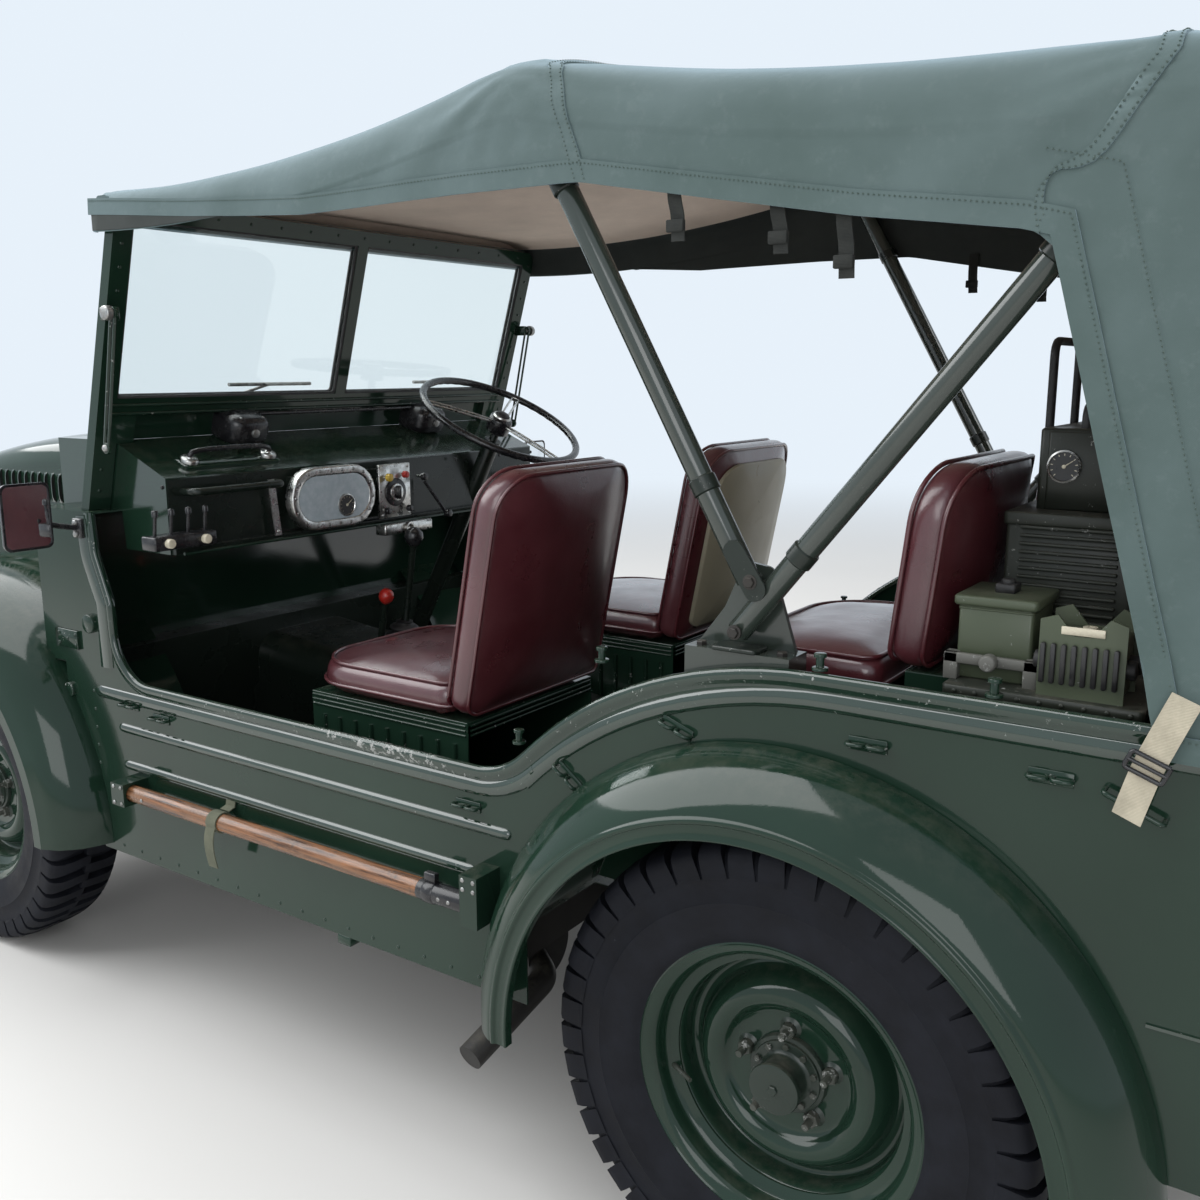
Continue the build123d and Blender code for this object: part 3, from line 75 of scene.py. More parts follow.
# Room
# A pale studio: a plain floor, a world that looks pale to the eye, to gloss and through glass but lights
# softly, a wide lamp overhead for the sky, and weaker ones from the left and from behind.
floor_half = 40.0
floor_tone = (0.66, 0.66, 0.65, 1)
air_tone = (0.80, 0.88, 0.96, 1)
air_light = 0.62
floor_fade = (3.4, 13.0)
lamps = (
    # name, place, aim, width, watts
    ("sky_lamp", (3.4, 1.5, 5.6), (0.0, 0.2, 0.8), 7.5, 680),
    ("side_lamp", (-2.6, 5.5, 2.6), (-0.3, 0.6, 0.8), 3.0, 80),
    ("back_lamp", (-4.5, -1.5, 4.2), (-0.5, 0.0, 0.9), 3.0, 90),
)


def set_sockets(tree, shader, sockets):
    """Sets a shader node's sockets, each to a number, a colour or another node's output."""
    for name, value in sockets.items():
        if isinstance(value, bpy.types.NodeSocket):
            tree.links.new(value, shader.inputs[name])
        else:
            shader.inputs[name].default_value = value


def node(tree, kind, sockets=None, **settings):
    """A new shader node with its settings and sockets."""
    made_node = tree.nodes.new(kind)
    for name, value in settings.items():
        setattr(made_node, name, value)
    set_sockets(tree, made_node, sockets or {})
    return made_node


def math_of(tree, operation, *values):
    return node(tree, "ShaderNodeMath", dict(enumerate(values)), operation=operation).outputs[0]


def seen_rays(tree):
    """1 for rays from the eye, off gloss and through glass, 0 for light on the object."""
    path = node(tree, "ShaderNodeLightPath").outputs
    seen = math_of(tree, "MAXIMUM", path["Is Camera Ray"], path["Is Glossy Ray"])
    return math_of(tree, "MAXIMUM", seen, path["Is Transmission Ray"])


def set_room():
    world = bpy.data.worlds.new("studio_air")
    bpy.context.scene.world = world
    world.use_nodes = True
    tree = world.node_tree
    tree.nodes.clear()
    soft = node(tree, "ShaderNodeBackground", {"Color": (1, 1, 1, 1), "Strength": air_light})
    pale = node(tree, "ShaderNodeBackground", {"Color": air_tone, "Strength": 1.0})
    both = node(tree, "ShaderNodeMixShader", {0: seen_rays(tree), 1: soft.outputs[0], 2: pale.outputs[0]})
    node(tree, "ShaderNodeOutputWorld", {"Surface": both.outputs[0]})
    for name, place, aim, width, watts in lamps:
        data = bpy.data.lights.new(name, "AREA")
        data.size = width
        data.energy = watts
        turn = (Vector(place) - Vector(aim)).to_track_quat("Z", "Y").to_matrix().to_4x4()
        placed(name, data, Matrix.Translation(place) @ turn)


def make_floor():
    mesh = bpy.data.meshes.new("studio_floor")
    half = floor_half
    mesh.from_pydata([(-half, -half, 0), (half, -half, 0), (half, half, 0), (-half, half, 0)], [],
                     [(0, 1, 2, 3)])
    floor = placed("studio_floor", mesh)
    material = bpy.data.materials.new("studio_floor")
    material.use_nodes = True
    tree = material.node_tree
    surface = tree.nodes["Principled BSDF"]
    where = node(tree, "ShaderNodeTexCoord").outputs["Object"]
    mottle = node(tree, "ShaderNodeTexNoise", {"Vector": where, "Scale": 1.5, "Detail": 4.0})
    darker = (*(c * 0.96 for c in floor_tone[:3]), 1)
    tone = node(tree, "ShaderNodeMix", {0: mottle.outputs[0], 6: floor_tone, 7: darker}, data_type="RGBA")
    set_sockets(tree, surface, {"Base Color": tone.outputs[2], "Roughness": 0.9})
    away = node(tree, "ShaderNodeVectorMath", {0: where}, operation="LENGTH").outputs["Value"]
    away = node(tree, "ShaderNodeMapRange", {0: away, 1: floor_fade[0], 2: floor_fade[1]},
                interpolation_type="SMOOTHSTEP")
    far = math_of(tree, "MULTIPLY", away.outputs[0], seen_rays(tree))
    haze = node(tree, "ShaderNodeEmission", {"Color": air_tone, "Strength": 1.0})
    both = node(tree, "ShaderNodeMixShader", {0: far, 1: surface.outputs[0], 2: haze.outputs[0]})
    set_sockets(tree, tree.nodes["Material Output"], {"Surface": both.outputs[0]})
    mesh.materials.append(material)


set_room()
make_floor()
bpy.context.scene.view_settings.view_transform = "Standard"

# Sheet-metal body panels
# Pressed mild steel, spot welded and sprayed gloss deep bronze green, brush-touched since. Corners have
# lost paint down to primer and steel; the inside of the scuttle and the dash are gloss black-green.
bronze_green = ((0.0085, 0.024, 0.0150), (0.0135, 0.034, 0.0225))
inner_black_green = ((0.008, 0.013, 0.010), (0.014, 0.020, 0.016))
chip_steel = (0.30, 0.31, 0.30)
panel_ease = 0.0018


def blank_finish(name):
    """A new material, its node tree and the object's own coordinates."""
    material = bpy.data.materials.new(name)
    material.use_nodes = True
    tree = material.node_tree
    return material, tree, node(tree, "ShaderNodeTexCoord").outputs["Object"]


def finished(material, sockets):
    """Sets the material's surface."""
    tree = material.node_tree
    set_sockets(tree, tree.nodes["Principled BSDF"], sockets)
    return material


def noise_of(tree, where, scale, detail=3.0, rough=0.5):
    return node(tree, "ShaderNodeTexNoise", {"Vector": where, "Scale": scale, "Detail": detail,
                                             "Roughness": rough}).outputs[0]


def ramp_of(tree, value, low, high, to_low=0.0, to_high=1.0):
    return node(tree, "ShaderNodeMapRange", {0: value, 1: low, 2: high, 3: to_low, 4: to_high}).outputs[0]


def blend_of(tree, share, first, second):
    """Mixes two colours, each a tuple of three numbers or a node's output."""
    first, second = (c if isinstance(c, bpy.types.NodeSocket) else (*c, 1) for c in (first, second))
    return node(tree, "ShaderNodeMix", {0: share, 6: first, 7: second}, data_type="RGBA").outputs[2]


def bump_of(tree, height, strength, distance, under=None):
    sockets = {"Height": height, "Strength": strength, "Distance": distance}
    if under is not None:
        sockets["Normal"] = under
    return node(tree, "ShaderNodeBump", sockets).outputs[0]


def sprayed(name, colour, faded, gloss=0.075, chips=0.70, dust=0.22, shine=0.37, rubbed=None):
    """Gloss paint: slow changes of tone, orange peel, dust on what faces up, and chips where chips is low."""
    material, tree, where = blank_finish(name)
    tone = blend_of(tree, ramp_of(tree, noise_of(tree, where, 2.4, 4.0), 0.35, 0.68), colour, faded)
    normal = node(tree, "ShaderNodeNewGeometry").outputs["Normal"]
    upward = node(tree, "ShaderNodeSeparateXYZ", {0: normal}).outputs[2]
    speckle = ramp_of(tree, noise_of(tree, where, 34.0, 6.0, 0.7), 0.42, 0.72)
    dusty = math_of(tree, "MULTIPLY", ramp_of(tree, upward, 0.55, 1.0, 0.0, dust), speckle)
    tone = blend_of(tree, dusty, tone, (0.16, 0.15, 0.12))
    scuffs = noise_of(tree, where, 85.0, 7.0, 0.75)
    if rubbed:
        place, reach = rubbed
        away = node(tree, "ShaderNodeVectorMath", {0: where, 1: place}, operation="DISTANCE").outputs["Value"]
        scuffs = math_of(tree, "ADD", scuffs, ramp_of(tree, away, 0.0, reach, 0.105, 0.0))
    chipped = ramp_of(tree, scuffs, chips, chips + 0.012)
    worn = ramp_of(tree, noise_of(tree, where, 9.0, 5.0), 0.3, 0.7, gloss * 0.75, gloss * 1.35)
    peel = bump_of(tree, noise_of(tree, where, 240.0, 2.0), 0.05, 0.0008)
    waves = bump_of(tree, noise_of(tree, where, 5.0, 1.0), 0.10, 0.010, peel)
    return finished(material, {
        "Base Color": blend_of(tree, chipped, tone, chip_steel),
        "Roughness": math_of(tree, "MULTIPLY_ADD", math_of(tree, "MAXIMUM", dusty, chipped), 0.45, worn),
        "Specular IOR Level": shine,
        "Normal": bump_of(tree, chipped, 0.25, -0.0004, waves)})


body_green = sprayed("bronze_green_gloss", *bronze_green, chips=0.755)
edge_green = sprayed("bronze_green_edges", *bronze_green, chips=0.63)
sill_green = sprayed("bronze_green_sill", *bronze_green, chips=0.63, shine=0.75,
                     rubbed=((-0.10, 0.67, 0.76), 0.24))
bead_green = sprayed("bronze_green_beads", *bronze_green, gloss=0.05, chips=0.66, shine=1.0)
cowl_green = sprayed("bronze_green_cowl", *bronze_green, gloss=0.09, chips=0.72, shine=0.95)
bow_green = sprayed("bow_green", (0.022, 0.032, 0.026), (0.036, 0.046, 0.040), gloss=0.14, shine=0.7)
inner_green = sprayed("inner_black_green", *inner_black_green, gloss=0.26, chips=0.74)
inner_edge = sprayed("inner_black_green_edges", *inner_black_green, gloss=0.3, chips=0.64)
under_black = sprayed("chassis_black", (0.010, 0.010, 0.010), (0.022, 0.020, 0.018), gloss=0.5, chips=0.72,
                      dust=0.6)
under_edge = sprayed("chassis_black_edges", (0.012, 0.012, 0.012), (0.03, 0.026, 0.022), gloss=0.55,
                     chips=0.66, dust=0.6)


def eased(name, finish, worn, ease=panel_ease):
    """Gives a CAD piece its paint, and edges that are slightly round and more worn than the faces."""
    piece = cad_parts[name]
    piece.data.materials.clear()
    piece.data.materials.append(finish)
    piece.data.materials.append(worn)
    weld = piece.modifiers.new("weld", "WELD")
    weld.merge_threshold = 0.00002
    soften = piece.modifiers.new("ease", "BEVEL")
    soften.width = ease
    soften.segments = 2
    soften.limit_method = "ANGLE"
    soften.angle_limit = math.radians(28)
    soften.material = 1
    soften.use_clamp_overlap = True


for panel in ("rear_floor", "rear_panel", "front_panel", "windscreen_frame", "seat_frames", "front_bumper",
              "tool_brackets"):
    eased(panel, body_green, edge_green)
eased("scuttle", cowl_green, edge_green)
for panel in ("floor_pan", "dash_panel", "controls", "steering_column"):
    eased(panel, inner_green, inner_edge, 0.001)
eased("hood_bows", bow_green, inner_edge, 0.001)
for panel in ("chassis_frame", "radiator", "tow_gear", "engine", "front_axle", "rear_axle", "knuckle_left",
              "knuckle_right", "track_rod", "exhaust"):
    eased(panel, under_black, under_edge, 0.001)

# Body sides
# One pressing each side: a flat sheet with its edge rolled over at the doorway, a swage that follows that
# edge over the wheel arch, and two stiffening ribs below it. Spot welded to the floor and riveted at its
# seams.
body_half = 0.671
sheet = 0.003
arch_centre = (-0.864, 0.372)
arch_cut = 0.455
doorway_edge = [(-1.564, 0.990), (-0.618, 0.990, 0.680), (-0.378, 0.750, 0.139), (0.641, 0.750, 0.100),
                (0.644, 0.910, 0.060), (0.684, 1.010, 0.060), (0.690, 1.093)]
swage_line = [(-1.564, 0.953), (-0.633, 0.953, 0.717), (-0.393, 0.713, 0.176), (0.735, 0.713)]
side_ribs = (
    # rear end x, front end x, z
    (-0.394, 0.652, 0.645),
    (-0.320, 0.645, 0.565),
)
roll_section = [(0.026, 0.000), (0.021, 0.0012), (0.016, 0.0045), (0.010, 0.0062), (0.005, 0.0055),
                (0.0015, 0.003), (0.0, -0.001), (0.0008, -0.006), (0.003, -0.010), (0.007, -0.013),
                (0.013, -0.014)]
swage_half = 0.013
swage_height = 0.0052
rib_height = 0.0062
body_seam_z = 0.633
side_rear_x = -1.564
side_front_x = 0.742
sill_rear = (-0.420, 0.357)
rear_foot_z = 0.437
scuttle_flange = [(0.014, 0.0), (0.016, 0.004), (0.020, 0.0055), (0.046, 0.0055), (0.050, 0.004),
                  (0.052, 0.0)]


def rounded(corners, closed=False, turn=math.radians(7)):
    """Points of a line whose corners' third number, where there is one, is the radius of an arc."""
    points = []
    count = len(corners)
    for index, corner in enumerate(corners):
        here = Vector(corner[:2])
        if len(corner) < 3 or (not closed and index in (0, count - 1)):
            points.append(tuple(here))
            continue
        before = (Vector(corners[index - 1][:2]) - here).normalized()
        after = (Vector(corners[(index + 1) % count][:2]) - here).normalized()
        opening = before.angle(after)
        reach = corner[2] / math.tan(opening / 2)
        middle = here + (before + after).normalized() * (corner[2] / math.sin(opening / 2))
        start = here + before * reach - middle
        swing = math.pi - opening
        if before.x * after.y - before.y * after.x > 0:
            swing = -swing
        steps = max(2, round(abs(swing) / turn))
        for step in range(steps + 1):
            angle = swing * step / steps
            points.append((middle.x + start.x * math.cos(angle) - start.y * math.sin(angle),
                           middle.y + start.x * math.sin(angle) + start.y * math.cos(angle)))
    return points


def arc(centre, radius, start, end, steps):
    """Points on a circle; angles in degrees from the first axis towards the second."""
    angles = [math.radians(start + (end - start) * step / steps) for step in range(steps + 1)]
    return [(centre[0] + radius * math.cos(a), centre[1] + radius * math.sin(a)) for a in angles]


def grid(rows, round_rows=False, round_columns=False):
    """A shape, (points, faces), from rows of points; either way may close on itself."""
    width = len(rows[0])
    faces = []
    for i in range(len(rows) if round_rows else len(rows) - 1):
        for j in range(width if round_columns else width - 1):
            a, b = i * width, ((i + 1) % len(rows)) * width
            k = (j + 1) % width
            faces.append((a + j, a + k, b + k, b + j))
    return [tuple(p) for row in rows for p in row], faces


def capped(shape, width):
    """Closes the two ends of a grid whose rows are rings of that many points."""
    points, faces = shape
    last = len(points) - width
    return points, faces + [tuple(range(width))[::-1], tuple(range(last, len(points)))]


def joined(shapes):
    points, faces = [], []
    for more_points, more_faces in shapes:
        faces += [tuple(i + len(points) for i in face) for face in more_faces]
        points += more_points
    return points, faces


def moved(shape, matrix):
    return [tuple(matrix @ Vector(p)) for p in shape[0]], shape[1]


def mirrored(shape):
    """The same on the other side of the car."""
    return [(x, -y, z) for x, y, z in shape[0]], [face[::-1] for face in shape[1]]


def both_sides(shape):
    return joined([shape, mirrored(shape)])


def on_side(shape, side):
    """The left side's shape, or the same mirrored for the right."""
    return shape if side == "left" else mirrored(shape)


def round_box(u0, v0, u1, v1, radius, upper=None, turn=math.radians(7)):
    """Outline of a rectangle with round corners; upper is the radius at v1, where it is another."""
    top = upper or radius
    return rounded([(u0, v0, radius), (u1, v0, radius), (u1, v1, top), (u0, v1, top)], closed=True, turn=turn)


def prism(outline, low, high, place):
    """A plate from a flat outline; place turns (u, v, depth) into a point of the car."""
    ring = [[place(u, v, depth) for u, v in outline] for depth in (low, high)]
    return capped(grid(ring, round_columns=True), len(outline))


forwards, rearwards, outwards, upwards = (1, 0, 0), (-1, 0, 0), (0, 1, 0), (0, 0, 1)


def side_view(u, v, depth):
    return u, depth, v


def front_view(u, v, depth):
    return depth, u, v


def made(name, shape, finish, body="body", stands_for=(), sharp=32, place=Matrix()):
    """A mesh piece, moved to its place, that rides on a body; edges sharper than the angle stay crisp."""
    mesh = bpy.data.meshes.new(name)
    mesh.from_pydata(shape[0], [], shape[1])
    work = bmesh.new()
    work.from_mesh(mesh)
    bmesh.ops.remove_doubles(work, verts=work.verts, dist=0.00002)
    bmesh.ops.recalc_face_normals(work, faces=work.faces)
    bmesh.ops.triangulate(work, faces=[f for f in work.faces if len(f.verts) > 4])
    work.to_mesh(mesh)
    work.free()
    mesh.polygons.foreach_set("use_smooth", [True] * len(mesh.polygons))
    mesh.set_sharp_from_angle(angle=math.radians(sharp))
    mesh.materials.append(finish)
    piece = placed(name, mesh, place)
    if stands_for:
        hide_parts(*stands_for)
    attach(piece, body)
    return piece


def along(line, section, depth=body_half, taper=0.0):
    """Sweeps a section of (distance below the line, height off the sheet) along a line in the body's side."""
    rows = []
    lengths = [0.0]
    for a, b in zip(line, line[1:]):
        lengths.append(lengths[-1] + math.dist(a, b))
    for index, (x, z) in enumerate(line):
        before, after = line[max(index - 1, 0)], line[min(index + 1, len(line) - 1)]
        run = Vector((after[0] - before[0], after[1] - before[1])).normalized()
        from_end = min(lengths[index], lengths[-1] - lengths[index])
        share = 1.0 if taper == 0 else math.sqrt(max(0.0, 1 - max(0.0, 1 - from_end / taper) ** 2))
        rows.append([(x + run.y * d * share, depth + height * share, z - run.x * d * share)
                     for d, height in section])
    return grid(rows)


def dense(line, step):
    """Divides the long runs of a line."""
    points = [line[0]]
    for a, b in zip(line, line[1:]):
        pieces = max(1, math.ceil(math.dist(a, b) / step))
        points += [(a[0] + (b[0] - a[0]) * k / pieces, a[1] + (b[1] - a[1]) * k / pieces)
                   for k in range(1, pieces + 1)]
    return points


def rounded_bead(half, height):
    """Section of a pressed bead, blending into the sheet at both feet."""
    turns = [math.pi * k / 10 for k in range(11)]
    return [(-half * math.cos(a), height * math.sin(a) ** 1.4) for a in turns]


def body_side():
    notch_x, notch_z = sill_rear
    rise = math.sqrt(arch_cut ** 2 - (arch_centre[0] - notch_x) ** 2)
    front_angle = math.degrees(math.atan2(rise, notch_x - arch_centre[0]))
    rear_angle = 180 - math.degrees(math.asin((rear_foot_z - arch_centre[1]) / arch_cut))
    outline = [(side_front_x, notch_z), (notch_x, notch_z)]
    outline += arc(arch_centre, arch_cut, front_angle, rear_angle, 40)
    outline += [(side_rear_x, rear_foot_z)] + rounded(doorway_edge)
    outline += [(0.900, 1.093), (0.900, 0.763), (0.830, 0.763), (0.830, 0.520)]
    plate = prism(outline, body_half - sheet, body_half, side_view)
    fine = math.radians(3)
    roll = along(dense(rounded(doorway_edge, turn=fine), 0.04), roll_section)
    swage = dense(rounded(swage_line, turn=fine), 0.02)
    beads = [along(swage, rounded_bead(swage_half, swage_height), taper=0.02)]
    for rear_x, front_x, z in side_ribs:
        beads.append(along(dense([(rear_x, z), (front_x, z)], 0.004), rounded_bead(0.010, rib_height),
                           taper=0.014))
    lap = [(-1.562, body_seam_z - 0.004), (-1.330, body_seam_z - 0.004), (-1.330, body_seam_z),
           (-1.562, body_seam_z)]
    beads.append(prism(lap, body_half - 0.0005, body_half + 0.0025, side_view))
    flange = rounded([(0.6445, 0.770), (0.6445, 0.910, 0.060), (0.684, 1.010, 0.060), (0.690, 1.088)],
                     turn=fine)
    beads.append(along(dense(flange, 0.02), scuttle_flange))
    return plate, roll, joined(beads)


side_plate, side_roll, side_beads = body_side()
for side in ("left", "right"):
    made("body_side_" + side, on_side(side_plate, side), body_green, stands_for=("side_" + side,))
    made("doorway_edge_" + side, on_side(side_roll, side), sill_green, sharp=60)
    made("side_beads_" + side, on_side(side_beads, side), bead_green, sharp=60)

# Rear wings
# Heavy pressed arches: a round crown that runs down into the body, a flat band round the mouth with a
# raised bead above it, and a turned-in lip. Bolted on from inside the wheel box.
wing_section = [(0.510, 0.6735), (0.5095, 0.682), (0.508, 0.694), (0.503, 0.709), (0.494, 0.726),
                (0.481, 0.744), (0.466, 0.759), (0.450, 0.7705), (0.440, 0.7755), (0.436, 0.7765),
                (0.4335, 0.7795), (0.430, 0.7810), (0.4265, 0.7798), (0.424, 0.7775), (0.419, 0.7775),
                (0.410, 0.7785), (0.4055, 0.7805), (0.4030, 0.7795), (0.4025, 0.776), (0.4028, 0.764)]
wing_thickness = 0.003
rear_wing_angles = (-3.0, 184.0)


def smooth_line(points, steps):
    """A line through given points, curved between them."""
    line = []
    for index in range(len(points) - 1):
        a, b, c, d = (Vector(points[min(max(k, 0), len(points) - 1)]) for k in range(index - 1, index + 3))
        for step in range(steps):
            t = step / steps
            line.append(tuple(0.5 * (2 * b + (c - a) * t + (2 * a - 5 * b + 4 * c - d) * t * t
                                     + (3 * b - a - 3 * c + d) * t ** 3)))
    return line + [tuple(points[-1])]


def swept_arch(centre, section, angles, steps, thickness=wing_thickness):
    """Turns a section of (radius, y) about a wheel's centre, as a sheet with closed ends."""
    inner = []
    for index, (r, y) in enumerate(section):
        before, after = section[max(index - 1, 0)], section[min(index + 1, len(section) - 1)]
        run = Vector((after[0] - before[0], after[1] - before[1])).normalized()
        inner.append((r - run.y * thickness, y + run.x * thickness))
    ring = section + inner[::-1]
    rows = []
    for step in range(steps + 1):
        angle = math.radians(angles[0] + (angles[1] - angles[0]) * step / steps)
        rows.append([(centre[0] + r * math.cos(angle), y, centre[1] + r * math.sin(angle)) for r, y in ring])
    return capped(grid(rows, round_columns=True), len(ring))


rear_section = smooth_line(wing_section, 2)
rear_arch = swept_arch(arch_centre, rear_section, rear_wing_angles, 110)
for side in ("left", "right"):
    made("rear_arch_" + side, on_side(rear_arch, side), body_green, stands_for=("rear_wing_" + side,),
         sharp=50)

# Wheels
# Bar-grip 16 inch tyres on pressed steel rims: a deep well, a dished disc with a raised ring, five long
# studs, and the drive flange with its ten bolts and round cap. Rims are sprayed with the body and chipped
# at the lip.
tyre_radius = 0.372
tyre_half = 0.086
lug_count = 46
tyre_section = [(0.2035, 0.0), (0.2035, 0.052), (0.206, 0.060), (0.215, 0.0655), (0.222, 0.0705),
                (0.230, 0.0765), (0.242, 0.0815), (0.262, 0.0848), (0.282, 0.0860), (0.2845, 0.0872),
                (0.287, 0.0860), (0.302, 0.0855), (0.318, 0.0840), (0.3195, 0.0850), (0.3215, 0.0838),
                (0.334, 0.0815), (0.345, 0.0765), (0.3525, 0.066), (0.3555, 0.050), (0.3565, 0.025),
                (0.357, 0.0)]
lug_rows = (
    # radius of the top, y, half width of the top, half width of the foot, depth below the top
    (0.3700, -0.006, 0.0125, 0.0150, 0.016),
    (0.3720, 0.004, 0.0128, 0.0155, 0.018),
    (0.3715, 0.040, 0.0135, 0.0165, 0.018),
    (0.3690, 0.062, 0.0150, 0.0180, 0.019),
    (0.3640, 0.0765, 0.0175, 0.0200, 0.022),
    (0.3560, 0.0850, 0.0195, 0.0215, 0.024),
    (0.3440, 0.0868, 0.0212, 0.0225, 0.020),
    (0.3300, 0.0866, 0.0226, 0.0232, 0.012),
)
rim_section = [(0.198, -0.060), (0.221, -0.064), (0.221, -0.069), (0.2185, -0.0700), (0.214, -0.0675),
               (0.204, -0.060), (0.203, -0.038), (0.178, -0.026), (0.178, 0.026), (0.203, 0.038),
               (0.204, 0.060), (0.214, 0.0675), (0.2185, 0.0705), (0.2212, 0.0695), (0.2215, 0.0670),
               (0.2190, 0.0650)]
dish_section = [(0.2165, 0.0690), (0.2080, 0.0655), (0.1995, 0.0590), (0.1965, 0.0480), (0.1955, 0.0365),
                (0.1900, 0.0320), (0.1790, 0.0240), (0.1745, 0.0150), (0.1735, -0.0060), (0.1700, -0.0120),
                (0.1620, -0.0135), (0.1550, -0.0080), (0.1480, 0.0060), (0.1400, 0.0180), (0.1290, 0.0270),
                (0.1170, 0.0285), (0.1060, 0.0235), (0.0990, 0.0150), (0.0930, 0.0115), (0.0840, 0.0105),
                (0.0620, 0.0105), (0.0, 0.0105)]
flange_section = [(0.0, 0.024), (0.050, 0.024), (0.0525, 0.0235), (0.0535, 0.020), (0.0585, 0.019),
                  (0.0600, 0.017), (0.0600, 0.010), (0.0, 0.010)]
hub_section = [(0.0, 0.0665), (0.034, 0.0665), (0.0378, 0.0650), (0.0390, 0.0620), (0.0385, 0.0590),
               (0.0350, 0.0565), (0.0335, 0.0540), (0.0335, 0.0300), (0.0360, 0.0260), (0.0400, 0.0240),
               (0.0, 0.0240)]
stud_circle = 0.06985
stud_section = [(0.0, 0.044), (0.0050, 0.044), (0.0058, 0.0425), (0.0058, 0.0200), (0.0, 0.0200)]
nut_foot = [(0.0112, 0.0145), (0.0150, 0.0115), (0.0175, 0.0100)]
flange_bolts = 10


def lathe(section, sides):
    """Turns a section of (radius, height along Y) about the Y axis."""
    rows = [[(r * math.cos(2 * math.pi * k / sides), h, r * math.sin(2 * math.pi * k / sides))
             for k in range(sides)] for r, h in section]
    return grid(rows, round_columns=True)


def tread():
    """All the lugs of a tyre: each side's bars reach past the middle and stand between the other side's."""
    lugs = []
    for side in (-1, 1):
        for index in range(lug_count):
            angle = 2 * math.pi * (index + (0.25 if side > 0 else -0.25)) / lug_count
            rows = []
            for top, y, half_top, half_foot, depth in lug_rows:
                lean = 0.010 * max(0.0, y) / tyre_half
                row = []
                for radius, half in ((top - depth, -half_foot), (top, -half_top), (top, half_top),
                                     (top - depth, half_foot)):
                    turn = angle + (half + lean) / tyre_radius
                    row.append((radius * math.cos(turn), side * y, radius * math.sin(turn)))
                rows.append(row)
            lugs.append(capped(grid(rows, round_columns=True), 4))
    return joined(lugs)


def hexagon(radius, low, high):
    outline = [(radius * math.cos(math.pi * k / 3), radius * math.sin(math.pi * k / 3)) for k in range(6)]
    chamfer = [(u * 0.86, v * 0.86) for u, v in outline]
    rows = [[(u, low, v) for u, v in outline], [(u, high - radius * 0.14, v) for u, v in outline],
            [(u, high, v) for u, v in chamfer]]
    return capped(grid(rows, round_columns=True), 6)


def wheel_metal():
    """One wheel's rim and dished disc, then its flange, hub and cap, then its studs, nuts and bolts."""
    body = [lathe(rim_section, 128), lathe(smooth_line(dish_section[:-1], 2) + [dish_section[-1]], 128)]
    back = [(0.1735, -0.006), (0.1735, -0.030), (0.1700, -0.030), (0.1660, -0.014), (0.120, 0.004),
            (0.064, 0.004), (0.064, -0.022), (0.0225, -0.022)]
    body.append(lathe(back, 96))
    hub = [lathe(flange_section, 64), lathe(hub_section, 64), hexagon(0.0075, 0.0660, 0.0700)]
    small = []
    for index in range(5):
        angle = math.radians(90 + 72 * index)
        place = Matrix.Translation((stud_circle * math.cos(angle), 0, stud_circle * math.sin(angle)))
        small.append(moved(lathe(stud_section, 16), place))
        hub.append(moved(lathe(nut_foot, 24), place))
        small.append(moved(hexagon(0.0118, 0.0145, 0.0268), place @ Matrix.Rotation(0.4 * index, 4, "Y")))
    for index in range(flange_bolts):
        angle = 2 * math.pi * (index + 0.5) / flange_bolts
        place = Matrix.Translation((0.0465 * math.cos(angle), 0, 0.0465 * math.sin(angle)))
        small.append(moved(hexagon(0.0052, 0.0235, 0.0288), place @ Matrix.Rotation(index, 4, "Y")))
    valve = Matrix.Translation((0.183, 0.030, -0.045)) @ Matrix.Rotation(math.radians(62), 4, "Z")
    small.append(moved(lathe([(0.0, 0.046), (0.0034, 0.046), (0.0034, 0.014), (0.0042, 0.012),
                              (0.0042, 0.0), (0.0, 0.0)], 12), valve))
    return joined(body), joined(hub), joined(small)


def bands_of(tree, where, scale, distortion=0.0, direction="X"):
    """Parallel bands, for mould lines, threads, ribs and flutes."""
    return node(tree, "ShaderNodeTexWave", {"Vector": where, "Scale": scale, "Distortion": distortion},
                bands_direction=direction).outputs[1]


def rubber():
    """Tyre rubber: black with a blue cast that is a painted sky reflection, chalky where it is dusty, with
    fine mould lines and scuffs.
    """
    material, tree, where = blank_finish("tyre_rubber")
    radial = node(tree, "ShaderNodeVectorMath", {0: where}, operation="LENGTH").outputs["Value"]
    grime = noise_of(tree, where, 14.0, 6.0, 0.65)
    # Both tones have a blue cast that is a painted sky reflection.
    tone = blend_of(tree, ramp_of(tree, grime, 0.38, 0.72), (0.0050, 0.0056, 0.0085),
                    (0.0135, 0.0150, 0.0205))
    spots = ramp_of(tree, noise_of(tree, where, 210.0, 4.0, 0.7), 0.72, 0.78)
    rings = bands_of(tree, node(tree, "ShaderNodeCombineXYZ", {0: radial}).outputs[0], 60.0)
    fine = bump_of(tree, rings, 0.03, 0.0006)
    return finished(material, {
        "Base Color": blend_of(tree, spots, tone, (0.16, 0.16, 0.15)),
        "Roughness": ramp_of(tree, grime, 0.3, 0.75, 0.50, 0.80),
        "Specular IOR Level": 0.16,
        "Normal": bump_of(tree, noise_of(tree, where, 170.0, 5.0, 0.7), 0.20, 0.0012, fine)})


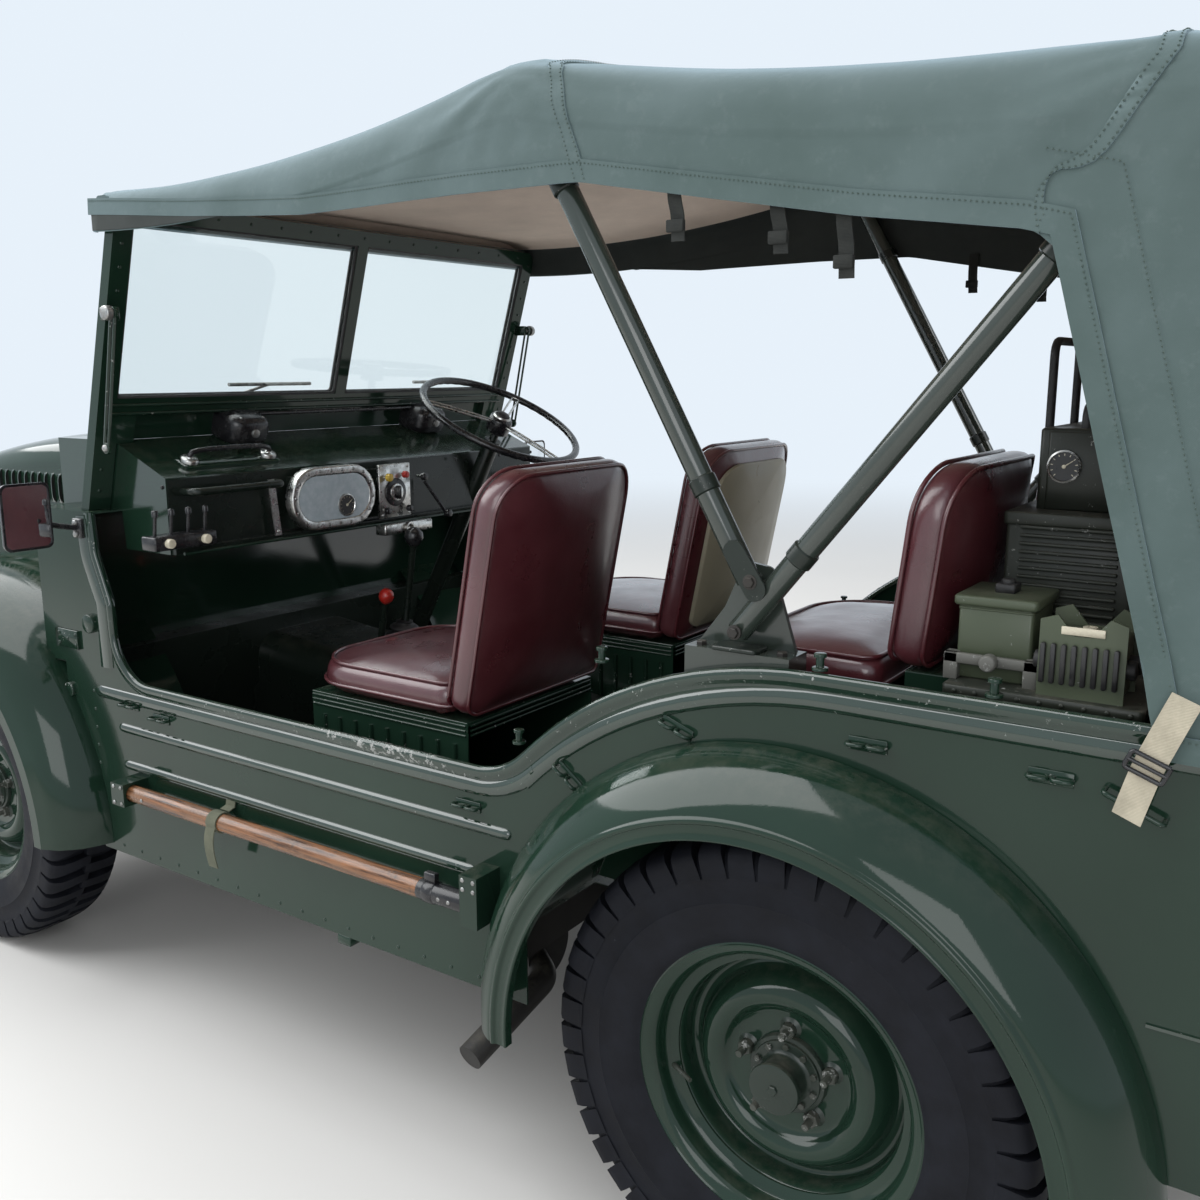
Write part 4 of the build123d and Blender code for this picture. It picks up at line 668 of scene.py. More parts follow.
tyre_rubber = rubber()
hub_green = sprayed("hub_green", (0.015, 0.025, 0.019), (0.024, 0.034, 0.027), gloss=0.30, chips=0.70,
                    dust=0.5)
bolt_green = sprayed("bolt_green", (0.030, 0.038, 0.030), (0.085, 0.088, 0.078), gloss=0.38, chips=0.58,
                     dust=0.4)
whole_section = [(r, -y) for r, y in tyre_section] + tyre_section[-2::-1]
tyre_shape = joined([lathe(whole_section, 144), tread()])
disc_shape, hub_shape, bolt_shape = wheel_metal()
front_wheel = (1.270, 0.372)
wheel_y = 0.6095
wheels = (
    # corner, middle, turn about the upright in degrees, body it rides on
    ("front_left", (front_wheel[0], wheel_y, front_wheel[1]), 0, "wheel_front_left"),
    ("front_right", (front_wheel[0], -wheel_y, front_wheel[1]), 180, "wheel_front_right"),
    ("rear_left", (arch_centre[0], wheel_y, arch_centre[1]), 0, "wheel_rear_left"),
    ("rear_right", (arch_centre[0], -wheel_y, arch_centre[1]), 180, "wheel_rear_right"),
    ("spare", (-1.744, -0.230, 0.790), 90, "body"),
)
for corner, middle, turn, body in wheels:
    place = Matrix.Translation(middle) @ Matrix.Rotation(math.radians(turn), 4, "Z")
    tyre_node, rim_node = ("spare_tyre", "spare_rim") if corner == "spare" else ("tyre_" + corner,
                                                                                 "rim_" + corner)
    for name, shape, finish, stands_for in (("rubber_", tyre_shape, tyre_rubber, (tyre_node,)),
                                            ("disc_", disc_shape, body_green, (rim_node,)),
                                            ("hub_", hub_shape, hub_green, ()),
                                            ("wheel_bolts_", bolt_shape, bolt_green, ())):
        made(name + corner, shape, finish, body, stands_for, sharp=40, place=place)

# Front wings
# The same pressing as the rear ones on a wider mouth, with a flat inner skirt under the bonnet's side.
front_section = smooth_line([(0.5685, 0.428), (0.5680, 0.520), (0.5660, 0.610), (0.5600, 0.660),
                             (0.5480, 0.700), (0.5300, 0.734), (0.5080, 0.757), (0.4860, 0.770),
                             (0.4740, 0.7755), (0.4690, 0.7765), (0.4660, 0.7795), (0.4625, 0.7810),
                             (0.4590, 0.7798), (0.4560, 0.7775), (0.4480, 0.7785), (0.4400, 0.7805),
                             (0.4372, 0.7790), (0.4368, 0.7650)], 2)
front_wing_angles = (22.0, 180.0)
front_arch = swept_arch(front_wheel, front_section, front_wing_angles, 110)
for side in ("left", "right"):
    made("front_arch_" + side, on_side(front_arch, side), body_green, sharp=50)
    eased("front_wing_" + side, body_green, edge_green)

# Hood
# One cut of proofed green cotton canvas, tan inside its roof, with the tan made paler as painted bounce
# light, and near-black inside its sides as painted shade. It is stretched from the windscreen's header over
# two bows and down behind the seats, hemmed all round, and strapped to cleats on the body.
hood_stations = (
    # x, shoulder z, crown z, sag of the bay behind it
    (0.606, 1.716, 1.729, 0.036),
    (-0.402, 1.813, 1.862, 0.027),
    (-1.300, 1.722, 1.760, 0.008),
    (-1.548, 1.600, 1.640, 0.0),
)
front_bow_x, rear_bow_x, hood_rear_x = (row[0] for row in hood_stations[1:])
hood_hem = [(0.616, 1.670), (0.558, 1.666), (0.300, 1.645), (0.028, 1.628), (-0.297, 1.633),
            (-0.525, 1.632), (-0.722, 1.596), (-0.927, 1.559), (-1.127, 1.531), (-1.160, 1.522),
            (-1.318, 0.955), (-1.600, 0.950)]
hood_rear_round = 0.055
hood_side_half = 0.6655
hood_rows_per_metre = 52
side_points = 16
shoulder_points = 10
roof_points = 22
hem_width = 0.030


def within(value, low=0.0, high=1.0):
    return min(max(value, low), high)


def hem_height(x):
    """Height of the hem, read along its line from front to rear."""
    for before, after in zip(hood_hem, hood_hem[1:]):
        if x >= after[0]:
            share = within((before[0] - x) / (before[0] - after[0]))
            return before[1] + (after[1] - before[1]) * share
    return hood_hem[-1][1]


def hood_height(x, column):
    """Height of the canvas at its shoulder or crown: straight between supports, less the sag of its bay."""
    for before, after in zip(hood_stations, hood_stations[1:]):
        if x >= after[0] or after is hood_stations[-1]:
            share = within((before[0] - x) / (before[0] - after[0]))
            line = before[column] + (after[column] - before[column]) * share
            return line - 4 * before[3] * share * (1 - share)


def softened(x, column):
    """The same, with the ridge over each bow rounded as cloth rounds it."""
    reach = 0.028
    if x > 0.56:
        return hood_height(x, column)
    return sum(hood_height(x + step * reach, column) * weight
               for step, weight in ((-1.5, 1), (-0.75, 2), (0, 3), (0.75, 2), (1.5, 1))) / 9


def hood_half(z, x):
    """Half width of the side cloth: outside the rail at the bottom, and drawn in round the rear corner."""
    low = within((1.065 - z) / 0.085)
    half = hood_side_half + 0.0165 * low * low * (3 - 2 * low)
    past = max(0.0, hood_rear_x + hood_rear_round - x) / hood_rear_round
    return half - hood_rear_round * (1 - math.sqrt(max(0.0, 1 - min(past, 1.0) ** 2)))


def hood_section(x):
    """Half a section of the hood at one place, from its hem up to the crown."""
    shoulder, crown, low = softened(x, 1), softened(x, 2), hem_height(x)
    squeeze = hood_half(1.4, x) - hood_side_half
    guide = [(0.6665, shoulder - 0.078), (0.6625, shoulder - 0.044), (0.648, shoulder - 0.014),
             (0.620, shoulder + 0.0035), (0.575, shoulder + 0.012)]
    top = smooth_line(guide, shoulder_points // 2)[:-1]
    foot = shoulder - 0.078
    rows = [(hood_half(low + (foot - low) * k / side_points, x), low + (foot - low) * k / side_points)
            for k in range(side_points)]
    rows += [(y + squeeze, z) for y, z in top]
    for k in range(roof_points + 1):
        y = 0.575 * (1 - k / roof_points)
        rows.append((y * (1 + squeeze / 0.575), crown - (crown - shoulder - 0.012) * (y / 0.575) ** 2))
    return rows


def cloth_ripple(x, y, z):
    """Small folds: ripples along the hem, pulls that run from the bow's shoulders, and slack in the bays."""
    slack = 0.0045 * noise.noise(Vector((x * 2.3, y * 1.4, z * 3.0)) + Vector((3, 1, 7)))
    hem_near = max(0.0, 1 - (z - hem_height(x)) / 0.16) if abs(y) > 0.6 else 0.0
    ripple = 0.0045 * hem_near * noise.noise(Vector((x * 9.0, 4.0, y))) * min(1.0, abs(x - front_bow_x) * 6)
    pull = 0.0
    for bow_x, shoulder_z in ((front_bow_x, 1.80), (rear_bow_x, 1.71)):
        ahead = x - bow_x
        reach = math.hypot(ahead, z - shoulder_z)
        if 0.02 < reach < 0.55 and abs(y) > 0.35:
            spread = math.atan2(z - shoulder_z, ahead)
            pull += 0.0042 * math.sin(spread * 13
                                      + bow_x * 9) * math.exp(-reach / 0.22) * min(1, reach / 0.08)
    curtain = 0.0
    if x < -1.16 and abs(y) > 0.6:
        curtain = 0.006 * math.sin((x + 0.25 * z) * 34 + 1.2) * min(1.0, (1.60 - z) / 0.3)
        curtain *= min(1.0, max(0.0, z - 0.95) / 0.25)
        curtain *= max(0.0, noise.noise(Vector((x * 3, 0, z * 1.1))) + 0.55)
    return slack + ripple + pull + curtain


def hood_point(x, y, z):
    """Moves a point of the plain hood out or in by its folds."""
    lift = cloth_ripple(x, y, z)
    if abs(y) > 0.63:
        return x, y + math.copysign(lift, y), z
    return x, y, z + lift - 0.002


def hood_grid():
    first, last = hood_stations[0][0], hood_stations[-1][0]
    count = round((first - last) * hood_rows_per_metre)
    places = [first + (last - first) * k / count for k in range(count)]
    places += [last - 0.0005]
    rows = []
    for x in places:
        half = hood_section(x)
        row = [hood_point(x, y, z) for y, z in half]
        rows.append(row + [hood_point(x, -y, z) for y, z in half[-2::-1]])
    header = []
    for x, y, z in rows[0]:
        over = within((0.665 - abs(y)) / 0.045)
        header.append((x + 0.003, y - math.copysign(0.012 * (1 - over), y), z - 0.030 * over))
    return [header] + rows


def hood_back(last_row):
    """The curtain across the back, from the hood's rear outline, hanging outside the rear panel."""
    half = (len(last_row) + 1) // 2
    rows = []
    for k in range(half):
        (x, y, z), (_, far_y, far_z) = last_row[k], last_row[-1 - k]
        row = []
        for step in range(41):
            share = step / 40
            across = y + (far_y - y) * share
            from_edge = min(share, 1 - share) * abs(y - far_y)
            bulge = 0.018 * min(1.0, from_edge / 0.05)
            folds = 0.008 * noise.noise(Vector((across * 3.5, z * 1.2, 9.0))) * min(1.0, from_edge / 0.15)
            row.append((x - bulge - folds, across, z + (far_z - z) * share))
        rows.append(row)
    return rows


def canvas():
    """Proofed cotton: blue-green with faded rubs, a fine weave, small creases and a soft sheen tinted blue as
    a painted sky reflection.
    """
    material, tree, where = blank_finish("proofed_canvas")
    tone = blend_of(tree, ramp_of(tree, noise_of(tree, where, 3.2, 5.0, 0.6), 0.32, 0.70),
                    (0.058, 0.090, 0.084), (0.094, 0.134, 0.134))
    rubs = ramp_of(tree, noise_of(tree, where, 46.0, 6.0, 0.7), 0.55, 0.80, 0.0, 0.35)
    weave = math_of(tree, "ADD", *(bands_of(tree, where, 260.0, 0.6, way) for way in ("X", "DIAGONAL")))
    fine = bump_of(tree, weave, 0.10, 0.0006)
    return finished(material, {
        "Base Color": blend_of(tree, rubs, tone, (0.140, 0.178, 0.180)),
        "Roughness": 0.78,
        "Specular IOR Level": 0.3,
        "Sheen Weight": 0.45,
        # The sheen's blue tint is a painted sky reflection.
        "Sheen Tint": (0.62, 0.82, 1.0, 1),
        "Sheen Roughness": 0.5,
        "Normal": bump_of(tree, noise_of(tree, where, 13.0, 5.0, 0.6), 0.22, 0.006, fine)})


def plain_cloth(name, colour, worn):
    """Cotton or thread: two tones, and threads on the slant."""
    material, tree, where = blank_finish(name)
    patches = ramp_of(tree, noise_of(tree, where, 6.0, 6.0, 0.65), 0.3, 0.7)
    threads = bands_of(tree, where, 300.0, 0.5, "DIAGONAL")
    return finished(material, {"Base Color": blend_of(tree, patches, colour, worn), "Roughness": 0.88,
                               "Normal": bump_of(tree, threads, 0.25, 0.0008)})


canvas_green = canvas()
# The roof lining's tan is made paler as painted bounce light from the ground; the near-black lining of the
# sides is painted shade.
lining_tan_with_painted_bounce = plain_cloth("hood_lining_with_painted_bounce", (0.78, 0.65, 0.55), (0.64, 0.53, 0.45))
side_painted_shade = plain_cloth("hood_side_painted_shade", (0.020, 0.026, 0.025), (0.035, 0.042, 0.040))
thread_green = plain_cloth("hood_thread", (0.075, 0.105, 0.095), (0.05, 0.08, 0.07))
hood_rows = hood_grid()
back_rows = hood_back(hood_rows[-1])
hood = made("hood_cloth", joined([grid(hood_rows), grid(back_rows)]), canvas_green,
            stands_for=("hood_canvas",), sharp=80)
for finish in (lining_tan_with_painted_bounce, canvas_green, side_painted_shade):
    hood.data.materials.append(finish)
for face in hood.data.polygons:
    face.material_index = 2 if abs(face.center.y) > 0.640 else 0
thicken = hood.modifiers.new("cloth_thickness", "SOLIDIFY")
thicken.thickness = 0.0022
thicken.offset = -1
thicken.material_offset = 1
thicken.material_offset_rim = 0


def normal_of(rows, i, j):
    i0, i1 = max(i - 1, 0), min(i + 1, len(rows) - 1)
    j0, j1 = max(j - 1, 0), min(j + 1, len(rows[0]) - 1)
    along_rows = Vector(rows[i1][j]) - Vector(rows[i0][j])
    across = Vector(rows[i][j1]) - Vector(rows[i][j0])
    return along_rows.cross(across).normalized()


def band(edge, inner, lift):
    """A doubled strip between two lines of (point, outward), standing a little off the cloth."""
    rows = []
    for (p, n), (q, m) in zip(edge, inner):
        p, q = Vector(p), Vector(q)
        rows.append([tuple(p - n * 0.001), tuple(p + n * lift), tuple(q + m * lift), tuple(q - m * 0.0005)])
    return grid(rows)


def stitches(line, pitch=0.0065, length=0.0040, width=0.0011):
    """Single stitches along a line of (point, outward)."""
    shapes = []
    left = pitch
    for (p, n), (q, m) in zip(line, line[1:]):
        p, q = Vector(p), Vector(q)
        run = q - p
        reach = run.length
        if reach < 1e-6:
            continue
        run.normalize()
        cross = run.cross(n).normalized() * width
        while left < reach:
            middle = p + run * left + n * 0.0010
            a, b = middle - run * length / 2, middle + run * length / 2
            shapes.append(([tuple(a - n * 0.001), tuple(a.lerp(b, 0.3) + cross + n * 0.0006),
                            tuple(b - n * 0.001), tuple(a.lerp(b, 0.3) - cross + n * 0.0006)],
                           [(0, 1, 2), (0, 2, 3), (0, 3, 1), (1, 3, 2)]))
            left += pitch
        left -= reach
    return joined(shapes)


bow_seams = (
    # x across the roof, x and z at the top of the side, x and z at the hem
    (-0.470, (-0.477, 1.794), (-0.530, 1.637)),
    (-1.262, (-1.263, 1.701), (-1.156, 1.530)),
)


def side_line(points, step=0.02):
    """A line drawn on the left side of the hood, with its outward direction."""
    return [((hood_point(x, hood_half(z, x), z)), Vector((0, 1, 0))) for x, z in dense(points, step)]


def inside_hem(distance):
    """The hem's line moved into the cloth by that distance."""
    line = [Vector(p) for p in hood_hem if p[0] > -1.4] + [Vector((-1.53, 0.951))]
    moved_in = []
    for index, p in enumerate(line):
        before, after = line[max(index - 1, 0)], line[min(index + 1, len(line) - 1)]
        ways = [Vector((run.y, -run.x)) for run in ((p - before).normalized(), (after - p).normalized())
                if run.length]
        way = sum(ways, Vector((0, 0))) / len(ways)
        moved_in.append(tuple(p + way * distance / max(way.length_squared, 0.35)))
    return moved_in


def on_hood(x, j):
    """The hood's point at any x, in its own column j."""
    first, last = hood_stations[0][0], hood_stations[-1][0]
    place = within((first - x) / (first - last) * (len(hood_rows) - 2), 0.0, len(hood_rows) - 2.001) + 1
    i = int(place)
    return Vector(hood_rows[i][j]).lerp(Vector(hood_rows[i + 1][j]), place - i), i


def bow_seam(seam, shift):
    """A seam over the roof at one bow, following the bow's legs down both sides to the hem."""
    roof_x, top, foot = seam
    line = []
    for j in range(len(hood_rows[0])):
        point, i = on_hood(roof_x + shift, j)
        for _ in range(3):
            down = within((top[1] - point.z) / (top[1] - foot[1]), 0.0, 1.3)
            point, i = on_hood((roof_x if down == 0 else top[0] + (foot[0] - top[0]) * down) + shift, j)
        n = normal_of(hood_rows, i, j)
        line.append((tuple(point), n if n.dot(Vector((0, point.y, 0.3))) > 0 else -n))
    return line


def hood_sewing():
    steps = 12
    edges = []
    for distance in (0.0, hem_width):
        line = inside_hem(distance)
        fine = [Vector(p).lerp(Vector(q), k / steps) for p, q in zip(line, line[1:]) for k in range(steps)]
        edges.append([(hood_point(p.x, hood_half(p.y, p.x), p.y), Vector((0, 1, 0))) for p in fine])
    hem_band = band(*edges, 0.0026)
    side_threads = [stitches([((p[0], p[1] + 0.0024, p[2]), n)
                              for p, n in side_line(inside_hem(hem_width - 0.005))]),
                    stitches([((p[0], p[1] + 0.0012, p[2]), n)
                              for p, n in side_line([q for q in inside_hem(0.085) if q[0] < -1.1])])]
    tapes, threads = [hem_band, mirrored(hem_band)], side_threads + [mirrored(t) for t in side_threads]
    for seam in bow_seams:
        tapes.append(band(bow_seam(seam, 0.011), bow_seam(seam, -0.011), 0.0022))
        for shift in (-0.008, 0.008):
            threads.append(stitches([(tuple(Vector(p) + n * 0.002), n) for p, n in bow_seam(seam, shift)]))
    return joined(tapes), joined(threads)


hood_tapes, hood_threads = hood_sewing()
header_fold = rounded([(0.574, 1.655, 0.004), (0.6125, 1.655, 0.004), (0.6125, 1.706, 0.008),
                       (0.574, 1.706, 0.012)], closed=True)
hems = made("hood_hems", joined([hood_tapes, prism(header_fold, -0.652, 0.652, side_view)]), canvas_green,
            sharp=80)
sewing = made("hood_stitching", hood_threads, thread_green, sharp=80)

# Cushions and backs
# Steel frames with rubberised-hair pads under maroon hide, piped at every seam. The backs are curved
# plywood pads in hide, the driver's with a pale board behind; the cushions are D-shaped, sit loose in
# their frames and have sunk.
seat_half = 0.205
cushion_round = 0.110
cushions = (
    # place in the car, y of the middle, rear x, front x, bottom z, top z
    ("front_left", 0.355, -0.170, 0.208, 0.768, 0.838),
    ("front_right", -0.355, -0.170, 0.208, 0.768, 0.838),
    ("rear_left", 0.345, -0.945, -0.700, 0.925, 0.990),
    ("rear_right", -0.345, -0.945, -0.700, 0.925, 0.990),
)
backs = (
    # place in the car, y, foot x, foot z, top x, top z
    ("front_left", 0.355, -0.150, 0.790, -0.236, 1.224),
    ("front_right", -0.355, -0.150, 0.790, -0.236, 1.224),
    ("rear_left", 0.345, -0.945, 0.985, -0.975, 1.262),
    ("rear_right", -0.345, -0.945, 0.985, -0.975, 1.262),
)
back_curve = 0.030
back_corners = (0.022, 0.078)
cushion_swell = 0.010
back_swell = 0.006


def hide(name, colour, worn):
    """Coated hide: deep maroon, paler where it is sat on, with a pebbled grain and fine creases."""
    material, tree, where = blank_finish(name)
    tone = blend_of(tree, ramp_of(tree, noise_of(tree, where, 7.0, 5.0, 0.6), 0.35, 0.75), colour, worn)
    grain = node(tree, "ShaderNodeTexVoronoi", {"Vector": where, "Scale": 420.0}).outputs[0]
    pebble = bump_of(tree, grain, 0.18, 0.0007)
    return finished(material, {
        "Base Color": blend_of(tree, ramp_of(tree, grain, 0.0, 0.5, 0.25, 0.0), tone, (0.02, 0.004, 0.006)),
        "Roughness": ramp_of(tree, noise_of(tree, where, 11.0, 4.0), 0.3, 0.7, 0.24, 0.42),
        "Specular IOR Level": 0.6,
        "Coat Weight": 0.7,
        "Coat Roughness": 0.20,
        "Normal": bump_of(tree, noise_of(tree, where, 24.0, 6.0, 0.62), 0.20, 0.004, pebble)})


maroon = hide("maroon_hide", (0.062, 0.011, 0.016), (0.100, 0.028, 0.034))
piping_maroon = hide("maroon_piping", (0.060, 0.008, 0.012), (0.10, 0.02, 0.026))


def d_outline(rear_x, front_x, shrink=0.0, turn=math.radians(9)):
    """Plan of a cushion about its middle line: square behind, well rounded in front."""
    half = seat_half - shrink
    return rounded([(rear_x + shrink, -half, 0.028), (front_x - shrink, -half, cushion_round),
                    (front_x - shrink, half, cushion_round), (rear_x + shrink, half, 0.028)], closed=True,
                   turn=turn)


def tube(line, radius, sides=8, closed=False):
    """A round cord, pipe or rod along a line of points."""
    points = [Vector(p) for p in line]
    count = len(points)
    rows = []
    side_way = None
    for k, p in enumerate(points):
        before = points[k - 1] if k or closed else p
        after = points[(k + 1) % count] if k < count - 1 or closed else p
        run = (after - before).normalized()
        if side_way is None:
            side_way = run.orthogonal().normalized()
        side_way = (side_way - run * side_way.dot(run)).normalized()
        other = run.cross(side_way)
        rows.append([tuple(p + (side_way * math.cos(a) + other * math.sin(a)) * radius)
                     for a in (2 * math.pi * s / sides for s in range(sides))])
    shape = grid(rows, round_rows=closed, round_columns=True)
    return shape if closed else capped(shape, sides)


pad_voxel = 0.006
seam_reach = 0.0065
swell_frames = 20


def dense_loop(line, step=0.004):
    """Points close together round a closed line."""
    points = []
    for a, b in zip(line, line[1:] + line[:1]):
        count = max(1, math.ceil(math.dist(a, b) / step))
        points += [tuple(Vector(a).lerp(Vector(b), k / count)) for k in range(count)]
    return points


def pumped(piece, seams, cap):
    """Swells a pad under cloth pressure with its seams held, so that it puckers, and keeps that shape."""
    remesh = piece.modifiers.new("remesh", "REMESH")
    remesh.mode = "VOXEL"
    remesh.voxel_size = pad_voxel
    remesh.use_smooth_shade = True
    mesh = bpy.data.meshes.new_from_object(piece.evaluated_get(bpy.context.evaluated_depsgraph_get()))
    piece.modifiers.clear()
    piece.data = mesh
    lines = KDTree(len(seams))
    for index, point in enumerate(seams):
        lines.insert(point, index)
    lines.balance()
    start = [v.co.copy() for v in mesh.vertices]
    held = piece.vertex_groups.new(name="seam")
    held.add([index for index, point in enumerate(start) if lines.find(point)[2] < seam_reach], 1.0,
             "REPLACE")
    cloth = piece.modifiers.new("cloth", "CLOTH")
    cloth.point_cache.frame_end = swell_frames
    cloth.settings.use_pressure = True
    cloth.settings.uniform_pressure_force = 4.0
    cloth.settings.effector_weights.gravity = 0.0
    cloth.settings.vertex_group_mass = "seam"
    cloth.settings.tension_stiffness = cloth.settings.compression_stiffness = 12.0
    cloth.settings.bending_stiffness = 0.15
    for number in range(1, swell_frames + 1):
        bpy.context.scene.frame_set(number)
    swollen = piece.evaluated_get(bpy.context.evaluated_depsgraph_get()).to_mesh()
    ends = [v.co.copy() for v in swollen.vertices]
    piece.modifiers.clear()
    bpy.context.scene.frame_set(1)
    for vertex, before, after in zip(mesh.vertices, start, ends):
        move = after - before
        reach = move.length
        vertex.co = before + (move * (cap * (1 - math.exp(-reach / cap)) / reach) if reach > 1e-7 else move)
    mesh.update()


def soft_piece(name, shape):
    """A pad under hide, with one subdivision."""
    pad = made(name, shape, maroon, sharp=180)
    soften = pad.modifiers.new("smooth", "SUBSURF")
    soften.levels = soften.render_levels = 1
    return pad


def padded_cushion(name, y, rear_x, front_x, low, high):
    """A crowned pad: its plan pulled in top and bottom, domed over its seam, sunk in the middle."""
    rings = []
    depth = high - low
    middle = (rear_x + front_x) / 2
    for height, shrink in ((0.0, 0.030), (0.02, 0.014), (0.12, 0.006), (0.36, 0.001), (0.66, 0.001),
                           (0.84, 0.006), (0.94, 0.016), (1.02, 0.036)):
        rings.append([(x, y + v, low + depth * height) for x, v in d_outline(rear_x, front_x, shrink)])
    for share, height in ((0.86, 1.07), (0.72, 1.10), (0.54, 1.11), (0.36, 1.105), (0.18, 1.10)):
        rings.append([(middle + (x - middle) * share, y + (v - y) * share, low + depth * height)
                      for x, v, _ in rings[7]])
    count = len(rings[0])
    points, faces = grid(rings, round_columns=True)
    last = len(points) - count
    faces += [(last + k, last + (k + 1) % count, len(points)) for k in range(count)]
    points.append((middle, y, low + depth * 1.10))
    faces.append(tuple(range(count))[::-1])
    shape = [(x, v, z + 0.003 * noise.noise(Vector((x * 14, v * 14, z * 10)))) for x, v, z in points], faces
    return soft_piece(name, shape)


def piping_lines(y, rear_x, front_x, low, high):
    return [[(x, y + v, low + (high - low) * height)
             for x, v in d_outline(rear_x, front_x, shrink, math.radians(6))]
            for height, shrink in ((0.36, -0.0005), (0.92, 0.0105))]


for name, *place in cushions:
    pad = padded_cushion(name + "_cushion", *place)
    lines = piping_lines(*place)
    pumped(pad, [p for line in lines for p in dense_loop(line)], cushion_swell)
    if name.endswith("left"):
        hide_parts(name.replace("left", "cushions"))
    made(name + "_piping", joined([tube(line, 0.0036, closed=True) for line in lines]), piping_maroon,
         sharp=80)


def back_pad(y, foot_x, foot_z, top_x, top_z):
    """A curved back pad in its own (across, up, depth) axes, with its piping lines front and rear."""
    lean = Vector((top_x - foot_x, 0, top_z - foot_z))
    height = lean.length
    up = lean.normalized()
    forward = Vector((up.z, 0, -up.x))

    def place(u, v, depth):
        """A point of the pad: depth 0 is its front face, and the whole pad bows back in its middle."""
        bow = back_curve * (1 - (u / seat_half) ** 2)
        return tuple(Vector((foot_x, y, foot_z)) + up * v - forward * (depth + bow) + Vector((0, u, 0)))

    def inset(amount):
        return round_box(-seat_half + amount, amount, seat_half - amount, height - amount, *back_corners,
                         turn=math.radians(9))

    rings = []
    for amount, depth in ((0.150, -0.012), (0.100, -0.012), (0.060, -0.009), (0.030, -0.003),
                          (0.012, 0.004), (0.004, 0.012), (0.0, 0.026), (0.0, 0.042), (0.003, 0.052),
                          (0.014, 0.0575), (0.050, 0.060), (0.120, 0.061)):
        rings.append([place(u, v, depth) for u, v in inset(amount)])
    count = len(rings[0])
    points, faces = grid(rings, round_columns=True)
    for ring_start, depth, flip in ((0, -0.011, True), (len(points) - count, 0.061, False)):
        ring = list(range(ring_start, ring_start + count))
        centre = len(points)
        points.append(place(0, height / 2, depth))
        for k in range(count):
            face = (ring[k], ring[(k + 1) % count], centre)
            faces.append(face[::-1] if flip else face)
    lines = [[place(u, v, depth) for u, v in inset(amount)]
             for amount, depth in ((0.0035, 0.0095), (0.0045, 0.0545))]
    board = [[place(u, v, depth) for u, v in inset(amount)]
             for amount, depth in ((0.034, 0.060), (0.034, 0.0680), (0.036, 0.0695), (0.080, 0.0695),
                                   (0.125, 0.0695), (0.170, 0.0695))]
    return (points, faces), lines, capped(grid(board, round_columns=True), count)


board_drab = sprayed("back_board_drab", (0.33, 0.31, 0.23), (0.25, 0.235, 0.175), gloss=0.34, chips=0.68)
for name, *place in backs:
    pad_shape, lines, board = back_pad(*place)
    if name == "front_right":
        made("driver_back_board", board, board_drab, sharp=50)
    pad = soft_piece(name + "_back", pad_shape)
    pumped(pad, [p for line in lines for p in dense_loop(line)], back_swell)
    if name.endswith("left"):
        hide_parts(name.replace("left", "backs"))
    made(name + "_back_piping", joined([tube(line, 0.0035, closed=True) for line in lines]), piping_maroon,
         sharp=80)

# Bonnet
# One pressing with a crowned top and flat sides, hinged at the scuttle. A row of louvres is pressed out of
# each side, open to the rear, where a black sheet in each opening is painted shade, and the eyes of its two
# hinges are riveted on.
bonnet_sections = (
    # x, half width, lower edge z, shoulder z, crown z
    (0.906, 0.452, 1.048, 1.160, 1.236),
    (1.300, 0.442, 1.030, 1.150, 1.222),
    (1.690, 0.425, 0.985, 1.085, 1.152),
)
bonnet_sheet = 0.0016
louvre_first_x = 1.128
louvre_pitch = 0.031
louvre_count = 12
louvre_length = 0.020
louvre_depth = 0.009
louvre_z = (1.062, 1.134)
bonnet_hinge = (0.910, 0.300, 1.248)


def bonnet_at(x, column):
    """A size of the bonnet at one place, on a smooth curve through its three sections."""
    (x0, x1, x2), (a, b, c) = zip(*((row[0], row[column]) for row in bonnet_sections))
    first, second = (b - a) / (x1 - x0), (c - b) / (x2 - x1)
    return a + first * (x - x0) + (second - first) / (x2 - x0) * (x - x0) * (x - x1)


def bonnet_row(x):
    half, low, shoulder, crown = (bonnet_at(x, column) for column in range(1, 5))
    rise = crown - shoulder
    guide = [(half, shoulder - 0.016), (half - 0.002, shoulder + 0.16 * rise),
             (half - 0.026, shoulder + 0.62 * rise), (half - 0.090, crown - 0.009),
             (half * 0.5, crown - 0.003), (0.0, crown)]
    side = [(half, low + 0.001), (half, low + 0.02), (half, (low + shoulder) / 2)]
    row = side + smooth_line(guide, 5)
    return [(x, y, z) for y, z in row] + [(x, -y, z) for y, z in row[-2::-1]]


def louvre(x):
    """A pressed scoop, closed in front and at both ends, and a black sheet across its rear opening as painted
    shade.
    """
    rows, shade_strip = [], []
    for k in range(13):
        v = k / 12
        z = louvre_z[0] + (louvre_z[1] - louvre_z[0]) * v
        full = louvre_depth * (1 - abs(2 * v - 1) ** 5)
        row = []
        for step in range(7):
            s = step / 6
            place = x + louvre_length * (1 - s)
            row.append((place, bonnet_at(place, 1) - 0.0004 + full * math.sin(math.pi / 2 * s) ** 1.3, z))
        row.append((x + 0.0014, bonnet_at(x, 1) + full * 0.86, z))
        rows.append(row)
        # A black strip across the scoop's rear opening: painted shade where the slot would be dark.
        shade_strip.append([(x + 0.0012, bonnet_at(x, 1) - 0.0004, z),
                    (x + 0.0012, bonnet_at(x, 1) + full * 0.84, z)])
    return grid(rows), grid(shade_strip)


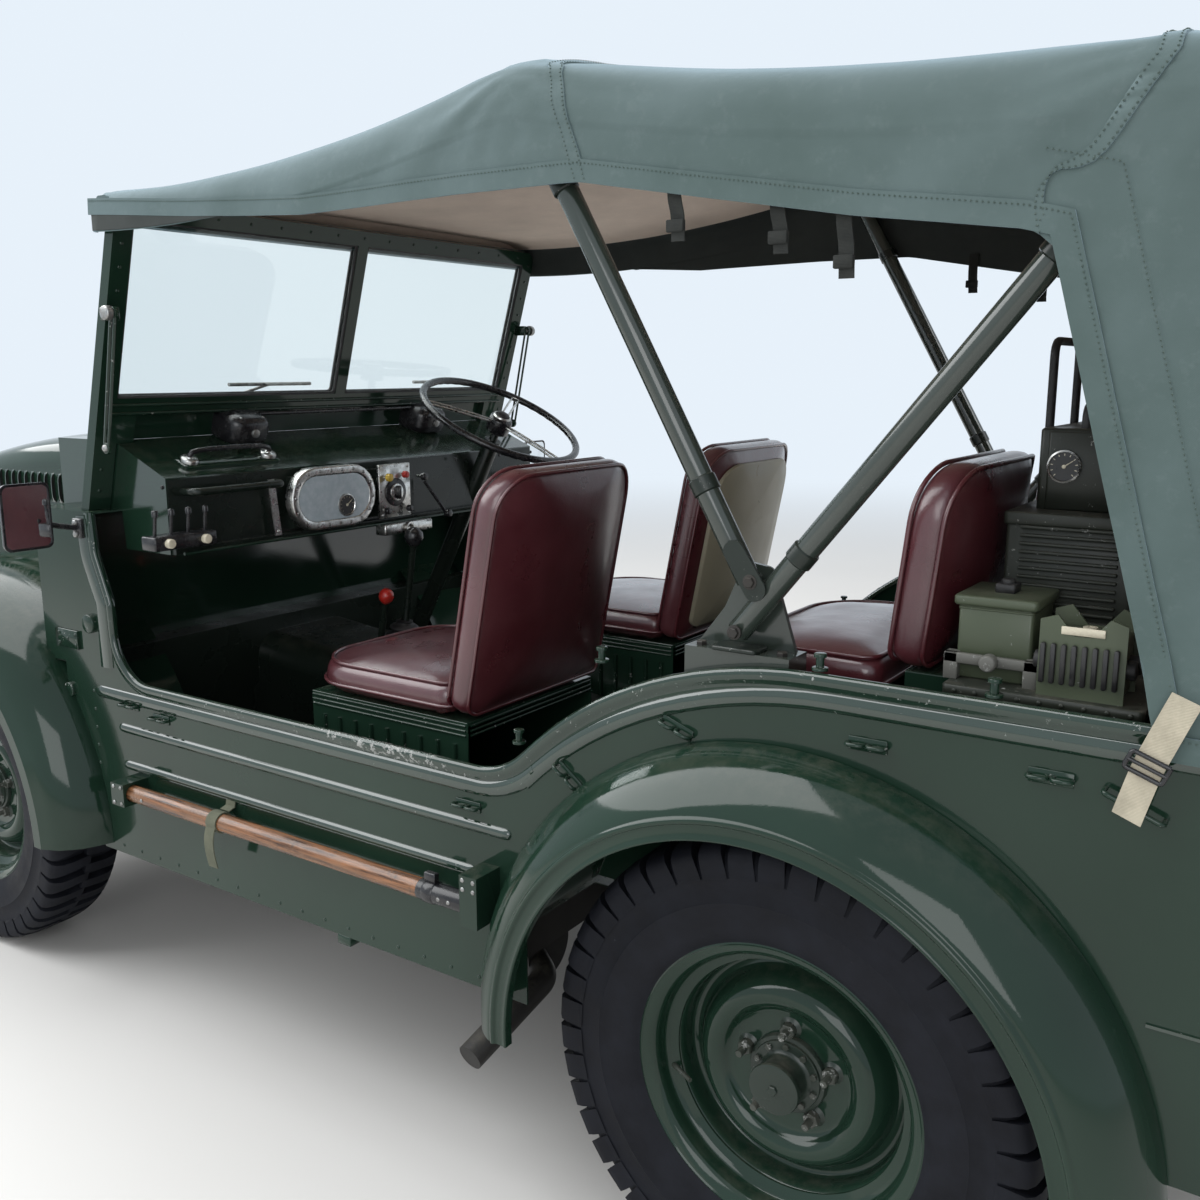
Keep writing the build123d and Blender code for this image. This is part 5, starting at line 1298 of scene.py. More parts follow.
bonnet_rear, bonnet_front = bonnet_sections[0][0], bonnet_sections[-1][0]
bonnet_skin = grid([bonnet_row(bonnet_rear + (bonnet_front - bonnet_rear) * k / 30) for k in range(31)])
lid = made("bonnet_skin", bonnet_skin, body_green, "bonnet", ("bonnet",), sharp=60)
fold = lid.modifiers.new("sheet", "SOLIDIFY")
fold.thickness = bonnet_sheet
fold.offset = -1
scoops, shade_strips = zip(*(louvre(louvre_first_x + louvre_pitch * k) for k in range(louvre_count)))
scoops, shade_strips = joined(scoops), joined(shade_strips)
made("bonnet_louvres", both_sides(scoops), body_green, "bonnet", sharp=60)
# The black strips in the louvres' openings are painted shade.
made("louvre_painted_shade", both_sides(shade_strips), under_black, "bonnet")


def pointing(place, way):
    """Puts a turned shape at a place with its axis along a direction."""
    return Matrix.Translation(place) @ Vector((0, 1, 0)).rotation_difference(Vector(way)).to_matrix().to_4x4()


def turned(section, place, way, sides=24):
    """A turned shape at a place, with its axis along a direction."""
    return moved(lathe(section, sides), pointing(place, way))


def slab(low, high, ease=0.002, corner=None):
    """A block with eased edges; corner is the radius of its upright ones."""
    rows = []
    for z, inset in ((low[2], ease), (low[2] + ease, 0.0), (high[2] - ease, 0.0), (high[2], ease)):
        x0, y0, x1, y1 = low[0] + inset, low[1] + inset, high[0] - inset, high[1] - inset
        reach = max((corner or ease) - inset, 0.0004)
        rows.append([(x, y, z) for x, y in round_box(x0, y0, x1, y1, reach, turn=math.radians(30))])
    return capped(grid(rows, round_columns=True), len(rows[0]))


def stud(place, way, radius, height, sides=12):
    """A round-headed rivet or screw standing on a surface."""
    section = [(0.0, height), (radius * 0.55, height * 0.93), (radius * 0.88, height * 0.6), (radius, 0.0),
               (0.0, -0.001)]
    return turned(section, place, way, sides)


def disc(place, way, radius, height, ease=0.0015, sides=32):
    """A round plate, knob or cap standing on a surface."""
    section = [(0.0, height), (radius - ease, height), (radius - ease * 0.3, height - ease * 0.3),
               (radius, height - ease), (radius, -0.001), (0.0, -0.001)]
    return turned(section, place, way, sides)


def bonnet_hinges():
    hx, hy, hz = bonnet_hinge
    shapes = []
    for y in (-hy, hy):
        shapes.append(moved(lathe([(0.0, -0.0195), (0.0088, -0.0195), (0.0095, -0.0188), (0.0095, 0.0188),
                                   (0.0088, 0.0195), (0.0, 0.0195)], 24), Matrix.Translation((hx, y, hz))))
        shapes.append(slab((hx + 0.003, y - 0.0195, hz - 0.012), (hx + 0.058, y + 0.0195, hz - 0.0085),
                           0.001, 0.006))
        shapes += [stud((hx + along_x, y + across, hz - 0.0087), upwards, 0.0042, 0.0028)
                   for along_x in (0.020, 0.046) for across in (-0.011, 0.011)]
    return joined(shapes)


made("bonnet_hinge_leaves", bonnet_hinges(), edge_green, "bonnet")

# Windscreen
# Two panes of flat safety glass in black rubber channel, in a folded steel frame that can be laid forward.
# Its wiper motors are under two black domes, and a slotted stay with a hand screw holds it on each side.
screen_base = (0.754, 1.093)
screen_rake = math.radians(16.4)
pane_low, pane_high = 0.246, 0.602
pane_inner, pane_outer = 0.016, 0.610
rearward = (-0.96, 0, -0.28)
wiper_domes = (
    # across, up the frame
    (0.300, 0.178),
    (-0.300, 0.178),
)


def on_screen(u, v, n):
    """A point of the windscreen: across, up its rake, and ahead of its front face."""
    return (screen_base[0] - math.sin(screen_rake) * v + math.cos(screen_rake) * n, u,
            screen_base[1] + math.cos(screen_rake) * v + math.sin(screen_rake) * n)


def safety_glass():
    """Old safety glass: barely tinted, with a film of dust and wiped smears."""
    material, tree, where = blank_finish("screen_glass")
    smears = ramp_of(tree, noise_of(tree, where, 6.0, 6.0, 0.65), 0.40, 0.75, 0.0, 0.09)
    return finished(material, {"Base Color": (0.90, 0.95, 0.93, 1), "Transmission Weight": 1.0, "IOR": 1.46,
                               "Roughness": smears})


def moulded(name, colour, worn, rough=0.5, scale=60.0):
    """Rubber, hard plastic or enamel in one piece, greyer where it is handled."""
    material, tree, where = blank_finish(name)
    wear = noise_of(tree, where, scale, 5.0, 0.65)
    return finished(material, {
        "Base Color": blend_of(tree, ramp_of(tree, wear, 0.40, 0.75), colour, worn),
        "Roughness": ramp_of(tree, wear, 0.3, 0.8, rough * 0.7, min(rough * 1.4, 0.95)),
        "Normal": bump_of(tree, noise_of(tree, where, scale * 6, 3.0), 0.12, 0.0006)})


def bare_metal(name, colour, dull, rough=0.28, scale=50.0):
    """Plated or bare metal: bright, with dull stains and fine scratches."""
    material, tree, where = blank_finish(name)
    stain = noise_of(tree, where, scale, 6.0, 0.7)
    return finished(material, {
        "Base Color": blend_of(tree, ramp_of(tree, stain, 0.45, 0.72), colour, dull),
        "Metallic": 1.0,
        "Roughness": ramp_of(tree, stain, 0.35, 0.75, rough * 0.6, rough * 2.0),
        "Normal": bump_of(tree, noise_of(tree, where, scale * 9, 3.0), 0.10, 0.0004)})


screen_glass = safety_glass()
seal_rubber = moulded("seal_rubber", (0.010, 0.010, 0.011), (0.035, 0.035, 0.035), 0.6)
black_enamel = moulded("black_enamel", (0.010, 0.010, 0.012), (0.030, 0.031, 0.033), 0.26, 30.0)
plated_steel = bare_metal("plated_steel", (0.62, 0.62, 0.60), (0.30, 0.29, 0.27))
worn_steel = bare_metal("worn_steel", (0.36, 0.36, 0.35), (0.12, 0.11, 0.10), 0.42)
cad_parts["windscreen_glass"].data.materials.clear()
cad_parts["windscreen_glass"].data.materials.append(screen_glass)


def screen_trim():
    """Rubber channel round both panes, and the folded beads along the frame's lower member."""
    seals = []
    for side in (-1, 1):
        outline = round_box(side * pane_inner, pane_low, side * pane_outer, pane_high, 0.012,
                            turn=math.radians(20))
        for n in (-0.0205, -0.0065):
            seals.append(tube([on_screen(u, v, n) for u, v in outline], 0.0048, 8, closed=True))
    beads = [tube([on_screen(u, v, -0.0265) for u in (-0.628, -0.4, 0.0, 0.4, 0.628)], 0.0038, 10)
             for v in (0.214, 0.232)]
    rivets = []
    for side in (-1, 1):
        for k in range(13):
            rivets.append(stud(on_screen(side * 0.632, 0.05 + k * 0.046, -0.026), rearward, 0.0040, 0.0026))
    for k in range(15):
        rivets.append(stud(on_screen(-0.58 + k * 0.0829, 0.620, -0.026), rearward, 0.0036, 0.0024))
    return joined(seals), joined(beads + rivets)


def dome(u, v, half_u, half_v, depth):
    """A squarish domed cover standing off the frame's rear face."""
    rows = []
    for step in range(9):
        f = math.sin(math.pi / 2 * step / 8)
        size = max((1 - f ** 4), 0.0) ** 0.25
        row = []
        for k in range(32):
            c, s = math.cos(2 * math.pi * k / 32), math.sin(2 * math.pi * k / 32)
            row.append(on_screen(u + half_u * size * math.copysign(abs(c) ** 0.55, c),
                                 v + half_v * size * math.copysign(abs(s) ** 0.55, s), -0.008 - depth * f))
        rows.append(row)
    return grid(rows, round_columns=True)


def wiper_gear():
    shapes = [dome(u, v, 0.056, 0.038, 0.080) for u, v in wiper_domes]
    shapes.append(tube([on_screen(u, 0.206, -0.034) for u in (-0.25, -0.1, 0.1, 0.25)], 0.0045, 10))
    bright = []
    for u, v in wiper_domes:
        bright.append(disc(on_screen(u, v, -0.087), rearward, 0.010, 0.006))
        bright += [stud(on_screen(u + du, v + 0.030, -0.070), (-0.5, 0, 0.86), 0.004, 0.003)
                   for du in (-0.03, 0.03)]
        bright.append(tube([on_screen(u, v + 0.05, 0.001), on_screen(u, v + 0.05, 0.022)], 0.007, 12))
        bright.append(tube([on_screen(u, v + 0.05, 0.018), on_screen(u - 0.11, v + 0.083, 0.014)], 0.0035, 8))
        bright.append(tube([on_screen(u - 0.23, v + 0.084, 0.010), on_screen(u + 0.01, v + 0.084, 0.010)],
                           0.0042, 8))
    return joined(shapes), joined(bright)


def screen_stays():
    """Slotted stay, its lug and its hand screw beside each post."""
    plates, screws = [], []
    top, foot = Vector((0.583, 0.6555, 1.487)), Vector((0.640, 0.6555, 1.225))
    run = (foot - top).normalized()
    cross = Vector((run.z, 0, -run.x))
    for offset in (-0.0065, 0.0065):
        line = [top + cross * offset, foot + cross * offset]
        plates.append(tube([tuple(p) for p in line], 0.0032, 6))
    for p in (top, foot):
        plates.append(disc(tuple(p - Vector((0, 0.003, 0))), outwards, 0.0115, 0.006))
    plates.append(slab((0.583, 0.640, 1.474), (0.628, 0.655, 1.500), 0.002))
    screws.append(tube([(0.583, 0.650, 1.487), (0.583, 0.668, 1.487)], 0.006, 12))
    screws.append(disc((0.583, 0.664, 1.487), outwards, 0.014, 0.012, 0.003))
    screws.append(stud((0.640, 0.658, 1.225), outwards, 0.0075, 0.006))
    return both_sides(joined(plates)), both_sides(joined(screws))


seal_shape, trim_shape = screen_trim()
made("screen_seals", seal_shape, seal_rubber, sharp=80)
made("screen_beads", trim_shape, edge_green, sharp=50)
dome_shape, wiper_shape = wiper_gear()
made("wiper_domes", dome_shape, black_enamel, sharp=60)
made("wiper_arms", wiper_shape, worn_steel, sharp=50)
stay_shape, screw_shape = screen_stays()
made("screen_stays", stay_shape, edge_green, sharp=50)
made("stay_screws", screw_shape, worn_steel, sharp=50)

# Steering wheel
# A thin rim of black moulding over a steel ring, finger-grooved underneath, on three pairs of sprung steel
# spokes. The hub carries a horn button in a plated ring.
wheel_centre = (0.442, -0.355, 1.250)
column_axis = Vector((-0.469472, 0.0, 0.882948))
rim_radius = 0.212
rim_grip = 0.0095
spoke_pairs = (90, 210, 330)
wheel_across = Vector((0, 1, 0))
wheel_place = Matrix.Translation(wheel_centre) @ Matrix((wheel_across, column_axis.cross(wheel_across),
                                                        column_axis)).transposed().to_4x4()


def steering_shapes():
    rows = []
    for k in range(180):
        around = 2 * math.pi * k / 180
        row = []
        for j in range(12):
            across = 2 * math.pi * j / 12
            groove = 0.0011 * max(0.0, -math.sin(across)) * (0.5 + 0.5 * math.cos(around * 45))
            r = rim_radius + (rim_grip - groove) * math.cos(across)
            row.append((r * math.cos(around), r * math.sin(around), (rim_grip - groove) * math.sin(across)))
        rows.append(row)
    rim = grid(rows, round_rows=True, round_columns=True)
    upright = Matrix.Rotation(math.radians(90), 4, "X")
    hub = moved(lathe([(0.0, -0.036), (0.028, -0.036), (0.0315, -0.033), (0.0315, -0.002), (0.0290, 0.006),
                       (0.0225, 0.009), (0.0, 0.009)], 40), upright)
    button = moved(lathe([(0.0195, 0.008), (0.0195, 0.0135), (0.0160, 0.0180), (0.0090, 0.0205),
                          (0.0, 0.0212)], 32), upright)
    ring = moved(lathe([(0.0195, 0.0085), (0.0200, 0.0125), (0.0225, 0.0128), (0.0240, 0.0105),
                        (0.0245, 0.0080)], 32), upright)
    spokes = [ring]
    for angle in spoke_pairs:
        turn = Matrix.Rotation(math.radians(angle), 4, "Z")
        for side in (-0.009, 0.009):
            line = [(0.026, side * 0.7, -0.008), (0.06, side, -0.006), (0.15, side, -0.001),
                    (0.209, side * 1.05, 0.0)]
            spokes.append(moved(tube(line, 0.0030, 8), turn))
        spokes.append(moved(slab((0.203, -0.015, -0.004), (0.2125, 0.015, 0.004), 0.001), turn))
    return joined([rim, hub]), joined(spokes), button


rim_shape, spoke_shape, button_shape = steering_shapes()
made("wheel_rim_and_hub", rim_shape, black_enamel, "steering_wheel", ("steering_wheel",), sharp=50,
     place=wheel_place)
made("wheel_spokes", spoke_shape, plated_steel, "steering_wheel", sharp=50, place=wheel_place)
made("horn_button", button_shape, seal_rubber, "steering_wheel", sharp=60, place=wheel_place)

# Dash
# Folded steel in gloss black-green under a bright cowl. It carries a big plated window bezel with a dial
# set on an opaque pane for its glass, whose pale blue-grey is a painted reflection, a plated switch panel,
# pull knobs, a grab plate on the cowl and a fuse block; all of it is screwed on.
dash_face = 0.520
bezel_middle = (0.1825, 1.093)
bezel_size = (0.256, 0.142)
bezel_band = 0.020
bezel_screws = 18
gauge_middle = (0.150, 1.072)
switch_panel = ((-0.064, 1.027), (0.042, 1.156))
knobs = (
    # y, z, radius, reach, colour
    (0.023, 1.126, 0.0095, 0.020, "yellow"),
    (-0.035, 1.129, 0.0085, 0.018, "red"),
    (-0.095, 1.120, 0.0095, 0.024, "black"),
    (0.028, 1.046, 0.0080, 0.016, "black"),
    (-0.048, 1.046, 0.0080, 0.016, "black"),
    (-0.480, 1.090, 0.0110, 0.022, "black"),
    (-0.530, 1.090, 0.0110, 0.022, "black"),
)


def obround(middle, length, height, count=11):
    """Outline of a slot shape in the dash's plane, as (y, z)."""
    r = height / 2
    reach = length / 2 - r
    left = [(middle[0] + reach + r * math.cos(a), middle[1] + r * math.sin(a))
            for a in (math.pi * (k / count - 0.5) for k in range(count + 1))]
    right = [(middle[0] - reach - r * math.cos(a), middle[1] - r * math.sin(a))
             for a in (math.pi * (k / count - 0.5) for k in range(count + 1))]
    return left + right


def dash_window():
    """The bezel's ring, an opaque pane in it that stands for the glass with a painted reflection, and the
    screws round its band.
    """
    ring, screws = [], []
    for inset, x in ((0.0, dash_face), (0.0, 0.4990), (0.0012, 0.4965), (0.005, 0.4955),
                     (bezel_band - 0.004, 0.4955), (bezel_band - 0.001, 0.4968), (bezel_band, 0.4990)):
        ring.append([(x, y, z) for y, z in obround(bezel_middle, bezel_size[0] - 2 * inset,
                                                   bezel_size[1] - 2 * inset)])
    inner = obround(bezel_middle, bezel_size[0] - 2 * bezel_band, bezel_size[1] - 2 * bezel_band)
    plate = [(0.4975, y, z) for y, z in inner], [tuple(range(len(inner)))]
    line = obround(bezel_middle, bezel_size[0] - bezel_band, bezel_size[1] - bezel_band)
    total = sum(math.dist(a, b) for a, b in zip(line, line[1:] + line[:1]))
    step, walked, due = total / bezel_screws, 0.0, 0.0
    for a, b in zip(line, line[1:] + line[:1]):
        reach = math.dist(a, b)
        while due <= walked + reach and len(screws) < bezel_screws:
            share = (due - walked) / reach
            screws.append(stud((0.4957, a[0] + (b[0] - a[0]) * share, a[1] + (b[1] - a[1]) * share),
                               rearwards, 0.0042, 0.0022))
            due += step
        walked += reach
    return grid(ring, round_columns=True), plate, joined(screws)


def gauge(y, z, radius, face_x):
    """A dial with its plated rim, its ticks and its needle."""
    middle, way = (face_x, y, z), rearwards
    rim = turned([(radius * 0.86, 0.0035), (radius * 0.90, 0.0050), (radius, 0.0040), (radius * 1.02, 0.0),
                  (0.0, 0.0)], middle, way, 40)
    face = turned([(0.0, 0.0025), (radius * 0.87, 0.0025)], middle, way, 40)
    marks = []
    for k in range(11):
        a = math.radians(225 - 27 * k)
        across = Vector((0, -math.sin(a), math.cos(a))) * radius * 0.022
        low, high = (Vector((face_x - 0.0030, y + radius * r * math.cos(a), z + radius * r * math.sin(a)))
                     for r in (0.66, 0.80))
        tick = [low - across, low + across, high + across, high - across]
        marks.append(([tuple(p) for p in tick], [(0, 1, 2, 3)]))
    tip = Vector((face_x - 0.0034, y - radius * 0.5, z + radius * 0.35))
    marks.append(tube([(face_x - 0.0034, y, z), tuple(tip)], radius * 0.03, 5))
    marks.append(disc((face_x - 0.0028, y, z), way, radius * 0.12, 0.0018, 0.0004, 16))
    return rim, face, joined(marks)


def dash_gear():
    """Plated, black and pale parts of the dash."""
    bright, black, pale = [], [], []
    (y0, z0), (y1, z1) = switch_panel
    bright.append(slab((0.4965, y0, z0), (0.5050, y1, z1), 0.0015, 0.0015))
    bright += [stud((0.4966, y, z), rearwards, 0.0036, 0.002) for y in (y0 + 0.008, y1 - 0.008)
               for z in (z0 + 0.008, z1 - 0.008)]
    middle = ((y0 + y1) / 2, (z0 + z1) / 2 - 0.004)
    black.append(disc((0.4966, *middle), rearwards, 0.034, 0.004, 0.001, 40))
    bright.append(disc((0.4930, *middle), rearwards, 0.021, 0.004, 0.001, 32))
    black.append(slab((0.478, middle[0] - 0.004, middle[1] - 0.016),
                      (0.491, middle[0] + 0.004, middle[1] + 0.016), 0.002))
    for y, z, radius, reach, _ in knobs:
        bright.append(turned([(0.0035, 0.0), (0.0035, reach)], (0.503 if y > -0.2 else 0.519, y, z),
                             rearwards, 12))
    bright.append(slab((0.486, -0.129, 0.986), (0.521, 0.037, 1.012), 0.002, 0.004))
    bright.append(turned([(0.010, 0.0), (0.010, 0.010), (0.014, 0.010), (0.014, 0.0)],
                         (0.486, -0.04, 0.999), rearwards, 28))
    bright.append(prism([(0.327, 1.021), (0.345, 1.021), (0.358, 1.145), (0.340, 1.145)], 0.5165, 0.5195,
                        front_view))
    bright += [stud((0.5166, y, z), rearwards, 0.004, 0.002) for y, z in ((0.3365, 1.030), (0.3475, 1.136))]
    lever_top, lever_end = (0.500, -0.120, 1.105), (0.470, -0.164, 1.023)
    black.append(tube([lever_top, lever_end], 0.0045, 8))
    black.append(disc(lever_end, rearwards, 0.010, 0.014, 0.003, 20))
    black.append(slab((0.476, 0.530, 1.030), (0.521, 0.676, 1.058), 0.002, 0.004))
    for y in (0.560, 0.645):
        pale.append(disc((0.476, y, 1.044), rearwards, 0.0095, 0.012, 0.002, 20))
    for y in (0.545, 0.585, 0.625, 0.662):
        black.append(tube([(0.496, y, 1.056), (0.490, y, 1.100)], 0.0035, 8))
        black.append(disc((0.490, y, 1.098), upwards, 0.0065, 0.012, 0.003, 16))
    slope = Vector((0.919, 0, 0.393))
    normal = Vector((-0.393, 0, 0.919))
    centre = Vector((0.585, 0.404, 1.1860))
    rows = []
    for lift, inset in ((0.0, 0.0), (0.0045, 0.0), (0.006, 0.002)):
        outline = round_box(-0.024 + inset, -0.126 + inset, 0.024 - inset, 0.126 - inset, 0.010)
        rows.append([tuple(centre + slope * u + Vector((0, v, 0)) + normal * lift) for u, v in outline])
    bright_plate = capped(grid(rows, round_columns=True), len(rows[0]))
    for y in (-0.103, 0.103):
        base = centre + Vector((0, y, 0)) + normal * 0.005
        bright.append(disc(tuple(base), tuple(normal), 0.019, 0.010, 0.003, 28))
        bright.append(stud(tuple(base + normal * 0.010), tuple(normal), 0.008, 0.004))
    bar = [centre + Vector((0, y, 0)) + normal * lift
           for y, lift in ((-0.103, 0.010), (-0.085, 0.030), (0.085, 0.030), (0.103, 0.010))]
    black.append(tube(smooth_line([tuple(p) for p in bar], 4), 0.006, 10))
    black += [stud((0.519, y, 1.150), rearwards, 0.0045, 0.003) for y in (-0.58, -0.44, -0.26, 0.62)]
    lip = [tube([(0.505, y, 1.0135) for y in (-0.59, -0.2, 0.2, 0.59)], 0.0035, 8)]
    return joined(bright), joined(black), joined(pale), joined([bright_plate] + lip)


yellow_knob = moulded("yellow_knob", (0.62, 0.42, 0.03), (0.45, 0.33, 0.08), 0.3)
red_knob = moulded("red_knob", (0.45, 0.02, 0.015), (0.30, 0.03, 0.02), 0.3)
ivory = moulded("ivory_moulding", (0.62, 0.58, 0.46), (0.42, 0.39, 0.30), 0.32)
dial_black = moulded("dial_face", (0.012, 0.012, 0.013), (0.020, 0.020, 0.020), 0.35)
window_shape, window_pane_painted_reflection, window_screws = dash_window()
made("dash_bezel", window_shape, plated_steel, sharp=50)
# The pane's pale blue-grey is a painted reflection on the window glass.
made("dash_window", window_pane_painted_reflection, moulded("window_glass_painted_reflection", (0.40, 0.49, 0.55), (0.52, 0.60, 0.66), 0.07))
made("bezel_screws", window_screws, worn_steel, sharp=50)


def dial(name, shapes, place=Matrix()):
    """Makes a gauge's rim, face and marks."""
    rim, face, marks = shapes
    made(name + "_rim", rim, plated_steel, sharp=50, place=place)
    made(name + "_face", face, dial_black, place=place)
    made(name + "_marks", marks, ivory, place=place)


dial("dash_gauge", gauge(*gauge_middle, 0.026, 0.4975))
bright_shape, black_shape, pale_shape, lip_shape = dash_gear()
made("dash_plated_parts", bright_shape, plated_steel, sharp=50)
made("dash_black_parts", black_shape, black_enamel, sharp=50)
made("dash_pale_knobs", pale_shape, ivory, sharp=50)
made("dash_grab_and_lip", lip_shape, body_green, sharp=50)
for colour, finish in (("yellow", yellow_knob), ("red", red_knob), ("black", black_enamel)):
    tips = [disc((0.505 - reach if y > -0.2 else 0.521 - reach, y, z), rearwards, radius, 0.010, 0.0025, 20)
            for y, z, radius, reach, shade in knobs if shade == colour]
    made(colour + "_knobs", joined(tips), finish, sharp=50)

# Gear and transfer levers
# The gear lever comes up through a boot of moulded rubber in four rings, held by a screwed plate; the
# transfer lever beside it has a red knob.
boot_foot = (0.480, 0.0, 0.680)
boot_rings = 4
gear_knob = (0.430, 0.0, 0.985)
transfer_knob = (0.430, 0.100, 0.855)


def gear_boot():
    section = []
    for k in range(boot_rings * 8 + 1):
        share = k / (boot_rings * 8)
        radius = 0.060 - 0.036 * share + 0.0055 * math.sin(2 * math.pi * boot_rings * share - 0.5)
        section.append((radius, 0.008 + 0.085 * share))
    section = [(0.066, 0.0), (0.066, 0.007)] + section + [(0.010, 0.097)]
    return turned(section, boot_foot, (-0.10, 0, 1), 40)


made("gear_boot", gear_boot(), seal_rubber, sharp=60)
ring = [disc((boot_foot[0] + 0.074 * math.cos(a), 0.074 * math.sin(a), boot_foot[2] + 0.002), upwards,
             0.005, 0.004, 0.001, 12) for a in (math.pi * k / 3 for k in range(6))]
ring.append(turned([(0.082, 0.0), (0.082, 0.003), (0.060, 0.004), (0.060, 0.0)], boot_foot, upwards, 48))
made("boot_plate", joined(ring), under_black, sharp=50)
gear_ball = [(0.0, 0.0238), (0.011, 0.021), (0.0205, 0.012), (0.0232, 0.0), (0.019, -0.014), (0.010, -0.023),
             (0.0, -0.0235)]
transfer_ball = [(0.0, 0.0188), (0.008, 0.0172), (0.015, 0.011), (0.0182, 0.0), (0.016, -0.009),
                 (0.009, -0.0175), (0.0, -0.0185)]
made("gear_knob", turned(gear_ball, gear_knob, (-0.16, 0, 0.98), 32), black_enamel, sharp=80)
made("transfer_knob", turned(transfer_ball, transfer_knob, (-0.2, 0, 0.98), 32), red_knob, sharp=80)

# Hood bows' fittings
# Steel tube bows, bolted at their feet through a bracket on each side rail; the front bow's legs are
# gusseted and bolted to the rear bow's. Webbing straps sewn inside the hood hang ready to roll its sides.
bow_y = 0.640
bow_legs = (
    # foot x, foot z, shoulder x, shoulder z
    (-0.790, 1.096, -0.408, 1.768),
    (-0.776, 1.024, -1.300, 1.678),
)
bow_bolts = (
    # x, z on the outer side of the leg or bracket
    (-0.801, 1.098), (-0.779, 1.026),
)


def bow_fittings():
    plates, bolts = [], []
    outline = rounded([(-0.829, 1.086, 0.015), (-0.804, 1.064, 0.015), (-0.754, 1.142, 0.015),
                       (-0.780, 1.158, 0.015)], closed=True)
    plates.append(prism(outline, bow_y + 0.0165, bow_y + 0.0205, side_view))
    plates.append(slab((-0.812, bow_y - 0.020, 0.998), (-0.742, bow_y + 0.022, 1.004), 0.0015, 0.006))
    for foot_x, foot_z, top_x, top_z in bow_legs:
        run = Vector((top_x - foot_x, 0, top_z - foot_z)).normalized()
        for distance in (0.145, 0.62):
            at = Vector((foot_x, bow_y - 0.0008, foot_z)) + run * distance
            plates.append(turned([(0.0172, -0.012), (0.0195, -0.010), (0.0195, 0.010), (0.0172, 0.012)], at,
                                 run))
    for x, z in bow_bolts:
        bolts.append(moved(hexagon(0.0078, 0.0, 0.0062), pointing((x, bow_y + 0.0200, z), outwards)))
        bolts.append(disc((x, bow_y + 0.0195, z), outwards, 0.0105, 0.0018, 0.0004, 20))
    for x in (-0.842, -0.718):
        bolts.append(moved(hexagon(0.0080, 0.0, 0.006), pointing((x, 0.640, 0.9975), upwards)))
    return both_sides(joined(plates)), both_sides(joined(bolts))


bow_plates, bow_bolt_shape = bow_fittings()
made("bow_gussets", bow_plates, inner_edge, sharp=40)
made("bow_bolts", bow_bolt_shape, under_edge, sharp=40)


def webbing(name, colour, worn):
    """Woven cotton strap: ribs across it, paler where it rubs."""
    material, tree, where = blank_finish(name)
    rubbed = ramp_of(tree, noise_of(tree, where, 30.0, 6.0, 0.7), 0.35, 0.70)
    ribs = bands_of(tree, where, 190.0, 0.4, "Z")
    return finished(material, {"Base Color": blend_of(tree, rubbed, colour, worn), "Roughness": 0.9,
                               "Normal": bump_of(tree, ribs, 0.35, 0.0012)})


cream_webbing = webbing("cream_webbing", (0.50, 0.46, 0.36), (0.34, 0.31, 0.24))
drab_webbing = webbing("drab_webbing", (0.085, 0.095, 0.065), (0.13, 0.135, 0.095))
dark_webbing = webbing("dark_webbing", (0.012, 0.014, 0.013), (0.030, 0.033, 0.030))


def strap(line, across, width, thickness=0.0022):
    """A flat strap along a line of points; across is the direction of its width."""
    across = Vector(across).normalized() * width / 2
    rows = []
    points = [Vector(p) for p in line]
    for k, p in enumerate(points):
        run = (points[min(k + 1, len(points) - 1)] - points[max(k - 1, 0)]).normalized()
        lift = run.cross(across).normalized() * thickness / 2
        rows.append([tuple(p - across - lift), tuple(p + across - lift), tuple(p + across + lift),
                     tuple(p - across + lift)])
    return capped(grid(rows, round_columns=True), 4)


hanging = []
for x, top, low in ((-0.676, 1.610, 1.545), (-0.826, 1.582, 1.521), (-0.915, 1.563, 1.487)):
    line = [(x, 0.660, top + 0.02), (x, 0.657, top - 0.01), (x - 0.002, 0.652, (top + low) / 2),
            (x - 0.004, 0.653, low)]
    hanging.append(strap(smooth_line(line, 4), forwards, 0.020, 0.0022))
    hanging.append(slab((x - 0.013, 0.6495, low + 0.012), (x + 0.013, 0.6575, low + 0.028), 0.0012))
made("hood_roll_straps", both_sides(joined(hanging)), dark_webbing, sharp=50)

# Radio gear
# A steel-legged table across the car behind the rear seats carries two ribbed sets, a small sprayed box
# with a black terminal plug, and a control unit; casings are folded sheet, held by screws and clamps.
table_low, table_high = (-1.290, -0.560, 0.971), (-1.050, 0.610, 0.985)
table_legs = ((-1.280, -0.470), (-1.280, 0.440), (-1.090, -0.470), (-1.090, 0.440))
set_cases = (
    # low corner, high corner, ribs on the side from z, to z, count
    ((-1.240, 0.120, 0.985), (-1.076, 0.450, 1.190), 1.006, 1.172, 16),
    ((-1.250, -0.480, 0.985), (-1.076, -0.040, 1.240), 1.010, 1.220, 18),
)


def screws_round(low, high, face_y, radius=0.0032, inset=0.010):
    spots = [(x, z) for x in (low[0] + inset, (low[0] + high[0]) / 2, high[0] - inset)
             for z in (low[2] + inset, high[2] - inset)]
    return [stud((x, face_y, z), outwards, radius, 0.002) for x, z in spots]


def radio_table():
    shapes = [slab(table_low, table_high, 0.002, 0.008)]
    for x, y in table_legs:
        shapes.append(slab((x, y, 0.640), (x + 0.030, y + 0.030, 0.972), 0.002))
    shapes.append(slab((-1.270, -0.455, 0.780), (-1.250, 0.455, 0.800), 0.002))
    for k in range(9):
        shapes.append(stud((-1.275 + 0.026 * k, 0.6095, 0.978), outwards, 0.0035, 0.0025))
    return joined(shapes)


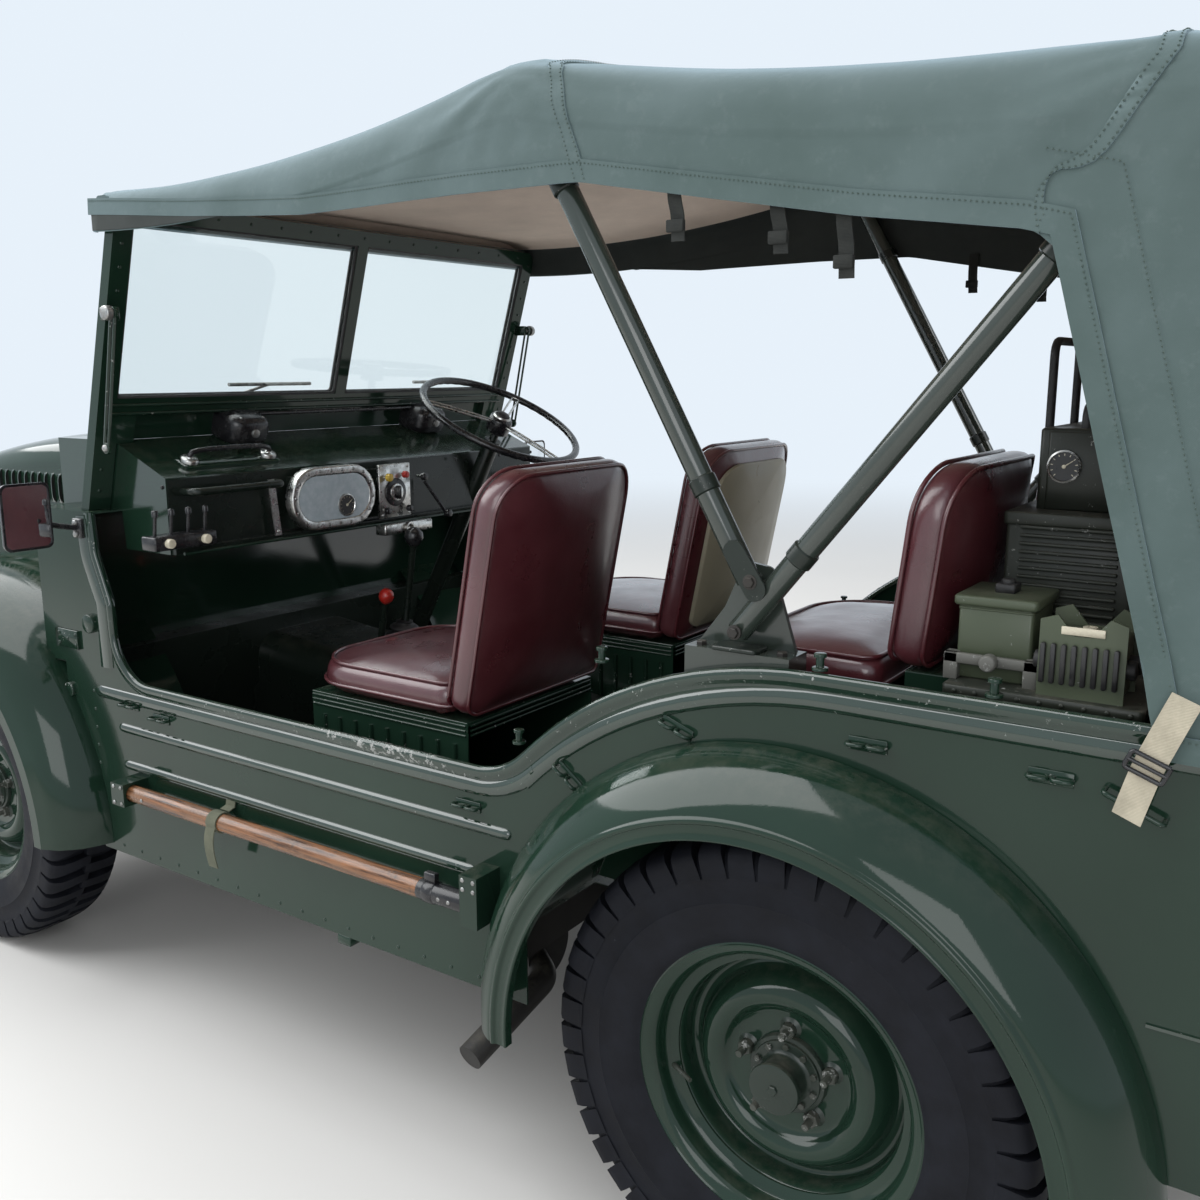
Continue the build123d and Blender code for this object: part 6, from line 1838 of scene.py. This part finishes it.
def ribbed_sets():
    cases, ribs, trims = [], [], []
    for low, high, rib_low, rib_high, count in set_cases:
        cases.append(slab(low, high, 0.003, 0.006))
        cases.append(slab((low[0] - 0.004, low[1] - 0.004, high[2] - 0.016),
                          (high[0] + 0.004, high[1] + 0.004, high[2] + 0.001), 0.002, 0.008))
        for k in range(count):
            z = rib_low + (rib_high - rib_low) * k / (count - 1)
            ribs.append(slab((low[0] + 0.020, high[1] - 0.001, z - 0.0022),
                             (high[0] - 0.020, high[1] + 0.006, z + 0.0022), 0.001))
            ribs.append(slab((high[0] - 0.001, low[1] + 0.03, z - 0.0022),
                             (high[0] + 0.006, high[1] - 0.03, z + 0.0022), 0.001))
        trims += screws_round(low, high, high[1])
        for z in (high[2] - 0.05, low[2] + 0.05):
            trims.append(disc((high[0] - 0.001, low[1] + 0.016, z), forwards, 0.009, 0.010, 0.002, 20))
    return cases, ribs, trims


def upper_gear():
    """The smaller case on the left set: plate with a dial, a canister and a tube handle over them."""
    cases = [slab((-1.210, 0.150, 1.186), (-1.100, 0.400, 1.300), 0.003, 0.006),
             slab((-1.196, 0.395, 1.192), (-1.112, 0.404, 1.296), 0.0015, 0.004),
             turned([(0.0, 0.028), (0.020, 0.028), (0.026, 0.024), (0.028, 0.018), (0.028, -0.001),
                     (0.0, -0.001)], (-1.175, 0.200, 1.300), upwards, 32)]
    frame_line = [(-1.095, 0.330, 1.190), (-1.095, 0.330, 1.416), (-1.095, 0.180, 1.416),
                  (-1.095, 0.180, 1.190)]
    loops = [tube(rounded_path(frame_line, 0.022), 0.006, 10)]
    loops.append(tube(rounded_path([(-1.155, 0.300, 1.298), (-1.155, 0.300, 1.329), (-1.155, 0.380, 1.329),
                                    (-1.155, 0.380, 1.298)], 0.020), 0.0075, 12))
    return cases, loops


def rounded_path(points, radius, steps=5):
    """A bent rod's line: each inner corner becomes an arc-like curve."""
    points = [Vector(p) for p in points]
    line = [tuple(points[0])]
    for a, b, c in zip(points, points[1:], points[2:]):
        start, end = b + (a - b).normalized() * radius, b + (c - b).normalized() * radius
        for k in range(steps + 1):
            t = k / steps
            line.append(tuple(start * (1 - t) ** 2 + b * 2 * t * (1 - t) + end * t * t))
    return line + [tuple(points[-1])]


def small_radio_box():
    case = [slab((-1.148, 0.462, 0.985), (-1.054, 0.566, 1.083), 0.003, 0.005),
            slab((-1.154, 0.456, 1.081), (-1.048, 0.572, 1.094), 0.0025, 0.007),
            slab((-1.149, 0.461, 1.0755), (-1.053, 0.567, 1.0785), 0.001, 0.005)]
    plug = [slab((-1.114, 0.498, 1.093), (-1.088, 0.530, 1.106), 0.002, 0.003),
            disc((-1.101, 0.514, 1.105), upwards, 0.009, 0.006, 0.002, 20)]
    bracket = [slab((-1.060, 0.560, 0.984), (-1.042, 0.580, 1.020), 0.0015),
               slab((-1.160, 0.560, 0.984), (-1.142, 0.580, 1.020), 0.0015),
               slab((-1.160, 0.572, 1.006), (-1.042, 0.580, 1.020), 0.0015),
               disc((-1.101, 0.580, 1.013), outwards, 0.011, 0.014, 0.003, 20)]
    return case, plug, bracket


def control_unit():
    """Two cheek plates cut to a V on top, a ribbed block between them, and capped sockets at both ends."""
    cheek = [(-0.050, 0.0), (0.050, 0.0), (0.050, 0.095), (0.030, 0.102), (0.010, 0.078), (-0.010, 0.078),
             (-0.030, 0.102), (-0.050, 0.095)]
    outline = [(-1.213 + u, 0.985 + v) for u, v in cheek]
    body = [prism(outline, 0.516, 0.520, side_view), prism(outline, 0.592, 0.596, side_view),
            slab((-1.258, 0.520, 0.987), (-1.168, 0.592, 1.062), 0.003, 0.004)]
    dark = [slab((-1.256 + 0.012 * k, 0.596, 1.002), (-1.250 + 0.012 * k, 0.603, 1.052), 0.0015)
            for k in range(8)]
    for y in (0.540, 0.572):
        for x, side in ((-1.258, -1), (-1.168, 1)):
            dark.append(disc((x, y, 1.024), (side, 0, 0), 0.012, 0.014, 0.002, 24))
    pale = [slab((-1.238, 0.5955, 1.064), (-1.188, 0.5975, 1.074), 0.0006),
            turned([(0.004, 0.0), (0.004, 0.006), (0.0085, 0.006), (0.0095, 0.0)], (-1.213, 0.556, 1.062),
                   upwards)]
    return body, dark, pale


radio_green = sprayed("radio_green", (0.052, 0.068, 0.042), (0.080, 0.098, 0.064), gloss=0.38, chips=0.66,
                      dust=0.4)
radio_dark = sprayed("radio_dark_green", (0.014, 0.017, 0.013), (0.030, 0.035, 0.027), gloss=0.42,
                     chips=0.64, dust=0.5)
grey_metal = sprayed("worn_grey", (0.10, 0.105, 0.098), (0.17, 0.17, 0.155), gloss=0.45, chips=0.60, dust=0.3)
cases, ribs, trims = ribbed_sets()
upper_cases, loops = upper_gear()
box_case, box_plug, box_bracket = small_radio_box()
unit_body, unit_dark, unit_pale = control_unit()
made("radio_table", radio_table(), radio_dark, stands_for=("radio_gear",), sharp=50)
for name, shapes, finish in (("radio_cases", cases, radio_dark), ("radio_ribs", ribs, radio_dark),
                             ("radio_upper_case", upper_cases, radio_dark),
                             ("radio_handles", loops, seal_rubber),
                             ("radio_screws", trims + box_bracket, grey_metal),
                             ("radio_box", box_case, radio_green),
                             ("radio_plug", box_plug + unit_dark, seal_rubber),
                             ("control_unit", unit_body, radio_green),
                             ("control_unit_plate", unit_pale, ivory)):
    made(name, joined(shapes), finish, sharp=50)
dial_place = Matrix.Translation((-1.135, 0.4045, 1.250)) @ Matrix.Rotation(math.radians(-90), 4, "Z")
dial("radio_dial", gauge(0.0, 0.0, 0.022, 0.0), dial_place)

# Mirrors
# A flat glass in a pressed black back with a rolled edge, on a bent rod that is clamped to a foot on the
# scuttle.
mirror_head = ((0.678, 0.762, 1.035), (0.692, 0.862, 1.165))
mirror_rod = [(0.725, 0.679, 1.060), (0.725, 0.745, 1.075), (0.690, 0.780, 1.090)]


def mirror_shapes():
    (x0, y0, z0), (x1, y1, z1) = mirror_head
    middle = ((y0 + y1) / 2, (z0 + z1) / 2)
    half_y, half_z = (y1 - y0) / 2, (z1 - z0) / 2
    rows = []
    for x, inset, corner in ((x0 + 0.0012, 0.005, 0.012), (x0, 0.003, 0.013), (x0 + 0.0005, 0.0, 0.014),
                             (x0 + 0.004, 0.0, 0.014), (x1 - 0.005, 0.001, 0.014),
                             (x1 - 0.001, 0.006, 0.012), (x1, 0.018, 0.010), (x1, 0.034, 0.004)):
        outline = round_box(-half_y + inset, -half_z + inset, half_y - inset, half_z - inset, corner)
        rows.append([(x, middle[0] + u, middle[1] + v) for u, v in outline])
    shell = grid(rows, round_columns=True)
    shell = shell[0], shell[1] + [tuple(range(len(shell[0]) - len(rows[0]), len(shell[0])))]
    glass = rows[0], [tuple(range(len(rows[0])))]
    arm = [tube(smooth_line(mirror_rod, 5), 0.006, 12),
           slab((0.710, 0.671, 1.040), (0.740, 0.685, 1.080), 0.002, 0.004)]
    arm.append(disc(mirror_rod[-1], (-0.2, 1, 0), 0.010, 0.014, 0.002, 20))
    arm.append(disc((0.692, 0.790, 1.094), forwards, 0.012, 0.010, 0.002, 20))
    bolts = [moved(hexagon(0.0065, 0.0, 0.005), pointing((0.725, 0.685, z), outwards))
             for z in (1.048, 1.072)]
    return [both_sides(s) for s in (shell, glass, joined(arm), joined(bolts))]


mirror_back, mirror_glass, mirror_arm, mirror_bolts = mirror_shapes()
silvered = bare_metal("silvered_glass", (0.86, 0.88, 0.88), (0.70, 0.72, 0.72), 0.03, 8.0)
made("mirror_backs", mirror_back, black_enamel, stands_for=("mirrors",), sharp=60)
made("mirror_glasses", mirror_glass, silvered)
made("mirror_arms", mirror_arm, black_enamel, sharp=50)
made("mirror_bolts", mirror_bolts, worn_steel, sharp=50)

# Lamps
# Head lamps with a plated rim and a fluted lens in a steel bowl, let into the front panel; round red tail
# lamps with a black body on the rear panel.
head_lamp = (1.699, 0.318, 0.920)
tail_lamp = (-1.564, 0.600, 0.660)


def lens_glass(name, colour, flutes):
    """Fluted lamp glass, a little dull in patches."""
    material, tree, where = blank_finish(name)
    return finished(material, {
        "Base Color": (*colour, 1), "Transmission Weight": 0.75, "IOR": 1.46,
        "Roughness": ramp_of(tree, noise_of(tree, where, 12.0, 4.0), 0.3, 0.8, 0.04, 0.16),
        "Normal": bump_of(tree, bands_of(tree, where, flutes, 0.0, "Y"), 0.5, 0.002)})


head_glass = lens_glass("head_lamp_glass", (0.92, 0.93, 0.90), 38.0)
red_glass = lens_glass("tail_lamp_glass", (0.42, 0.02, 0.02), 60.0)

lamp_parts = (
    # name, finish, node it stands for, lamp, direction, sides, section
    ("lamp_bowls", body_green, ("lamps",), head_lamp, 1, 48,
     smooth_line([(0.088, 0.002), (0.086, -0.006), (0.080, -0.045), (0.045, -0.078), (0.012, -0.090),
                  (0.0, -0.091)], 3)),
    ("lamp_rims", plated_steel, (), head_lamp, 1, 64,
     [(0.0915, -0.001), (0.0920, 0.004), (0.0905, 0.010), (0.0865, 0.0135), (0.0815, 0.0125),
      (0.0795, 0.008)]),
    ("lamp_lenses", head_glass, (), head_lamp, 1, 64,
     smooth_line([(0.0798, 0.010), (0.060, 0.0165), (0.032, 0.0205), (0.0, 0.022)], 3)),
    ("tail_lamp_bodies", black_enamel, (), tail_lamp, -1, 40,
     [(0.0375, 0.0), (0.0380, 0.003), (0.0370, 0.026), (0.0350, 0.031), (0.0310, 0.0315)]),
    ("tail_lamp_lenses", red_glass, (), tail_lamp, -1, 40,
     [(0.0312, 0.029), (0.0300, 0.038), (0.024, 0.043), (0.012, 0.0445), (0.0, 0.0448)]),
)
for name, finish, stands_for, (x, y, z), way, sides, section in lamp_parts:
    pair = joined([turned(section, (x, side * y, z), (way, 0, 0), sides) for side in (-1, 1)])
    made(name, pair, finish, stands_for=stands_for, sharp=60)

# Rear carriers
# The spare wheel's boss and the tray for a fuel can, bolted to the rear panel. The can is pressed from two
# halves, with a cross in its face and a seam round its waist.
can_low, can_high = (-1.736, 0.200, 0.575), (-1.570, 0.545, 1.015)
eased("rear_carriers", body_green, edge_green, 0.003)


def can_pressings():
    """The raised cross of the can's rear face, the seam round its waist, and its cap."""
    shapes = []
    middle = ((can_low[1] + can_high[1]) / 2, (can_low[2] + can_high[2]) / 2)
    for u, v in (((-0.12, -0.15), (0.12, 0.15)), ((-0.12, 0.15), (0.12, -0.15))):
        line = [(can_low[0] - 0.0005, middle[0] + u[0] + (v[0] - u[0]) * k / 8, middle[1] + u[1]
                 + (v[1] - u[1]) * k / 8) for k in range(9)]
        shapes.append(tube(line, 0.0055, 10))
    outline = round_box(can_low[1], can_low[2] + 0.004, can_high[1], can_high[2], 0.02, 0.040)
    shapes.append(tube([((can_low[0] + can_high[0]) / 2, y, z) for y, z in outline], 0.0035, 8, closed=True))
    shapes.append(turned([(0.0, 0.030), (0.022, 0.030), (0.024, 0.026), (0.024, 0.0), (0.0, 0.0)],
                         (-1.653, 0.245, 1.002), (0, -0.4, 1)))
    return joined(shapes)


made("can_pressings", can_pressings(), body_green, sharp=60)

# Digging tool's handle
# Turned ash, varnished and grey with handling, in a black steel end held by a box bracket; its front end
# sits in a socket and a webbing strap goes round it.
tool_y, tool_z = 0.705, 0.525
tool_section = [(0.0, -0.350), (0.0165, -0.350), (0.0178, -0.345), (0.0178, -0.230), (0.0172, -0.226),
                (0.0168, -0.100), (0.0172, 0.100), (0.0176, 0.300), (0.0174, 0.450), (0.0165, 0.560),
                (0.0160, 0.600), (0.0, 0.600)]


def varnished_ash():
    """Ash along X: straight dark grain, drifts of dirt, and worn patches where the varnish has gone."""
    material, tree, where = blank_finish("varnished_ash")
    stretched = node(tree, "ShaderNodeMapping", {"Vector": where, "Scale": (1.6, 30.0, 30.0)}).outputs[0]
    grain = noise_of(tree, stretched, 5.0, 8.0, 0.65)
    tone = blend_of(tree, ramp_of(tree, grain, 0.38, 0.62), (0.040, 0.017, 0.008), (0.27, 0.120, 0.052))
    worn = ramp_of(tree, noise_of(tree, where, 9.0, 6.0, 0.7), 0.50, 0.72)
    tone = blend_of(tree, worn, tone, (0.20, 0.105, 0.055))
    dirt = ramp_of(tree, noise_of(tree, where, 34.0, 6.0, 0.7), 0.60, 0.72, 0.0, 0.8)
    return finished(material, {
        "Base Color": blend_of(tree, dirt, tone, (0.035, 0.028, 0.022)),
        "Roughness": ramp_of(tree, worn, 0.0, 1.0, 0.16, 0.34),
        "Normal": bump_of(tree, grain, 0.35, 0.0012)})


def turned_along_x(section, y, z, sides=28):
    turn = Matrix.Translation((0, y, z)) @ Matrix.Rotation(math.radians(-90), 4, "Z")
    return moved(lathe(section, sides), turn)


made("tool_ash", turned_along_x(tool_section[4:], tool_y, tool_z), varnished_ash(),
     stands_for=("tool_handle",), sharp=50)
made("tool_ferrule", turned_along_x(tool_section[:5], tool_y, tool_z), black_enamel, sharp=50)


def tool_fittings():
    lug = [slab((-0.262, 0.700, 0.5415), (-0.238, 0.712, 0.560), 0.0015),
           turned([(0.0180, -0.012), (0.0196, -0.010), (0.0196, 0.010), (0.0180, 0.012)],
                  (-0.250, tool_y, tool_z), forwards)]
    rivets = [stud((x, tool_y + 0.0176, tool_z), outwards, 0.0038, 0.002) for x in (-0.30, -0.278, 0.52)]
    rivets += [stud((x, tool_y + 0.0255, z), outwards, 0.0042, 0.0025) for x in (-0.361, -0.339)
               for z in (0.562, 0.578)]
    rivets += [stud((x, 0.7295, z), outwards, 0.0040, 0.0025) for x in (0.578, 0.602)
               for z in (0.508, 0.542)]
    loop = [(0.30, tool_y + 0.020 * math.cos(a), tool_z + 0.020 * math.sin(a))
            for a in (2 * math.pi * k / 24 for k in range(24))]
    rows = []
    for p in loop:
        out = Vector((0, p[1] - tool_y, p[2] - tool_z)).normalized()
        rows.append([tuple(Vector(p) + Vector((dx, 0, 0)) + out * lift)
                     for dx, lift in ((-0.014, -0.002), (0.014, -0.002), (0.014, 0.0008),
                                      (-0.014, 0.0008))])
    band_shape = grid(rows, round_rows=True, round_columns=True)
    tail = strap(smooth_line([(0.300, tool_y + 0.019, tool_z - 0.004),
                              (0.303, tool_y + 0.0235, tool_z - 0.030),
                              (0.306, tool_y + 0.020, tool_z - 0.062),
                              (0.309, tool_y + 0.012, tool_z - 0.092)], 4), forwards, 0.026)
    keeper = strap([(0.300, 0.6715, tool_z + 0.045), (0.300, 0.676, tool_z + 0.022),
                    (0.300, 0.690, tool_z + 0.0175)], forwards, 0.026)
    return joined(lug), joined(rivets), joined([band_shape, tail, keeper])


lug_shape, rivet_shape, strap_shape = tool_fittings()
made("tool_lug", lug_shape, black_enamel, sharp=50)
made("tool_rivets", rivet_shape, worn_steel, sharp=50)
made("tool_strap", strap_shape, drab_webbing, sharp=50)

# Fittings on the body
# Double-loop cleats of steel rod welded to plates along the sides, pegs on the side rails, screwed pads
# and caps beside the scuttle, rivets in the seams, and the webbing strap that ties the hood's rear corner
# down.
side_cleats = (
    # x, z, lean in degrees
    (0.605, 0.699, 0), (0.506, 0.686, 0), (-0.305, 0.678, 0), (-0.507, 0.770, -38), (-0.698, 0.879, -20),
    (-0.980, 0.906, 0), (-1.205, 0.908, 0),
)
rail_pegs = ((-0.402, 0.800), (-0.560, 0.955), (-0.905, 0.992), (-1.13, 0.992))
side_caps = (
    # x, z, radius, height
    (0.723, 0.858, 0.020, 0.010),
    (0.820, 0.700, 0.017, 0.008),
    (0.876, 0.672, 0.012, 0.012),
    (0.897, 0.661, 0.012, 0.006),
)


def cleat(x, z, lean):
    """Two loops of rod on a small plate."""
    turn = Matrix.Translation((x, body_half, z)) @ Matrix.Rotation(math.radians(lean), 4, "Y")
    shapes = [slab((-0.026, 0.0, -0.009), (0.026, 0.0022, 0.009), 0.0008)]
    for middle in (-0.014, 0.014):
        loop = [(middle - 0.011, 0.002, 0.0), (middle - 0.011, 0.011, 0.001),
                (middle - 0.006, 0.0165, 0.0015), (middle + 0.006, 0.0165, 0.0015),
                (middle + 0.011, 0.011, 0.001), (middle + 0.011, 0.002, 0.0)]
        shapes.append(tube(smooth_line(loop, 3), 0.0032, 8))
    return moved(joined(shapes), turn)


def side_fittings():
    loops = [cleat(*row) for row in side_cleats]
    for x, z in rail_pegs:
        loops.append(disc((x, 0.658, z), upwards, 0.011, 0.003, 0.0008, 20))
        loops.append(disc((x, 0.658, z + 0.003), upwards, 0.0055, 0.018, 0.0015, 16))
        loops.append(disc((x, 0.658, z + 0.018), upwards, 0.0085, 0.004, 0.0012, 20))
    caps = [disc((x, body_half, z), outwards, r, h, 0.002, 28) for x, z, r, h in side_caps]
    caps.append(slab((0.770, body_half, 0.795), (0.850, body_half + 0.004, 0.835), 0.0015, 0.006))
    caps += [stud((x, body_half + 0.0035, z), outwards, 0.0042, 0.003)
             for x, z in ((0.780, 0.804), (0.840, 0.804), (0.780, 0.826), (0.840, 0.826), (0.810, 0.815))]
    caps.append(slab((-0.012, 0.640, 0.338), (0.022, 0.672, 0.358), 0.002))
    studs = []
    for k in range(12):
        studs.append(stud((-1.540, body_half, 0.46 + 0.045 * k), outwards, 0.0042, 0.0022))
    for k in range(9):
        studs.append(stud((0.735, body_half, 0.39 + 0.040 * k), outwards, 0.0042, 0.0022))
    for k in range(18):
        studs.append(stud((-0.38 + 0.062 * k, body_half, 0.375), outwards, 0.0040, 0.0020))
    return [both_sides(joined(s)) for s in (loops, caps, studs)]


def corner_strap():
    """From a stitched patch on the hood's rear corner, over a dark buckle, to a hook on the body."""
    line = [(-1.341, 0.6865, 1.028), (-1.333, 0.6895, 1.008), (-1.320, 0.6915, 0.974),
            (-1.309, 0.6920, 0.944), (-1.300, 0.6915, 0.912), (-1.292, 0.690, 0.882)]
    tie = strap(smooth_line(line, 4), (0.93, 0, 0.36), 0.033, 0.0026)
    corners = ((-1.333, 0.950), (-1.293, 0.965), (-1.285, 0.945), (-1.325, 0.930), (-1.333, 0.950))
    buckle = tube(rounded_path([(x, 0.6955, z) for x, z in corners], 0.004), 0.0028, 8)
    bar = tube([(-1.329, 0.6965, 0.940), (-1.289, 0.6965, 0.955)], 0.0024, 8)
    hooks = [tube(rounded_path([(-1.265, 0.671, 0.907), (-1.265, 0.688, 0.907), (-1.330, 0.688, 0.881),
                                (-1.330, 0.671, 0.881)], 0.006), 0.0032, 8)]
    return tie, joined([buckle, bar]), joined(hooks)


fitting_loops, fitting_caps, fitting_studs = side_fittings()
made("side_cleats", fitting_loops, edge_green, sharp=50)
made("side_caps", fitting_caps, edge_green, sharp=50)
made("seam_rivets", fitting_studs, body_green, sharp=50)
tie, buckle, hooks = corner_strap()
for side in ("left", "right"):
    made("corner_strap_" + side, on_side(tie, side), cream_webbing, sharp=60)
    made("strap_buckle_" + side, on_side(buckle, side), black_enamel, sharp=60)
    made("strap_hook_" + side, on_side(hooks, side), edge_green, sharp=60)

# Boxes under the front cushions
# The front seats stand on folded sheet boxes with pressed ribs in their sides and three beads along the
# lid, spot welded to the floor.
pedestal = (-0.200, 0.196)
pedestal_half = 0.193


def pedestal_ribs(y):
    shapes = []
    for k in range(9):
        x = pedestal[0] + 0.030 + k * 0.0415
        for side in (-1, 1):
            line = [(x, y + side * (pedestal_half + 0.0008), z) for z in (0.54, 0.60, 0.66, 0.725)]
            shapes.append(tube(line, 0.0045, 8))
    for z in (0.743, 0.752, 0.761):
        shapes.append(tube([(pedestal[0] - 0.001, y + v, z) for v in (-0.185, 0.185)], 0.0025, 6))
        shapes.append(tube([(x, y + pedestal_half + 0.0005, z)
                            for x in (pedestal[0] + 0.004, pedestal[1] - 0.004)], 0.0025, 6))
    return joined(shapes)


made("pedestal_ribs", joined([pedestal_ribs(0.355), pedestal_ribs(-0.355)]), edge_green, sharp=60)
